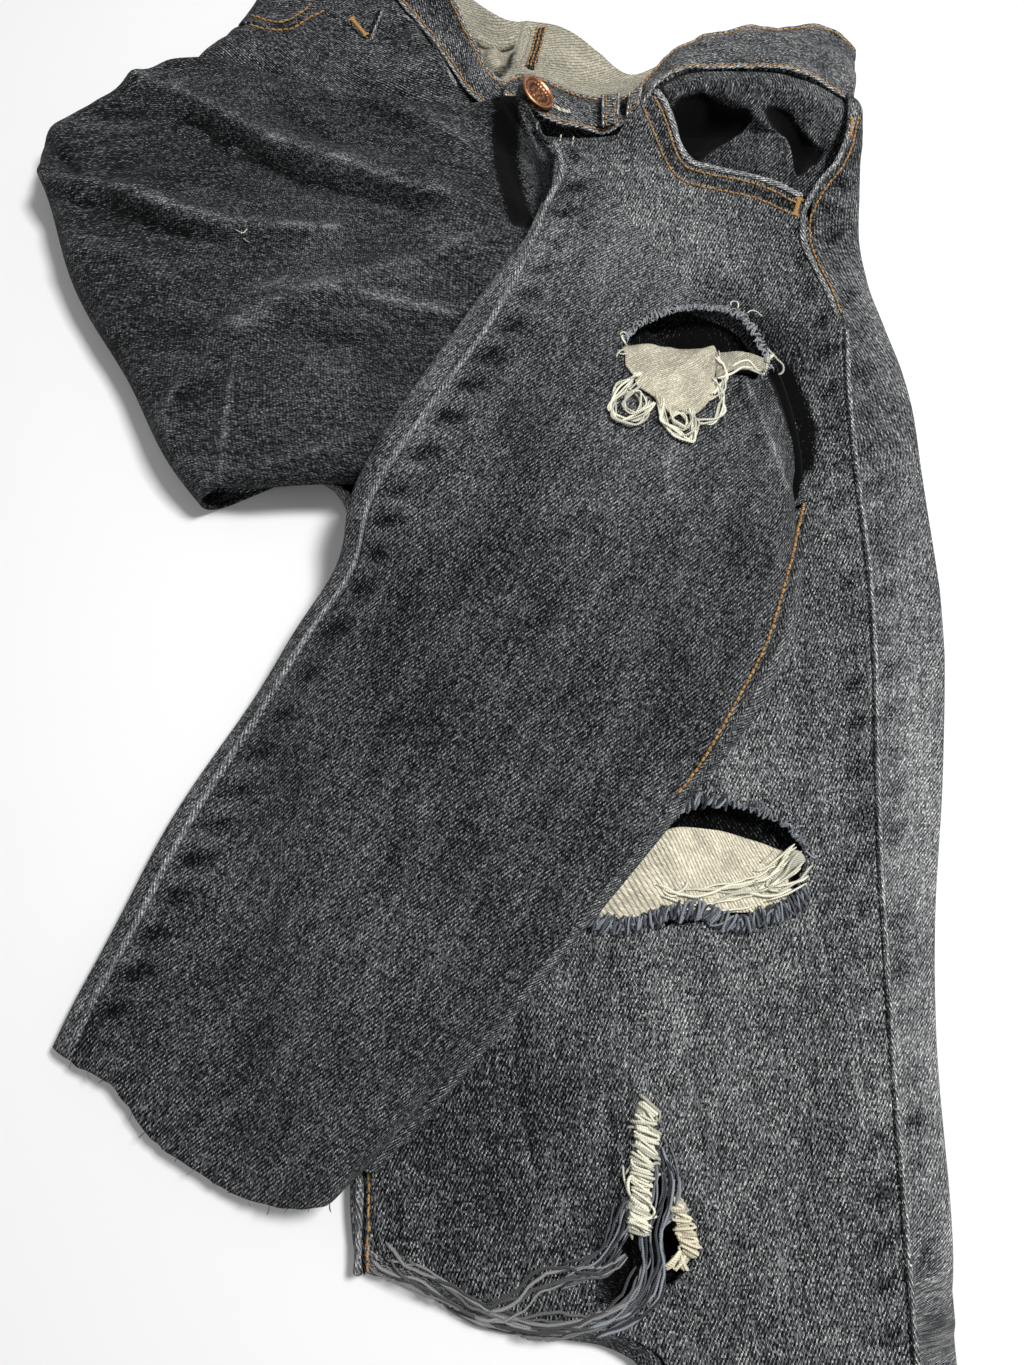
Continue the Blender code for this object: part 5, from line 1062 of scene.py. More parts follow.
class Cloth:
    """One panel: its fine grid, the directions out of it, and its piece."""

    all = {}

    def __init__(self, name, grid, material, tone_and_shading, step, shape, up=1, warp="rows", wall=SHELL,
                 rips=(), held="laid", rests_on=("left_back_panel",), node=None, ragged=0.0):
        grid = refine(grid, step)
        out = normals(grid)
        cloth = cloth_map(grid, up, warp)
        x, y = grid[..., 0], grid[..., 1]
        # Besides rubbed wear, the second value carries painted shade in dents, troughs and crumple dips, and
        # painted light on the pocket's and back waistband's ridges.
        lift, wear_and_shading, more = shape(x, y)
        seed = len(Cloth.all)
        lift = lift + 0.018 * noise(x, y, 2.1, seed) + 0.008 * noise(x, y, 0.8, seed + 1)
        # Besides the cloth's own tone and washed-out patches, this value carries painted shade in rips,
        # hollows and folds, and painted light in the pocket.
        shade = tone_and_shading + more + 0.02 * noise(x, y, 3.0, seed + 2)
        shade = shade + 0.012 * noise(cloth[..., 0], cloth[..., 1] * 0.2, 0.8, seed)
        if out[..., 2].max() < 0.15:
            out = -out
        upward = ease(0.15, 0.7, out[..., 2])
        if ragged:
            grid[-1, :, :2] += ragged * noise(x[-1], y[-1], 0.45, seed)[:, None] * np.array(HEM_OUT)
        self.grid = grid + out * (lift * upward)[..., None]
        self.out, self.wall = normals(self.grid), wall
        rows, cols = x.shape
        index = np.arange(rows * cols).reshape(rows, cols)
        faces = np.stack([index[:-1, :-1], index[1:, :-1], index[1:, 1:], index[:-1, 1:]], axis=-1)
        faces = faces.reshape(-1, 4)
        points = self.grid.reshape(-1, 3)
        up_side = self.out.reshape(-1, 3)[:, 2] > 0.2
        for rip in rips:
            line = np.array(rip)
            near = off_line(points[:, 0], points[:, 1], rip + rip[:1]) < 0.55 * step
            for k in np.flatnonzero(up_side & near):
                points[k, :2] = line[np.argmin(np.hypot(*(line - points[k, :2]).T))]
            middle = points[faces].mean(axis=1)
            cut = inside(middle[:, 0], middle[:, 1], rip) & up_side[faces].all(axis=1)
            faces = faces[~cut]
        used, corners = np.unique(faces, return_inverse=True)
        piece = mesh_piece(name + "_cloth", points[used], corners.reshape(faces.shape).tolist(), material,
                           {"wear_and_shading": (wear_and_shading * upward).ravel()[used], "tone_and_shading": shade.ravel()[used]},
                           cloth.reshape(-1, 2)[used])
        solid = piece.modifiers.new("wall", 'SOLIDIFY')
        solid.thickness = wall * CM
        solid.offset = -1.0
        solid.use_quality_normals = True
        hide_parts(node or name)
        Cloth.all[name] = self

    @staticmethod
    def measure(points, faces):
        """Area of the faces in square metres."""
        a, b, c, d = (points[faces[:, k]] for k in range(4))
        return float(np.linalg.norm(np.cross(c - a, d - b), axis=1).sum() / 2) * CM * CM

    def row(self, share, inset=0.0):
        """Line along the rows at a share of the width, moved inwards by an inset."""
        cols = self.grid.shape[1]
        place = share * (cols - 1)
        i = min(int(place), cols - 2)
        line = self.grid[:, i] * (1 - place + i) + self.grid[:, i + 1] * (place - i)
        if inset:
            line = line + unit(self.grid[:, cols // 2] - line) * inset
        return line, self.out[:, i]

    def row_across(self, share):
        """Line along the columns at a share of the rows."""
        i = round(share * (len(self.grid) - 1))
        return self.grid[i], self.out[i]


class Ground:
    """Top of several panels, to lay lines on, and of the inner side of others."""

    def __init__(self, *names, inner=()):
        points, outs = [], []
        for name in names + inner:
            cloth = Cloth.all[name]
            shown = -1.0 if name in inner else 1.0
            points.append((cloth.grid + cloth.out * cloth.wall * min(shown, 0.0)).reshape(-1, 3))
            outs.append(cloth.out.reshape(-1, 3) * shown)
        self.points, self.out = np.concatenate(points), np.concatenate(outs)
        keep = self.out[:, 2] > 0.15
        self.points, self.out = self.points[keep], self.out[keep]

    def drop(self, line, lift=0.0):
        """Points of a plan line on the highest cloth there, and the directions out of it."""
        found, outs = [], []
        for x, y in line:
            gap = np.hypot(self.points[:, 0] - x, self.points[:, 1] - y)
            near = np.argpartition(gap, 16)[:16]
            high = self.points[near, 2].max()
            near = [k for k in near if self.points[k, 2] > high - 0.25]
            weight = 1 / (gap[near] + 0.02) ** 2
            z = (self.points[near, 2] * weight).sum() / weight.sum()
            out = unit((self.out[near] * weight[:, None]).sum(axis=0))
            found.append(np.array((x, y, z)) + out * lift)
            outs.append(out)
        return np.array(found), np.array(outs)


def even(line, step):
    """Points at even steps along a line of any dimension."""
    line = np.asarray(line, float)
    run = run_of(line)
    return spots_at(line, run, np.linspace(0, run[-1], max(2, round(run[-1] / step) + 1)))


def curve(points):
    """Smooth plan line through a few points."""
    grid = np.array(points, float)[:, None, :] + np.zeros((1, 2, 1))
    grid = np.concatenate([grid, np.zeros(grid.shape[:2] + (3 - grid.shape[2],))], axis=2)
    grid[:, 1, 0] += 1e-3
    return refine(grid, 0.15)[:, 0, :len(points[0])]


def tubes(name, lines, radii, material, tones=None, sides=4, taper=0.45, flat=1.0, rubbed=0.0):
    """Many thin strands as one mesh: each line swept with its radius, thinner at its ends. Rubbing makes the
    top of a strand lighter, as wear, and its underside darker, as painted shade.
    """
    points, faces, shade, wear_and_shading, cloth = [], [], [], [], []
    for k, (line, radius) in enumerate(zip(lines, radii)):
        line = np.asarray(line, float)
        ahead = unit(np.gradient(line, axis=0))
        side = unit(np.cross(ahead, (0.03, 0.05, 1.0)))
        top = np.cross(side, ahead)
        count = len(line)
        thin = np.ones(count)
        thin[0] = thin[-1] = taper
        ring = [len(points) + j * count for j in range(sides)]
        for angle in np.arange(sides) / sides * 2 * math.pi:
            offset = side * math.cos(angle) + top * math.sin(angle) * flat
            points += list(line + offset * (radius * thin)[:, None])
            wear_and_shading += [rubbed * math.sin(angle)] * count
            cloth += [(angle * np.mean(radius) + 0.37 * k, run) for run in run_of(line)]
        for a, b in zip(ring, ring[1:] + ring[:1]):
            faces += [(a + i, b + i, b + i + 1, a + i + 1) for i in range(count - 1)]
        faces += [tuple(ring[::-1]), tuple(r + count - 1 for r in ring)]
        shade += [0.5 if tones is None else tones[k]] * (sides * count)
    return mesh_piece(name, np.array(points), faces, material, {"tone_and_shading": shade, "wear_and_shading": wear_and_shading}, np.array(cloth))


def stitches(name, lines, material, length=0.3, gap=0.09, radius=STITCH):
    """Topstitches along lines that lie on cloth, each with its ends sunk in."""
    strands = []
    lift = radius * np.array((-0.8, 0.55, 0.8, 0.55, -0.8))[:, None]
    for line, out in lines:
        run = run_of(line)
        at, k = 0.05, 0
        while at + length < run[-1]:
            places = at + length * np.array((0.0, 0.18, 0.5, 0.82, 1.0))
            spot, up = spots_at(line, run, places), spots_at(out, run, places)
            side = unit(np.cross(up, np.gradient(spot, axis=0)))
            strands.append(spot + up * lift + side * 0.012 * math.sin(k * 2.4))
            at += length + gap
            k += 1
    tones = 0.5 + 0.3 * np.sin(np.arange(len(strands)) * 1.7)
    return tubes(name, strands, [radius] * len(strands), material, tones, sides=5, taper=0.6)


WARP_STEP = 0.0325           # between warp yarns
WEFT_STEP = 0.066            # between weft yarns
TWIST_STEP = 0.085           # of a loose yarn's twist
PAPER = 0.67                 # how light a tone of 1 comes out
COOL, WARM = (0.86, 0.97, 1.10, 1.0), (1.02, 1.0, 0.95, 1.0)


class Graph:
    """Short way to write a material's nodes."""

    def __init__(self, name, roughness, metallic=0.0, specular=0.25, sheen=0.0):
        self.material = bpy.data.materials.new(name)
        self.material.use_nodes = True
        self.tree = self.material.node_tree
        self.shader = self.tree.nodes["Principled BSDF"]
        self.shader.inputs["Roughness"].default_value = roughness
        self.shader.inputs["Metallic"].default_value = metallic
        self.shader.inputs["Specular IOR Level"].default_value = specular
        self.shader.inputs["Sheen Weight"].default_value = sheen
        self.shader.inputs["Sheen Roughness"].default_value = 0.6

    def node(self, kind, *values, **settings):
        made = self.tree.nodes.new("ShaderNode" + kind)
        for key, value in settings.items():
            setattr(made, key, value)
        for socket, value in zip(made.inputs, values):
            if isinstance(value, bpy.types.NodeSocket):
                self.tree.links.new(value, socket)
            elif value is not None:
                socket.default_value = value
        return made.outputs

    def calc(self, operation, *values):
        return self.node("Math", *values, operation=operation)[0]

    def total(self, start, *terms):
        for value, factor, middle in terms:
            off = self.calc('SUBTRACT', value, middle)
            start = self.calc('ADD', start, self.scaled(off, factor))
        return start

    def mix(self, factor, first, second, blend='MIX'):
        return self.node("Mix", factor, None, None, None, None, None, first, second,
                         data_type='RGBA', blend_type=blend)[2]

    def value(self, name):
        return self.node("Attribute", attribute_name=name)["Fac"]

    def place(self):
        """Across and along the cloth."""
        return self.node("SeparateXYZ", self.node("UVMap", uv_map="cloth")[0])[:2]

    def noise(self, x, y, detail=1.0):
        vector = self.node("CombineXYZ", x, y, 0.0)[0]
        return self.node("TexNoise", vector, None, 1.0, detail, noise_dimensions='2D')[0]

    def scaled(self, socket, factor):
        return self.calc('MULTIPLY', socket, factor)

    def finish(self, colour, height=None, depth=0.0002, strength=1.0):
        self.tree.links.new(colour, self.shader.inputs["Base Color"])
        if height is not None:
            self.tree.links.new(self.bump(height, depth, strength), self.shader.inputs["Normal"])
        return self.material

    def bump(self, height, depth, strength):
        made = self.tree.nodes.new("ShaderNodeBump")
        made.inputs["Strength"].default_value = strength
        made.inputs["Distance"].default_value = depth
        self.tree.links.new(height, made.inputs["Height"])
        return made.outputs[0]

    def paint(self, tone, cool=COOL, warm=WARM, gain=PAPER):
        """Colour of a tone from 0 to 1, as the eye sees it, bluer when dark and warmer when light."""
        tone = self.calc('MAXIMUM', tone, 0.025)
        bright = self.scaled(self.calc('POWER', tone, 2.2), gain)
        grey = self.node("CombineColor", bright, bright, bright)[0]
        return self.mix(1.0, grey, self.mix(self.calc('MINIMUM', tone, 1.0), cool, warm), 'MULTIPLY')


def denim(name, contrast=1.0, reverse=False):
    """Twill: dark warp yarns with every fourth crossing showing the light weft, slubs, rubbed creases, and the
    painted shade and light that the cloth's tone and wear values also carry.
    """
    g = Graph(name, 0.9, specular=0.06, sheen=0.04)
    u, v = g.place()
    wobble = g.noise(g.scaled(u, 0.8), g.scaled(v, 0.8))
    u = g.total(u, (wobble, 0.10, 0.5))
    warp = g.calc('FLOOR', g.scaled(u, 1 / WARP_STEP))
    weft = g.calc('FLOOR', g.scaled(v, 1 / WEFT_STEP))
    turn = g.calc('FRACT', g.scaled(g.calc('SUBTRACT', warp, weft), 0.25))
    shows = g.calc('LESS_THAN', turn, 0.25)
    cell = g.node("TexWhiteNoise", g.node("CombineXYZ", warp, weft, 0.0)[0], noise_dimensions='2D')[0]
    spark = g.calc('POWER', cell, 2.2)
    streak = g.noise(g.scaled(u, 7.0), g.scaled(v, 0.5), 2.0)
    band = g.noise(g.scaled(u, 0.7), g.scaled(v, 6.0), 1.0)
    cloud = g.noise(g.scaled(u, 0.7), g.scaled(v, 0.28), 3.0)
    tone_and_shading, wear_and_shading = g.value("tone_and_shading"), g.value("wear_and_shading")
    grain = g.noise(g.scaled(u, 10.0), g.scaled(v, 5.0), 2.0)
    if reverse:
        weave = g.total(0.0, (shows, -0.5, 0.25), (spark, 0.46, 0.31), (streak, 0.25, 0.5),
                        (grain, 0.16, 0.5))
    else:
        weave = g.total(0.0, (shows, 0.38, 0.25), (spark, 0.64, 0.31), (streak, 0.34, 0.5),
                        (band, 0.18, 0.5), (grain, 0.42, 0.5))
    rough = g.scaled(weave, g.total(0.66 * contrast, (tone_and_shading, 0.35 * contrast, 0.0)))
    tone = g.total(g.calc('ADD', tone_and_shading, rough), (wear_and_shading, 0.13, 0.0), (cloud, 0.24, 0.5))
    if reverse:
        colour = g.paint(tone, (1.02, 0.98, 0.85, 1.0), (1.07, 0.99, 0.75, 1.0))
    else:
        colour = g.paint(tone)
    across = g.calc('SUBTRACT', g.scaled(u, 1 / WARP_STEP), g.scaled(v, 1 / WEFT_STEP))
    ribs = g.calc('SINE', g.scaled(across, math.pi / 2))
    height = g.total(g.scaled(ribs, 0.5), (cell, 0.8, 0.5), (streak, 1.0, 0.5))
    return g.finish(colour, height, 0.00016, 0.8)


def yarn(name, cool, warm, low, high, gain=PAPER):
    """Twisted yarn, darker in its grooves as painted shade, each strand a little lighter or darker."""
    g = Graph(name, 0.9, specular=0.15, sheen=0.2)
    around, along = g.place()
    turns = g.calc('ADD', g.scaled(along, 2 * math.pi / TWIST_STEP), g.scaled(around, 1 / YARN))
    twist = g.calc('SINE', turns)
    fuzz = g.noise(g.scaled(around, 30.0), g.scaled(along, 9.0), 2.0)
    tone = g.total(g.node("MapRange", g.value("tone_and_shading"), 0.0, 1.0, low, high)[0], (twist, 0.06, 0.0),
                   (fuzz, 0.16, 0.5))
    return g.finish(g.paint(tone, cool, warm, gain), twist, 0.0001, 0.7)


def copper_material():
    """Worn plate: brown in the hollows, bright on the rubbed rim."""
    g = Graph("copper_plate", 0.38, metallic=1.0, specular=0.5)
    spot = g.node("TexNoise", g.node("TexCoord")["Object"], None, 900.0, 3.0)[0]
    factor = g.calc('MULTIPLY', g.value("wear_and_shading"), g.total(0.8, (spot, 1.2, 0.5)))
    colour = g.mix(factor, (0.075, 0.030, 0.016, 1.0), (0.78, 0.36, 0.19, 1.0))
    return g.finish(colour, spot, 0.00005, 0.4)


MATERIALS = {
    "denim": denim("twill_dark"), "washed": denim("twill_washed", 1.2),
    "reverse": denim("twill_reverse", 0.62, True),
    "gold": yarn("thread_gold", (1.45, 0.72, 0.16, 1.0), (1.38, 0.74, 0.20, 1.0), 0.56, 0.80),
    "cream": yarn("yarn_cream", (1.0, 0.97, 0.80, 1.0), (1.02, 0.99, 0.80, 1.0), 0.66, 1.0, 0.86),
    "ecru": yarn("yarn_ecru", (1.02, 0.93, 0.68, 1.0), (1.05, 0.96, 0.72, 1.0), 0.60, 0.97, 0.86),
    "blue": yarn("yarn_blue", (0.84, 0.96, 1.18, 1.0), (0.94, 1.0, 1.08, 1.0), 0.22, 0.72),
    "grey": yarn("yarn_grey", (0.96, 0.99, 1.02, 1.0), (1.0, 1.0, 0.96, 1.0), 0.30, 0.66),
    "copper": copper_material()}


FLAP_GRAIN = (0.474, 0.880)  # up the flap, in the plan

# Side seams from the waist down, hollows beside the flap, painted dark as their shade, and the pocket's
# stitched strip, in the plan.
RIGHT_OUTSEAM = (
    (1.8, 33.0), (2.1, 31.6), (1.5, 29.9), (1.0, 28.3), (-0.7, 24.3), (-3.3, 20.1), (-5.2, 17.1),
    (-15.3, -2.2))
LEFT_OUTSEAM = (
    (15.3, 35.5), (12.9, 31.0), (13.2, 27.5), (14.0, 25.0), (13.9, 22.0), (14.2, 13.3), (13.7, 1.6),
    (13.5, -13.7), (13.4, -30.0), (13.7, -55.0))
FLAP_HOLLOW = ((10.6, 22.8), (11.1, 21.9), (11.5, 20.8), (11.65, 19.6), (11.45, 18.2), (11.2, 17.3))
UNDER_FLAP = ((11.2, 22.9), (11.8, 21.8), (12.1, 20.6), (11.9, 19.0))
POCKET_STRIP = (
    (6.0, 35.7), (6.4, 34.6), (6.8, 33.3), (7.25, 32.4), (8.2, 32.0), (9.5, 31.7), (10.8, 31.3),
    (12.1, 30.7))
KNEE_RIP_RIGHT_TORN = torn(KNEE_RIP_RIGHT, 3)
THIGH_RIP_LEFT_TORN = torn(THIGH_RIP_LEFT, 5)
KNEE_RIP_LEFT_TORN = torn(KNEE_RIP_LEFT, 7)


def left_shape(x, y):
    """Front of the left leg: creases, puckered outseam, stitched pocket strip, shade under the flap."""
    lift, wear_and_shading = off_marks(LEFT_MARKS, x, y, 1.5)
    for middle, depth, seed in ((-0.75, 0.102, 1), (0.7, 0.085, 2)):
        dent, dark = puckers(x, y, LEFT_OUTSEAM, 1.6, middle, 0.45, depth, seed)
        lift, wear_and_shading = lift + dent, wear_and_shading + 2.3 * dark
    strip = np.exp(-(off_line(x, y, POCKET_STRIP) / 0.24) ** 4)
    shade = off_patches(LEFT_PATCHES, x, y) - 0.15 * strip - 0.6 * hollow(UNDER_FLAP, 0.4, x, y)
    return lift - 0.03 * strip, wear_and_shading, shade


def left_back_shape(x, y):
    """Back of the left leg, crumpled at the hip and darker there, its crumples lighter on top as wear and
    darker in their dips as painted shade, with painted shade behind the rips.
    """
    lift, wear_and_shading, more = left_shape(x, y)
    hip = ease(26.0, 33.0, y)
    crumple = 0.13 * noise(x * 0.6, y, 1.1, 5) * hip
    return lift + crumple, wear_and_shading + 6 * crumple, more - 0.12 * hip + off_patches(BEHIND_LEFT_RIPS, x, y)


# Folds of the back waistband; their lighter lines are painted light on the ridges.
BACK_MARKS = (
    (((-1.6, 41.3), (-0.9, 41.3), (0.0, 41.6)), 0.25, 0.30, 0.5),
    (((-0.85, 40.5), (-0.9, 39.8), (-0.6, 39.2)), 0.25, 0.30, 0.9),
    (((0.7, 41.9), (0.5, 41.0), (0.25, 40.0)), 0.22, 0.20, 0.8),
    (((3.0, 40.6), (4.6, 39.6), (6.2, 38.2)), 0.7, 0.10, 0.3),
)
BACK_FOLDS = (
    ((-1.65, 41.0), (-1.1, 40.85), (-0.5, 41.0), (0.0, 41.2)), ((0.1, 40.5), (-0.15, 39.65), (-0.6, 39.05)))
BACK_SEAM = ((1.4, 41.85), (1.15, 40.7), (0.85, 39.5))
# Valley beside the shin, painted dark as its shade.
VALLEY_LINE = ((-0.5, 36.2), (-0.25, 35.0), (-0.3, 33.9), (-0.2, 32.5), (0.1, 31.2), (0.4, 30.0))


def back_band_shape(x, y):
    """Inner side of the back waistband with its deep folds: painted shade in the folds and growing towards its
    foot beside the left waistband, and painted light on its ridges.
    """
    lift, wear_and_shading = off_marks(BACK_MARKS, x, y)
    shade = -0.10 * ease(0.0, 1.0, 0.5 + 0.3 * (37.9 - y)) + off_patches(BACK_PATCHES, x, y)
    for fold in BACK_FOLDS:
        shade = shade - 0.42 * hollow(fold, 0.16, x, y)
    return np.maximum(lift + 0.04 + 0.04 * noise(x, y, 1.2, 2), 0.0), wear_and_shading, shade


def thigh_shape(x, y):
    """Folded-back thigh: creases, fine streaks and the valley beside the shin, with painted shade in the
    valley and under the knee rip.
    """
    lift, wear_and_shading = off_marks(THIGH_MARKS, x, y, 3.0)
    streaks = 0.05 * noise(x * 0.5 - y * 0.25, y + 0.45 * x, 0.8, 9)
    deep = hollow(VALLEY_LINE, 0.5, x, y)
    dark = off_patches(THIGH_PATCHES + UNDER_KNEE_RIP, x, y) - 0.75 * deep
    return lift + streaks - 0.14 * deep, 2.0 * wear_and_shading + 3.0 * np.abs(streaks), dark


def shin_shape(x, y):
    """Front of the right shin: creases, puckered outseam, lighter rim and the flap's hollow, painted dark as
    its shade.
    """
    lift, wear_and_shading = off_marks(SHIN_MARKS, x, y, 1.3)
    dent, dark = puckers(x, y, RIGHT_OUTSEAM, 1.55, 0.85, 0.5, 0.11, 4)
    deep = hollow(FLAP_HOLLOW, 0.13 + 0.34 * np.exp(-((y - 20.8) / 1.7) ** 2), x, y)
    rim = 0.075 * np.exp(-(off_line(x, y, RIGHT_OUTSEAM) / 1.1) ** 2)
    return lift + dent - 0.32 * deep, wear_and_shading + 3.7 * dark, off_patches(SHIN_PATCHES, x, y) + rim - 0.9 * deep


def shin_back_shape(x, y):
    """Back of the right shin where it shows beside the outseam and through the rip, painted dark there as the
    shade inside the rip.
    """
    dent, dark = puckers(x, y, RIGHT_OUTSEAM, 2.1, -0.5, 0.4, 0.05, 6)
    return dent, 0.6 * dark + 0.35, off_patches(SHIN_PATCHES + BEHIND_KNEE_RIP, x, y)


def crumpled(size, height):
    """Shape of plain cloth with soft uneven crumples, lighter on their tops as wear and darker in their dips
    as painted shade.
    """
    def shape(x, y):
        lift = height * noise(x, y, size, 3) + 0.5 * height * noise(x, y, size / 2.3, 4)
        return lift, lift / height * 0.6, np.zeros(x.shape)
    return shape


def pocket_shape(x, y):
    """Left pocket's bag: crumples round two deep hollows painted dark as their shade, with painted light on
    its ridges and on the strip under the waistband.
    """
    lift, wear_and_shading = off_marks(POCKET_MARKS, x, y)
    rim = off_line(x, y, BAND_SEAM)
    dark = off_patches(POCKET_PATCHES, x, y)
    for outline in POCKET_BLACK:
        deep = ease(0.0, 0.14, off_line(x, y, outline + outline[:1])) * inside(x, y, outline)
        lift, wear_and_shading, dark = lift - 0.2 * deep, wear_and_shading * (1 - deep), dark - 0.6 * deep
    return lift, 1.1 * wear_and_shading, dark + 0.10 * np.exp(-(rim / 0.8) ** 2)


def make_panels():
    """Lay the panels in the order in which they lie on each other."""
    pile = Pile()
    back_band = back_band_grid()
    pile.lay(back_band, BAND_LAID)
    left_back = left_back_grid()
    pile.lay(left_back, WALL)
    left_front = left_front_grid()
    pile.lay(left_front)
    placket = placket_grid()
    pile.lay(placket)
    right_hip = right_hip_grid(RIGHT_HIP_FRONT, 11)
    pile.lay(right_hip)
    right_band = band_grid(RIGHT_BAND, np.linspace(0, 7, 13))[::-1]
    left_band = band_grid(LEFT_BAND, np.linspace(0, 12, 21))
    pile.lay(left_band)
    pile.lay(right_band)
    rest = pile.drape(*THIGH_DRAPE)
    seat_edge = left_back[left_back[:, 0, 1] > CROTCH_Y - 0.1][:, 0, :2] - (0.05, 0.0)
    right_back = right_back_grid(seat_edge, rest, pile)
    pile.lay(right_back[:len(right_back) - len(THIGH_ROWS) - 5], WALL)
    pile.lay(right_back[-len(THIGH_ROWS):])
    cover = pile.drape(*SHIN_DRAPE)

    def base(x, y):
        under = cover(x, y)
        return under + LAYER_GAP * ease(0.0, 0.15, under)

    shin_back = shin_back_grid(base, pile)
    shin_front = shin_front_grid(base, pile)
    facing = pocket_facing_grid()
    share = ease(-0.05, 0.1, np.linspace(0, 1, facing.shape[1]))
    facing[:3, :, 0] += np.array(FACING_SHIFT)[:, None] * share
    facing[:3, :, 2] -= np.array(FACING_SINK)[:, None] * share
    right_facing = right_hip_grid(RIGHT_HIP_FACING, 8, columns=5, sunk=0.1)
    dark, washed, reverse = MATERIALS["denim"], MATERIALS["washed"], MATERIALS["reverse"]
    floor = ("floor",)
    Cloth("waistband_back", back_band, reverse, 0.69, 0.12, wall=0.19, shape=back_band_shape, rests_on=floor)
    Cloth("left_back_panel", left_back, dark, 0.40, COARSE, shape=left_back_shape, rests_on=floor)
    Cloth("left_front_panel", left_front, washed, 0.31, FINE, up=-1, shape=left_shape, warp=(0.0, 1.0),
          rips=(THIGH_RIP_LEFT_TORN, KNEE_RIP_LEFT_TORN))
    Cloth("left_pocket_facing", facing, dark, 0.20, 0.13, up=-1, warp="cols", shape=pocket_shape)
    Cloth("fly_placket", placket, dark, 0.27, 0.2, up=-1, warp="cols", shape=crumpled(1.2, 0.03))
    Cloth("right_front_hip", right_hip, washed, 0.175, 0.2, shape=crumpled(1.3, 0.10), rests_on=floor)
    Cloth("right_pocket_facing", right_facing, dark, 0.22, 0.2, shape=crumpled(1.5, 0.04), rests_on=floor)
    Cloth("waistband_right", right_band, washed, 0.24, 0.15, wall=0.2, shape=crumpled(1.1, 0.09))
    Cloth("waistband_left", left_band, washed, 0.32, 0.15, wall=0.2, shape=crumpled(1.0, 0.11))
    Cloth("right_back_panel", right_back, dark, 0.168, 0.22, up=-1, shape=thigh_shape, held="folded")
    Cloth("right_back_shin", shin_back, dark, 0.27, 0.27, shape=shin_back_shape)
    Cloth("right_front_shin", shin_front, dark, 0.235, FINE, up=-1, shape=shin_shape,
          warp=FLAP_GRAIN, rips=(KNEE_RIP_RIGHT_TORN,), held="folded", ragged=0.05)


# Lines that are stitched or rolled, in the plan.
BAND_SEAM = (
    (5.7, 36.3), (6.4, 36.9), (7.4, 37.2), (8.7, 37.4), (10.0, 37.4), (11.4, 37.3), (12.7, 36.9),
    (13.8, 36.4), (14.7, 35.8))
POCKET_EDGE = (
    (6.3, 36.4), (6.7, 35.7), (7.0, 34.7), (7.3, 33.5), (7.8, 32.8), (8.8, 32.5), (10.1, 32.2),
    (11.3, 31.8), (12.5, 31.2))
POCKET_ROWS = (
    ((6.2, 36.1), (6.7, 34.8), (7.05, 33.4), (7.55, 32.55), (8.6, 32.2), (9.8, 31.95), (11.1, 31.5),
     (12.2, 30.9)),
    ((5.7, 35.6), (6.1, 34.4), (6.5, 33.2), (6.9, 32.3), (7.6, 31.8), (9.2, 31.4), (10.4, 31.1),
     (11.9, 30.4)))
SIDE_TOP = (
    (15.25, 35.6), (14.85, 34.6), (14.5, 33.8), (14.0, 32.8), (13.3, 31.95), (12.8, 31.1), (12.45, 30.2),
    (12.4, 29.3), (12.75, 28.2), (13.2, 27.1), (13.7, 25.6))
SIDE_ROW = (
    (15.35, 35.3), (15.1, 34.6), (14.8, 33.7), (14.25, 32.6), (13.6, 31.75), (13.1, 30.9), (12.75, 30.0),
    (12.7, 29.2), (13.0, 28.1), (13.45, 27.0), (13.9, 25.6))
FLAP_INSEAM = ((11.65, 16.9), (11.3, 15.8), (10.8, 14.1), (9.9, 11.3), (8.6, 8.9), (7.0, 6.3), (6.2, 5.3))
LEFT_INSEAM = ((-5.05, -6.9), (-4.95, -8.6), (-4.8, -10.5))
CRESCENT = (
    (4.6, -10.6), (4.0, -11.7), (2.3, -12.4), (0.3, -12.3), (-1.4, -11.9), (-2.8, -11.2), (-3.9, -10.7),
    (-4.6, -10.0))
CRESCENT_LOOP = ((3.9, -10.3), (3.1, -10.9), (2.0, -10.9), (0.9, -11.1), (0.2, -11.6), (-0.8, -11.9))
HIP_ROWS = (
    ((-12.0, 40.6), (-11.2, 40.3), (-10.1, 40.3), (-9.2, 40.9), (-8.4, 41.4)),
    ((-12.0, 41.2), (-10.6, 40.8), (-9.6, 41.4), (-9.1, 42.0)))
HIP_WELT = ((-5.0, 41.2), (-3.9, 40.2), (-3.1, 38.7), (-2.5, 37.2))
FLY_ROWS = (((2.2, 34.9), (2.05, 34.2)), ((2.75, 34.7), (2.55, 33.8)))
BUTTONHOLE = ((1.8, 35.95), (2.2, 35.82), (2.65, 35.72))


def rim(outline, first, last, count):
    """Points on an outline between two bearings from its middle, in degrees, and the ways out of it there."""
    line = np.array(outline)
    middle = line.mean(axis=0)
    bearing = np.degrees(np.arctan2(*(line - middle).T[::-1]))
    found = []
    for want in np.linspace(first, last, count):
        off = np.abs((bearing - want + 180) % 360 - 180)
        found.append(line[np.argmin(off)])
    found = np.array(found)
    return found, np.arctan2(*(found - middle).T[::-1])


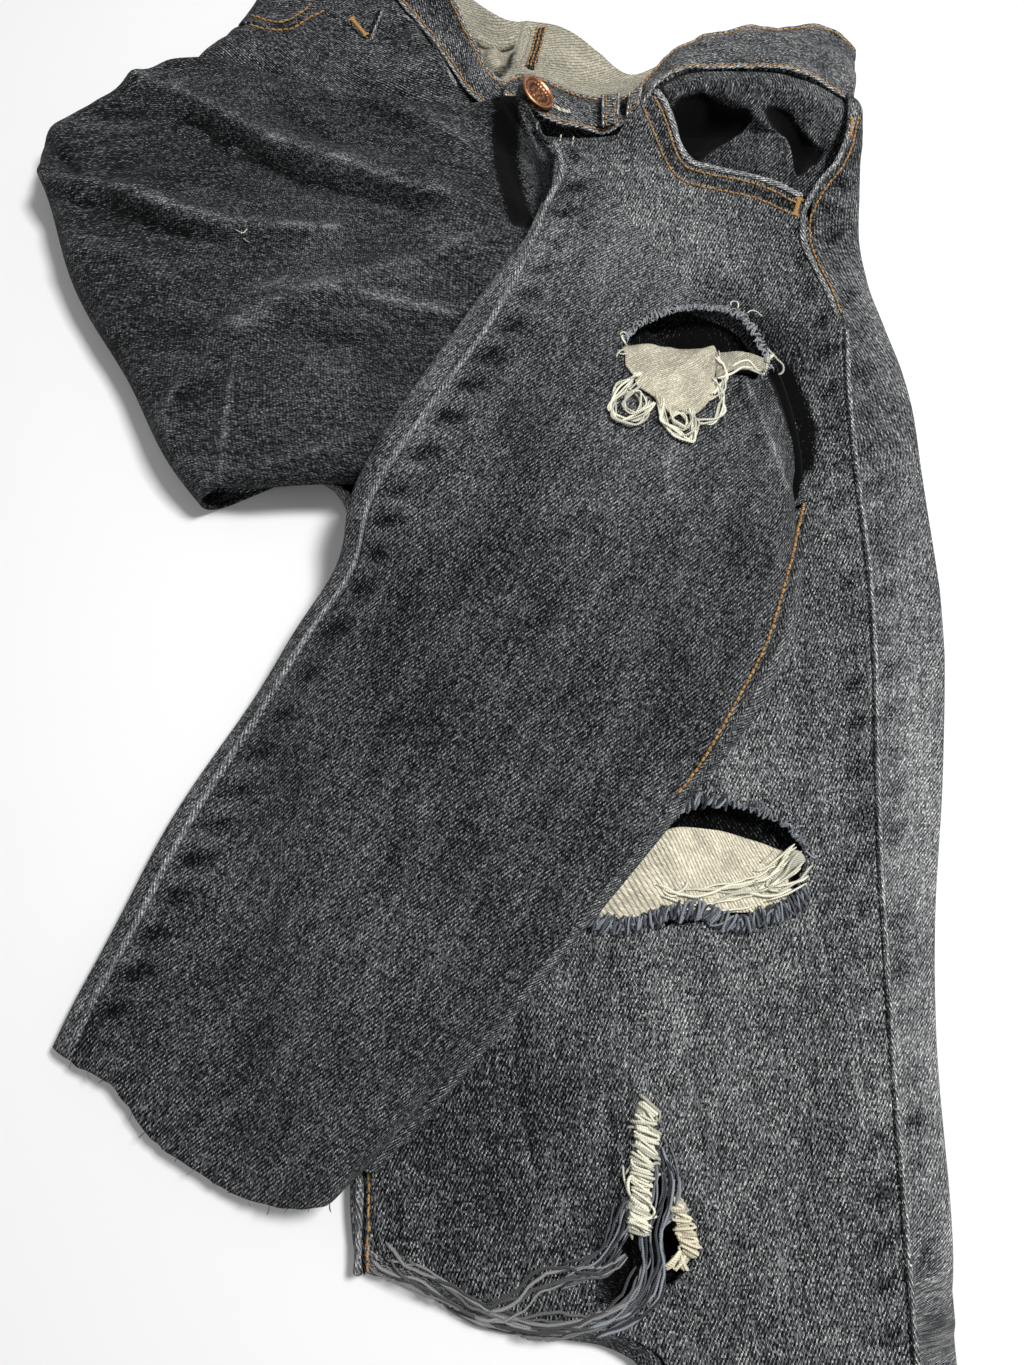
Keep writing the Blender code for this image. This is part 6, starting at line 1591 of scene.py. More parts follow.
def strands(ground, roots, headings, lengths, curl=1.2, rise=0.06, spin=0.0, seed=0):
    """Loose yarns from their roots, each turning in its own way as it goes, lying on cloth."""
    lines = []
    for k, (root, heading, length) in enumerate(zip(roots, headings, lengths)):
        run = np.linspace(0, 1, max(5, round(length / 0.09) + 1))
        wander = wave(run * length + 9.7 * k, 0.55, seed, k)
        turn = heading + curl * (wander - wander[0]) + spin * run * (1 if k % 2 else -1)
        steps = np.stack([np.cos(turn), np.sin(turn)], axis=1)[:-1] * length / (len(run) - 1)
        spots = ground.drop(np.array(root) + np.concatenate([[(0.0, 0.0)], np.cumsum(steps, axis=0)]))[0]
        height = rise * (0.6 + 0.4 * math.sin(k * 2.1))
        spots[:, 2] += YARN + height * np.sin(math.pi * np.minimum(run * 1.15, 1))
        lines.append(spots)
    return lines


def bundle(ground, guide, count, spread, rise=0.08, seed=0, cut=0.0):
    """Yarns side by side along a guide, crossing over each other a little."""
    guide = even(curve(guide), 0.22)
    ahead = unit(np.gradient(guide, axis=0))
    side = np.stack([-ahead[:, 1], ahead[:, 0]], axis=1)
    run = np.arange(len(guide)) * 0.22
    lines = []
    for k in range(count):
        place = spread * (k / (count - 1) - 0.5) + 0.45 * spread * wave(run, 1.6, seed, 3.0 * k)
        place = place + 0.05 * wave(run, 0.35, seed + 1, 5.0 * k)
        first = int(cut * len(guide) * (0.5 + 0.5 * math.sin(k * 1.9)))
        last = len(guide) - int(cut * len(guide) * (0.5 + 0.5 * math.cos(k * 2.7)))
        spots = ground.drop((guide + side * place[:, None])[first:last])[0]
        spots[:, 2] += YARN + rise * (0.5 + 0.5 * np.sin(run * 1.3 + k * 2.0))[first:last]
        lines.append(spots)
    return lines


def coils(ground, line, radius, pitch, flat, *turns):
    """Yarns wound loosely round a line on cloth: the way each turns, its seed and how high it lies."""
    return [coil(ground, line, radius, pitch, flat, *turn) for turn in turns]


def coil(ground, line, radius, pitch, flat, turn, seed, lift=0.0):
    """Yarn wound loosely round a line on cloth."""
    spine = ground.drop(even(curve(line), 0.11), lift)[0]
    run = run_of(spine)
    at = np.linspace(0, run[-1], max(12, round(run[-1] / pitch * 9)))
    spot = spots_at(spine, run, at)
    ahead = unit(np.gradient(spot[:, :2], axis=0))
    angle = turn * 2 * math.pi * at / pitch + 3.0 * wave(at, 1.7 * pitch, seed)
    size = radius * (1 + 0.3 * wave(at, 0.9, seed + 3, 7.0) + 0.6 * wave(at, 0.8 * pitch, seed + 1))
    across = np.cos(angle) * size
    along = 0.35 * across + 0.8 * pitch * wave(at, 0.7 * pitch, seed + 2, 5.0)
    spot[:, 0] += ahead[:, 0] * along - ahead[:, 1] * across
    spot[:, 1] += ahead[:, 1] * along + ahead[:, 0] * across
    spot[:, 2] += flat * size * (1 + np.sin(angle))
    return spot


def tangle(ground, guide, count, sway, rise, seed):
    """Yarns that follow a guide loosely, each in its own loops."""
    guide, step = np.array(guide), np.arange(len(guide))
    lines = []
    for k in range(count):
        off = np.stack([np.sin(2.1 * step + 2.4 * k + seed),
                        np.sin(1.7 * step + 4.1 * k + 1.3 * seed)], axis=1)
        spots = ground.drop(even(curve(guide + sway * off), 0.11))[0]
        spots[:, 2] += YARN + rise * (0.5 + 0.5 * np.sin(7 * np.linspace(0, 1, len(spots)) + 2.0 * k))
        lines.append(spots)
    return lines


def yarns(name, lines, material, node=None, radius=YARN, low=0.1, high=0.9, sides=4):
    """Strands as one piece, each a little lighter or darker, which may stand for a node."""
    tones = [low + (high - low) * (0.5 + 0.5 * math.sin(k * 2.399)) for k in range(len(lines))]
    thick = [radius * (1 + 0.25 * math.sin(k * 1.3)) for k in range(len(lines))]
    piece = tubes(name, lines, thick, MATERIALS[material], tones, sides=sides, taper=0.4)
    if node:
        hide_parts(node)


def welt(name, ground, line, width, tone, material="denim", flat=0.5, lift=0.0, rough=0.25, seed=0,
         rubbed=1.0):
    """Rolled seam or edge: a low round ridge along a line on cloth, uneven in width."""
    spine = ground.drop(even(curve(line), 0.11), lift)[0]
    run = np.arange(len(spine)) * 0.11
    radius = width / 2 * (1 + rough * wave(run, 0.8, seed) + 0.5 * rough * wave(run, 0.3, seed))
    spine[:, 2] += 0.06 * width * wave(run, 0.5, seed + 1)
    return tubes(name, [spine], [radius], MATERIALS[material], [tone], sides=8, flat=flat, rubbed=rubbed)


def sewn(name, ground, rows, length=0.19, gap=0.055, lift=0.015, material="gold", radius=STITCH):
    """Topstitching along lines on cloth."""
    lines = [ground.drop(even(curve(row), 0.12), lift) for row in rows]
    return stitches(name, lines, MATERIALS[material], length, gap, radius)


def bar_tack(name, ground, start, end, lift=0.0, width=0.2):
    """Close zigzag between two points, with a longer bar at each end."""
    start, end = np.array(start), np.array(end)
    ahead = unit(end - start)
    side = np.array((-ahead[1], ahead[0]))
    lines = []
    count = max(6, round(np.linalg.norm(end - start) / 0.055))
    for k in range(count + 1):
        half = width / 2 * (2.0 if k in (0, 1, count - 1, count) else 1.0)
        tilt = ahead * 0.02 * (1 if k % 2 else -1)
        over = np.array((-1.0, -0.5, 0.0, 0.5, 1.0))[:, None] * side * half
        over[0] -= tilt
        over[-1] += tilt
        spots = ground.drop(start + (end - start) * k / count + over, lift)[0]
        spots[:, 2] += np.array((-0.01, 0.035, 0.05, 0.035, -0.01))
        lines.append(spots)
    tubes(name, lines, [0.032] * len(lines), MATERIALS["gold"], [0.6] * len(lines), sides=5, taper=0.7)


def flap_of(name, node, grid, tone, rests_on):
    """Torn tongue of cloth with its reverse side up."""
    Cloth(name, grid, MATERIALS["reverse"], tone, 0.11, wall=0.08, shape=crumpled(0.8, 0.05), node=node,
          rests_on=rests_on, warp=(0.15, 0.99))


BUTTON_TILT = (0.57, 0.10, 0.80)
BUTTON_SHIFT = (-0.12, -0.18, 0.02)
BUTTON_TURNS = 96            # points round the button
BUTTON_PROFILE = (           # from its middle over the rim to its back: share of the radius, and height
    (0.10, 0.215), (0.17, 0.18), (0.22, 0.165), (0.27, 0.205), (0.36, 0.20), (0.44, 0.19), (0.50, 0.15),
    (0.55, 0.155), (0.61, 0.20), (0.69, 0.215), (0.76, 0.19), (0.80, 0.185), (0.85, 0.25), (0.91, 0.275),
    (0.97, 0.25), (1.0, 0.18), (0.97, 0.12), (0.90, 0.09), (0.62, 0.07), (0.55, 0.0))


def make_button():
    """Turned metal button with a raised rim, a ring of small grains and a dished middle."""
    angle = np.arange(BUTTON_TURNS) / BUTTON_TURNS * 2 * math.pi
    normal = unit(np.array(BUTTON_TILT))
    centre = np.array(BUTTON_CENTRE) + BUTTON_SHIFT
    across = unit(np.cross(normal, (0.0, 0.0, 1.0)))
    other = np.cross(normal, across)
    points, wear_and_shading = [], []
    for r, h in BUTTON_PROFILE:
        grains = 0.022 * np.clip(np.cos(22 * angle), -0.3, 1) * (0.6 <= r <= 0.77)
        grains = grains + 0.012 * np.cos(7 * angle) * (0.25 <= r <= 0.45)
        size = 0.9 * r * BUTTON_RADIUS
        points.append(centre + np.outer(np.cos(angle) * size, across) + np.outer(np.sin(angle) * size, other)
                      + np.outer(h + grains, normal))
        wear_and_shading.append(ease(0.16, 0.27, h + grains) * 0.9 + 0.12)
    index = np.arange(len(points) * BUTTON_TURNS).reshape(len(points), BUTTON_TURNS)
    low, high = index[:-1], index[1:]
    faces = np.stack([low, high, np.roll(high, -1, axis=1), np.roll(low, -1, axis=1)], axis=-1)
    faces = faces.reshape(-1, 4).tolist() + [index[0].tolist(), index[-1][::-1].tolist()]
    piece = mesh_piece("button_metal", np.concatenate(points), faces, MATERIALS["copper"],
                       {"wear_and_shading": wear_and_shading, "tone_and_shading": np.zeros(index.shape)})
    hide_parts("button")


def moved(line, dx, dy=0.0):
    """Line shifted in the plan."""
    return np.array(line) + (dx, dy)


def make_seams(left, flap):
    """Seams, edges and stitches of the left leg and of the right shin over it, with dark strips as painted
    shade in the grooves beside the outseam and the inseam.
    """
    welt("flap_outseam", flap, RIGHT_OUTSEAM, 0.28, 0.42, seed=1, rubbed=0.8)
    welt("flap_inseam_roll", flap, moved(FLAP_INSEAM, 0.16, -0.1), 0.22, 0.20, seed=2)
    sewn("flap_inseam_stitches", flap, [moved(FLAP_INSEAM, -0.12, 0.07)], radius=0.055)
    welt("left_outseam_roll", left, moved(LEFT_OUTSEAM[3:], 0.1), 0.17, 0.44, "washed", seed=3)
    # Dark strip standing in for the shade in the groove beside the outseam.
    welt("left_outseam_groove_shade", left, moved(LEFT_OUTSEAM[3:], -0.08), 0.13, 0.08, "washed", seed=4,
         lift=-0.01, rubbed=0.0)
    welt("left_side_roll", left, SIDE_TOP, 0.26, 0.40, "washed", seed=5, lift=0.02)
    sewn("left_side_stitches", left, [SIDE_ROW])
    welt("left_inseam_roll", left, moved(LEFT_INSEAM, -0.32), 0.30, 0.36, seed=6, rubbed=1.2)
    # Dark strip standing in for the shade in the groove beside the inseam.
    welt("left_inseam_groove_shade", left, moved(LEFT_INSEAM, -0.13), 0.12, 0.05, seed=7, rubbed=0.0)
    sewn("left_inseam_stitches", left, [LEFT_INSEAM], length=0.3)
    welt("pocket_edge_roll", left, POCKET_EDGE, 0.30, 0.42, "washed", seed=8, lift=0.02, rubbed=1.4)
    sewn("pocket_stitches", left, POCKET_ROWS)
    bar_tack("pocket_tack", left, (12.35, 31.1), (12.1, 30.3))
    bar_tack("side_tack", left, (14.95, 35.0), (14.75, 34.2), lift=0.05, width=0.12)


def make_hip_seams():
    """Seams, edges and stitches of the right hip, the fly, the buttonhole and the back waistband, with dark
    strips as painted shade in and beside the hip's notch.
    """
    hip = Ground("right_front_hip", "right_pocket_facing")
    sewn("right_pocket_stitches", hip, HIP_ROWS, length=0.22)
    bar_tack("right_pocket_tack", hip, (-7.3, 40.9), (-6.6, 40.0))
    welt("right_hip_seam", hip, HIP_WELT, 0.24, 0.40, seed=11, rubbed=1.4)
    sewn("fly_stitches", Ground("fly_placket"), FLY_ROWS, length=0.2, material="cream")
    sewn("buttonhole_stitches", Ground("waistband_left"), [BUTTONHOLE, moved(BUTTONHOLE, 0.02, -0.1)],
         length=0.1, gap=0.01, material="cream")
    back = Ground(inner=("waistband_back",))
    welt("back_seam_tape", back, moved(BACK_SEAM, -0.62), 0.30, 0.60, "reverse", flat=0.3, seed=12)
    welt("back_seam", back, BACK_SEAM, 0.52, 0.12, flat=0.3, seed=13, rough=0.5)
    sewn("back_seam_stitches", back, [moved(BACK_SEAM, off) for off in (-0.2, -0.02, 0.17)],
         length=0.12, gap=0.07, lift=0.1)
    # Dark strip painted as the shade in the notch's crease.
    welt("hip_notch", hip, ((-6.05, 41.4), (-6.3, 40.6), (-6.5, 39.85)), 0.17, 0.04, flat=0.4, seed=14,
         rubbed=0.0)
    welt("hip_notch_edge", hip, ((-5.9, 41.4), (-6.15, 40.6), (-6.4, 39.7)), 0.12, 0.42, seed=15)
    welt("hip_notch_shadow", hip, ((-7.6, 40.75), (-7.0, 40.1), (-6.6, 39.75)), 0.15, 0.04, flat=0.4, seed=16,
         rubbed=0.0)


def make_band_trims():
    """Stitches and rolled edges along both front parts of the waistband."""
    bands = {name: Cloth.all["waistband_" + name] for name in ("left", "right")}
    lines = [thin_out(*band.row(share, inset))
             for band in bands.values() for share, inset in ((0.0, 0.14), (1.0, 0.16))]
    stitches("band_stitches", lines, MATERIALS["gold"], 0.2, 0.06)
    for name, band in bands.items():
        rolls = [thin_out(*band.row(share))[0] for share in (0.0, 1.0)]
        radii = [0.085 * (1 + 0.25 * wave(np.arange(len(line)) * 0.15, 0.7, 5)) for line in rolls]
        tubes(name + "_band_edge", rolls, radii, MATERIALS["washed"], [0.42, 0.36], sides=8, flat=0.8,
              rubbed=1.2)


def thin_out(line, out):
    """Line and its outward directions at even steps."""
    both = even(np.concatenate([line, out], axis=1), 0.15)
    return both[:, :3], both[:, 3:]


def make_loops():
    """Crumpled belt loops over the left waistband."""
    for name, at, seed in (("belt_loop_1", 4.35, 1), ("belt_loop_2", 5.3, 2)):
        ends = np.array((at - LOOP_WIDTH / 2.4, at, at + LOOP_WIDTH / 2.4))
        grid = band_grid(LEFT_BAND, ends, parts=6)
        t = np.linspace(0, 1, 7)
        grid[..., 2] += 0.11 + LAYER_GAP + 0.32 * np.sin(math.pi * t) + 0.08 * np.sin(3 * math.pi * t + seed)
        grid[1, :, 2] += 0.05
        loop = Cloth(name, grid, MATERIALS["washed"], 0.34, 0.06, wall=0.09, shape=crumpled(0.5, 0.05),
                     held=None)
        lines = [thin_out(*loop.row_across(share)) for share in (0.18, 0.82)]
        stitches(name + "_stitches", lines, MATERIALS["gold"], 0.17, 0.05, 0.03)
        rolls = [thin_out(*loop.row_across(share))[0] for share in (0.0, 1.0)]
        tubes(name + "_edges", rolls, [0.06, 0.06], MATERIALS["washed"], [0.46, 0.50], sides=6, rubbed=1.2)


# Guides of tangled yarns round the right knee's tongue: points, count, sway and rise.
TANGLES = (
    (((4.9, 21.6), (4.2, 21.0), (3.88, 20.3), (4.0, 19.75), (4.6, 19.6), (5.2, 20.05), (5.4, 20.6)),
     7, 0.42, 0.20),
    (((5.0, 21.2), (4.5, 20.7), (4.35, 20.2), (4.7, 19.95), (5.1, 20.4), (4.9, 20.9), (4.4, 20.9)),
     4, 0.25, 0.32),
    (((5.75, 20.7), (5.9, 19.75), (6.35, 19.15), (6.85, 18.95), (7.15, 19.6), (6.95, 20.2)), 7, 0.38, 0.16),
    (((6.2, 20.2), (6.3, 19.6), (6.7, 19.4), (6.9, 19.8), (6.5, 20.1), (6.1, 19.8)), 4, 0.25, 0.26),
    (((7.2, 19.75), (7.85, 19.85), (8.3, 20.6), (8.3, 21.15), (8.0, 21.7)), 5, 0.28, 0.10),
    (((8.3, 21.7), (8.75, 22.35), (9.4, 22.65), (10.0, 22.5), (10.55, 23.15)), 5, 0.35, 0.12),
    (((8.15, 22.9), (8.5, 22.2), (8.35, 21.4), (7.9, 20.9)), 4, 0.35, 0.12),
)
LOWER_LIP = (
    (2.9, 0.85), (3.9, 0.65), (4.9, 0.85), (5.9, 1.15), (6.9, 1.2), (7.7, 0.85), (8.3, 0.7), (9.15, 0.95),
    (10.0, 1.2), (10.8, 1.9))
UPPER_LIP = (
    (4.8, 3.75), (5.6, 4.5), (6.4, 5.0), (7.2, 5.3), (8.1, 5.2), (9.2, 4.85), (10.2, 4.4), (11.0, 3.5))
BRUSH = ((8.9, 2.15), (9.6, 2.4), (10.2, 2.75), (10.8, 3.3))
TUFT_1 = (
    (4.84, -5.45), (4.66, -6.0), (4.72, -6.65), (4.5, -7.5), (4.48, -8.35), (4.37, -8.9), (4.35, -9.5))
TUFT_2 = ((5.75, -8.6), (5.9, -9.4), (6.05, -9.95), (5.75, -10.5), (5.45, -10.4))
THIGH_WEFT = ((5.3, 1.9), (6.6, 1.75), (7.9, 1.8), (9.2, 2.05), (10.2, 2.45))
TORN_WARP = (
    (5.1, -6.9), (5.37, -7.9), (5.25, -8.8), (4.95, -9.6), (5.0, -10.3), (4.7, -11.15), (4.2, -11.85),
    (3.5, -12.4), (2.6, -12.6))
TORN_WARP_INNER = ((4.1, -8.6), (3.93, -8.9), (3.67, -9.6), (3.4, -10.15), (2.6, -10.75), (1.6, -11.1))

# Torn tongues of reverse cloth: their head, for the knee a line across them, and their foot.
KNEE_TONGUE = (
    ((4.4, 23.3), (5.4, 23.4), (6.4, 23.4), (7.4, 23.4), (8.3, 23.4)),
    ((4.45, 22.3), (5.3, 22.3), (6.3, 22.3), (7.2, 22.2), (8.1, 22.2)),
    ((4.75, 21.2), (5.5, 20.9), (6.3, 20.0), (7.1, 20.0), (7.95, 21.0)))
KNEE_SIDE_TONGUE = (((8.2, 22.95), (9.2, 23.1), (10.45, 23.05)), ((8.1, 21.9), (9.1, 22.4), (10.4, 22.6)))
THIGH_TONGUE = (
    ((4.1, 3.1), (5.3, 4.0), (6.4, 4.3), (7.6, 4.2), (8.8, 3.9), (10.2, 3.4)),
    ((2.8, 0.85), (4.4, 0.95), (5.9, 1.2), (7.4, 1.15), (8.8, 1.15), (10.3, 1.6)))

# Single loose ends: root, heading and length.
KNEE_ENDS = (
    ((10.4, 23.4), -0.5, 1.3), ((9.2, 24.7), 1.3, 1.0), ((9.6, 24.5), 1.0, 0.8), ((4.65, 23.5), 2.4, 0.5),
    ((4.6, 23.2), 2.9, 0.5), ((4.5, 22.9), 3.3, 0.6), ((4.6, 22.7), 3.8, 0.5))
THIGH_ENDS = (((6.5, 2.3), -1.7, 1.4), ((9.5, 2.3), -2.2, 0.9), ((6.3, 1.9), -2.4, 0.9))
NICK_ENDS = (((-11.5, 28.75), -0.5, 0.5), ((-11.3, 28.6), -0.2, 0.4), ((-11.2, 28.45), -0.6, 0.35))


def with_wave(grid, size, amount, seed):
    """Plan grid with an uneven outline."""
    return grid + amount * np.stack([noise(grid[..., 0], grid[..., 1], size, seed),
                                     noise(grid[..., 0], grid[..., 1], size, seed + 1)], axis=2)


def over_cloth(ground, plan, rise):
    """Heights over the cloth that lies under a plan grid."""
    return ground.drop(plan.reshape(-1, 2))[0][:, 2].reshape(plan.shape[:2]) + rise


def make_knee_trims(flap):
    """Right knee: arc of short frays, a tongue of reverse cloth, tangles round it and threads beside it."""
    node = "knee_rip_right_fringe"
    arc, ways = rim(KNEE_RIP_RIGHT_TORN, 178, -18, 64)
    turn = np.arange(64.0)
    ways = ways + 0.9 * wave(turn, 1.0, 3)
    long = 0.40 + 0.16 * wave(turn, 1.0, 4)
    roots = arc - 0.10 * np.stack([np.cos(ways), np.sin(ways)], axis=1)
    lines = strands(flap, roots, ways, long, 2.5, 0.07, seed=3)
    edge = rim(KNEE_RIP_RIGHT_TORN, 178, -18, 26)[0]
    yarns("knee_rip_right_frays", lines[::2] + coils(flap, edge, 0.11, 0.17, 0.5, (1, 41)), "blue", node,
          radius=0.036, low=0.4, high=1.2)
    yarns("knee_rip_right_pale_frays", lines[1::2] + coils(flap, edge, 0.13, 0.23, 0.6, (-1, 43)), "grey",
          node, radius=0.032, low=0.8, high=1.6)
    head, edge, foot = np.array(KNEE_TONGUE)
    plan = np.concatenate([between(head, edge, 4)[:, :-1], between(edge, foot, 6)], axis=1)
    height = over_cloth(flap, plan, 0.14)
    height[:, :2] -= np.array((0.42, 0.12))
    tongue = with_height(with_wave(plan, 0.33, 0.14, 7), height)
    flap_of("knee_tongue_right", "knee_rip_right_tongue", tongue[::-1], 0.80, ("right_front_shin",))
    side = between(*np.array(KNEE_SIDE_TONGUE), 4)
    tongue = with_height(with_wave(side, 0.5, 0.08, 9), over_cloth(flap, side, 0.12))
    flap_of("knee_tongue_right_side", "knee_rip_right_tongue", tongue[::-1], 0.66, ("right_front_shin",))
    over = Ground("right_front_shin", "right_back_shin", "knee_tongue_right")
    lines = []
    for k, (guide, count, sway, rise) in enumerate(TANGLES):
        lines += tangle(over, guide, count, 0.45 * sway, rise, seed=50 + k)
    ends, headings, lengths = zip(*KNEE_ENDS)
    lines += strands(over, ends, headings, lengths, 2.0, 0.08, spin=2.2, seed=14)
    yarns("knee_rip_right_threads", lines, "cream", node, radius=0.042, low=0.3, high=1.2)


def make_thigh_trims(left):
    """Left thigh: reverse cloth inside the rip, cream weft drawn across it, wound blue edges."""
    node = "thigh_rip_left_fringe"
    plan = between(*np.array(THIGH_TONGUE), 7)
    height = over_cloth(left, plan, -0.14) + np.linspace(-0.10, 0.17, plan.shape[1])
    tongue = with_height(plan, height)
    flap_of("thigh_tongue_left", "thigh_rip_left_tongue", tongue[::-1], 0.88, ("left_front_panel",))
    over = Ground("left_front_panel", "thigh_tongue_left")
    lines = coils(over, LOWER_LIP, 0.26, 0.34, 0.35, (1, 61, 0.02), (1, 62, 0.05), (-1, 63), (-1, 64, 0.06),
                  (1, 69, 0.08))
    lines += coils(left, UPPER_LIP[:5], 0.22, 0.33, 0.35, (1, 65), (-1, 66), (1, 67), (-1, 70))
    lines += coils(left, UPPER_LIP[4:], 0.12, 0.22, 0.5, (1, 68))
    roots, ways = rim(THIGH_RIP_LEFT_TORN, 110, 10, 18)
    turn = np.arange(18.0)
    lengths = 0.45 + 0.2 * np.sin(turn * 1.9)
    lines += strands(left, roots, ways + wave(turn, 1.0, 5), lengths, 2.4, 0.10, spin=1.2, seed=21)
    yarns("thigh_rip_left_frays", lines, "blue", node, radius=0.044, low=-0.1, high=1.0, sides=5)
    core = welt("thigh_rip_left_brush", over, BRUSH[1:], 0.62, 0.25, "cream", flat=0.3, rough=0.6, seed=9)
    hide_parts(node)
    lines = bundle(over, THIGH_WEFT, 9, 0.75, 0.12, seed=23, cut=0.3)
    lines += bundle(over, BRUSH, 16, 0.95, 0.30, seed=24, cut=0.3)
    ends, headings, lengths = zip(*THIGH_ENDS)
    lines += strands(over, ends, headings, lengths, 2.2, 0.12, spin=1.8, seed=25)
    yarns("thigh_rip_left_weft", lines, "cream", node, radius=0.05, low=0.5, high=1.3)


def make_torn_knee_trims(left):
    """Left knee: two ladders of weft, long blue-grey yarns beside them and along the torn edge."""
    node = "knee_rip_left_fringe"
    lines = coils(left, TUFT_1, 0.31, 0.22, 0.34, (1, 71, 0.06), (-1, 72, 0.03), (1, 73), (-1, 77, 0.08))
    ends = [(4.72 + 0.3 * math.sin(k * 2.6) - 0.03 * k, -5.6 - 0.31 * k) for k in range(13)]
    headings = [0.4 + 2.6 * (k % 2) + 0.7 * math.sin(k * 1.8) for k in range(13)]
    lengths = [0.85 + 0.2 * math.sin(k * 2.9) for k in range(13)]
    lines += strands(left, ends, headings, lengths, 2.2, 0.3, spin=1.2, seed=31)
    yarns("knee_rip_left_weft", lines, "cream", node, radius=0.05, low=0.2, high=1.2, sides=6)
    lines = coils(left, TUFT_2, 0.25, 0.24, 0.36, (1, 74, 0.05), (-1, 75), (1, 76, 0.02))
    yarns("knee_rip_left_low_weft", lines, "ecru", node, radius=0.05, low=0.4, high=1.4, sides=6)
    for name, line, wide in (("upper", TUFT_1, 0.55), ("lower", TUFT_2, 0.36)):
        core = welt("knee_rip_left_tuft_" + name, left, line, wide, 0.4, "cream", flat=0.4, rough=0.6, seed=8)
        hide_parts(node)
    lines = bundle(left, TORN_WARP, 12, 0.62, 0.14, seed=33, cut=0.12)
    lines += bundle(left, TORN_WARP_INNER, 8, 0.6, 0.10, seed=34, cut=0.1)
    yarns("knee_rip_left_warp", lines, "blue", node, radius=0.042, low=-0.1, high=1.0)
    edge = Ground("left_front_panel", inner=("left_back_panel",))
    lines = bundle(edge, CRESCENT, 10, 0.62, 0.10, seed=35, cut=0.12)
    lines += bundle(edge, CRESCENT_LOOP, 5, 0.35, 0.14, seed=36)
    yarns("torn_edge_yarns", lines, "grey", node, radius=0.045, low=-0.2, high=1.1)
    ends, headings, lengths = zip(*NICK_ENDS)
    lines = strands(Ground("right_back_panel"), ends, headings, lengths, 1.5, 0.03, seed=37)
    yarns("thigh_nick_threads", lines, "cream", radius=0.022)


def make_hem_frays():
    """Short ends along the flap's raw hem."""
    cloth = Cloth.all["right_front_shin"]
    hem = even(cloth.grid[-1][cloth.out[-1][:, 2] > 0.1], 0.75)
    t = np.linspace(0, 1, 5)
    lines = []
    for k, spot in enumerate(hem):
        way = math.atan2(HEM_OUT[1], HEM_OUT[0]) + 0.8 * math.sin(k * 2.3)
        length = 0.22 + 0.12 * math.sin(k * 1.7)
        bend = way + 0.8 * math.sin(k * 3.1) * t
        path = spot + np.stack([np.cos(bend) * length * t, np.sin(bend) * length * t, -0.05 * t * t], axis=1)
        path[:, 2] = np.maximum(path[:, 2] - 0.05, 0.03)
        lines.append(path)
    yarns("flap_hem_frays", lines, "grey", radius=0.02)


def make_trims():
    """Everything on and beside the panels."""
    left = Ground("left_front_panel", "left_back_panel")
    flap = Ground("right_front_shin", "right_back_shin")
    make_seams(left, flap)
    make_band_trims()
    make_loops()
    make_button()
    make_hip_seams()
    make_knee_trims(flap)
    make_thigh_trims(left)
    make_torn_knee_trims(left)
    make_hem_frays()


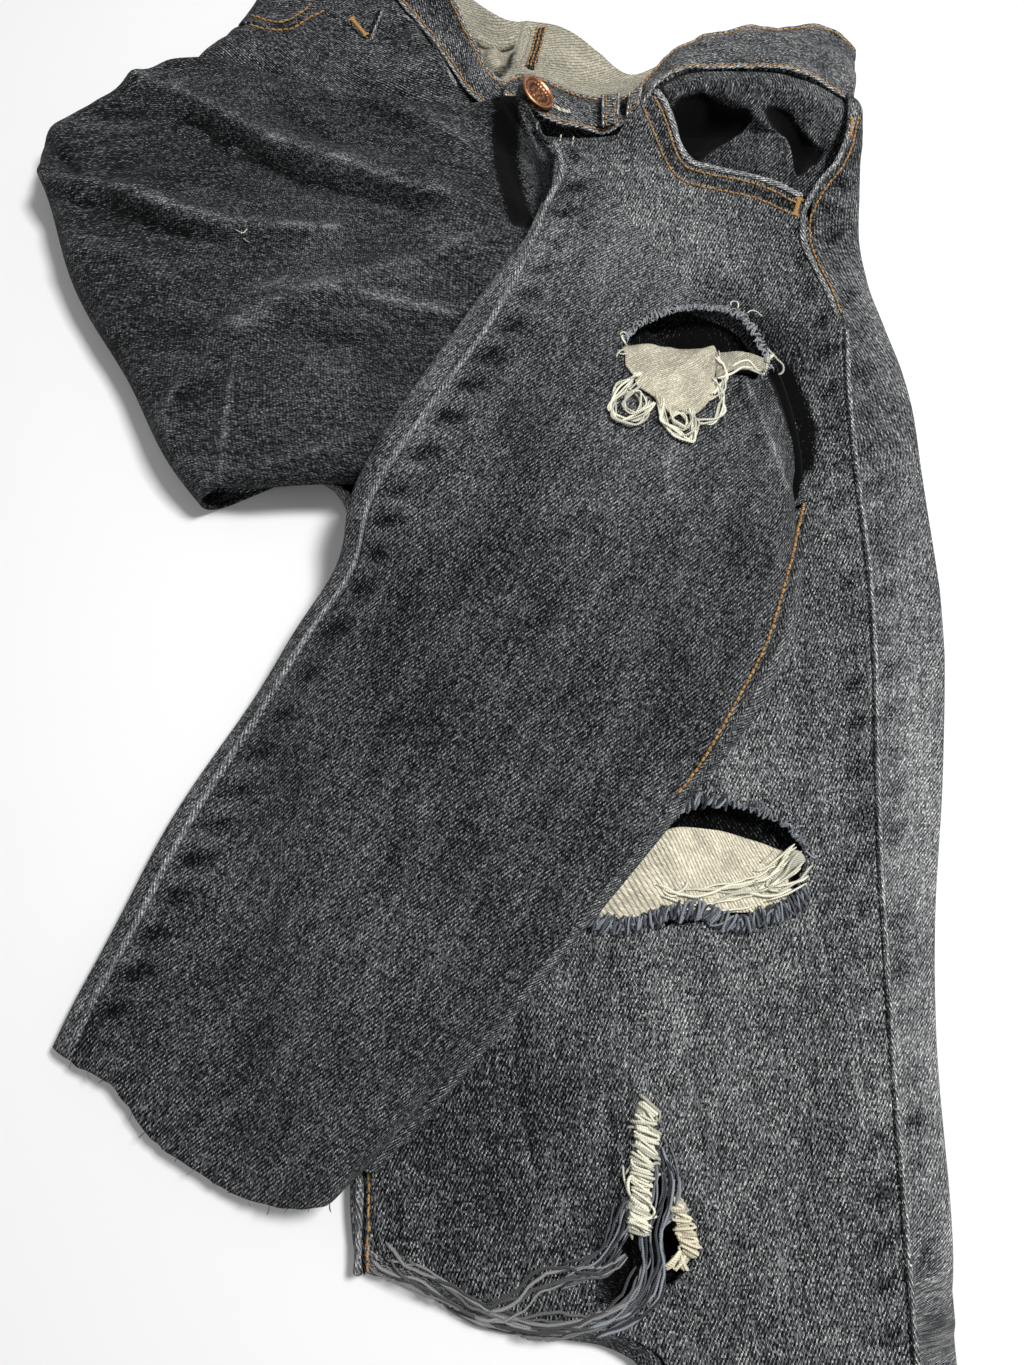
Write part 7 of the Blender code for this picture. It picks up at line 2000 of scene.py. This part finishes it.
def make_folded_layers():
    """Hidden layers of the folded thigh: the solid's own form, rounded."""
    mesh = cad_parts["folded_layers"].data.copy()
    mesh.materials.clear()
    work = bmesh.new()
    work.from_mesh(mesh)
    bmesh.ops.remove_doubles(work, verts=work.verts, dist=1e-6)
    bmesh.ops.subdivide_edges(work, edges=work.edges, cuts=2, use_grid_fill=True, smooth=0.3)
    work.to_mesh(mesh)
    work.free()
    spots = np.empty(len(mesh.vertices) * 3)
    mesh.vertices.foreach_get("co", spots)
    spots = spots.reshape(-1, 3) / CM
    cloth = spots[:, [1, 0]]
    spots[:, :2] += LAYOUT_CENTRE
    mesh.vertices.foreach_set("co", metres(spots).ravel())
    # Painted shade: the layers are painted dark where they show through the knee rip.
    shade = 0.17 + off_patches(UNDER_KNEE_RIP, spots[:, 0], spots[:, 1])
    piece = dressed("folded_cloth_layers", mesh, MATERIALS["denim"],
                    {"tone_and_shading": shade, "wear_and_shading": np.zeros(len(spots))}, cloth)
    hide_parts("folded_layers")


def make_stage():
    """Surface under the jeans, light and the photo's camera."""
    scene = bpy.context.scene
    mesh = bpy.data.meshes.new("floor")
    corners = [(x * FLOOR_HALF, y * FLOOR_HALF, FLOOR_Z) for x, y in ((-1, -1), (1, -1), (1, 1), (-1, 1))]
    mesh.from_pydata(corners, [], [(0, 1, 2, 3)])
    floor = bpy.data.objects.new("floor", mesh)
    scene.collection.objects.link(floor)
    g = Graph("floor_paper", 0.9, specular=0.1)
    spot = g.node("TexNoise", g.node("TexCoord")["Object"], None, 6.0, 3.0)[0]
    mesh.materials.append(g.finish(g.mix(spot, (0.87, 0.87, 0.87, 1.0), (0.90, 0.90, 0.90, 1.0))))
    world = bpy.data.worlds.new("studio")
    world.use_nodes = True
    world.node_tree.nodes["Background"].inputs[0].default_value = (1.0, 1.0, 1.0, 1.0)
    world.node_tree.nodes["Background"].inputs[1].default_value = SKY
    scene.world = world
    for name, place, span, watts in LAMPS:
        lamp = bpy.data.lights.new(name, 'AREA')
        lamp.size = span
        lamp.energy = watts
        light = bpy.data.objects.new(name, lamp)
        light.location = place
        aim = -np.array(place)
        light.rotation_euler = (math.acos(-aim[2] / np.linalg.norm(aim)), 0.0,
                                math.atan2(aim[1], aim[0]) - math.pi / 2)
        scene.collection.objects.link(light)
    lens = bpy.data.cameras.new("camera")
    lens.lens = FOCAL_PIXELS / PHOTO_HEIGHT * SENSOR
    lens.clip_start = 0.01
    camera = bpy.data.objects.new("camera", lens)
    camera.location = (-LAYOUT_CENTRE[0] * CM, -LAYOUT_CENTRE[1] * CM, CAMERA_HEIGHT)
    camera.rotation_euler = (math.radians(CAMERA_TILT), 0.0, 0.0)
    scene.collection.objects.link(camera)
    scene.camera = camera
    scene.view_settings.view_transform = 'Standard'


make_stage()
make_panels()
make_folded_layers()
make_trims()
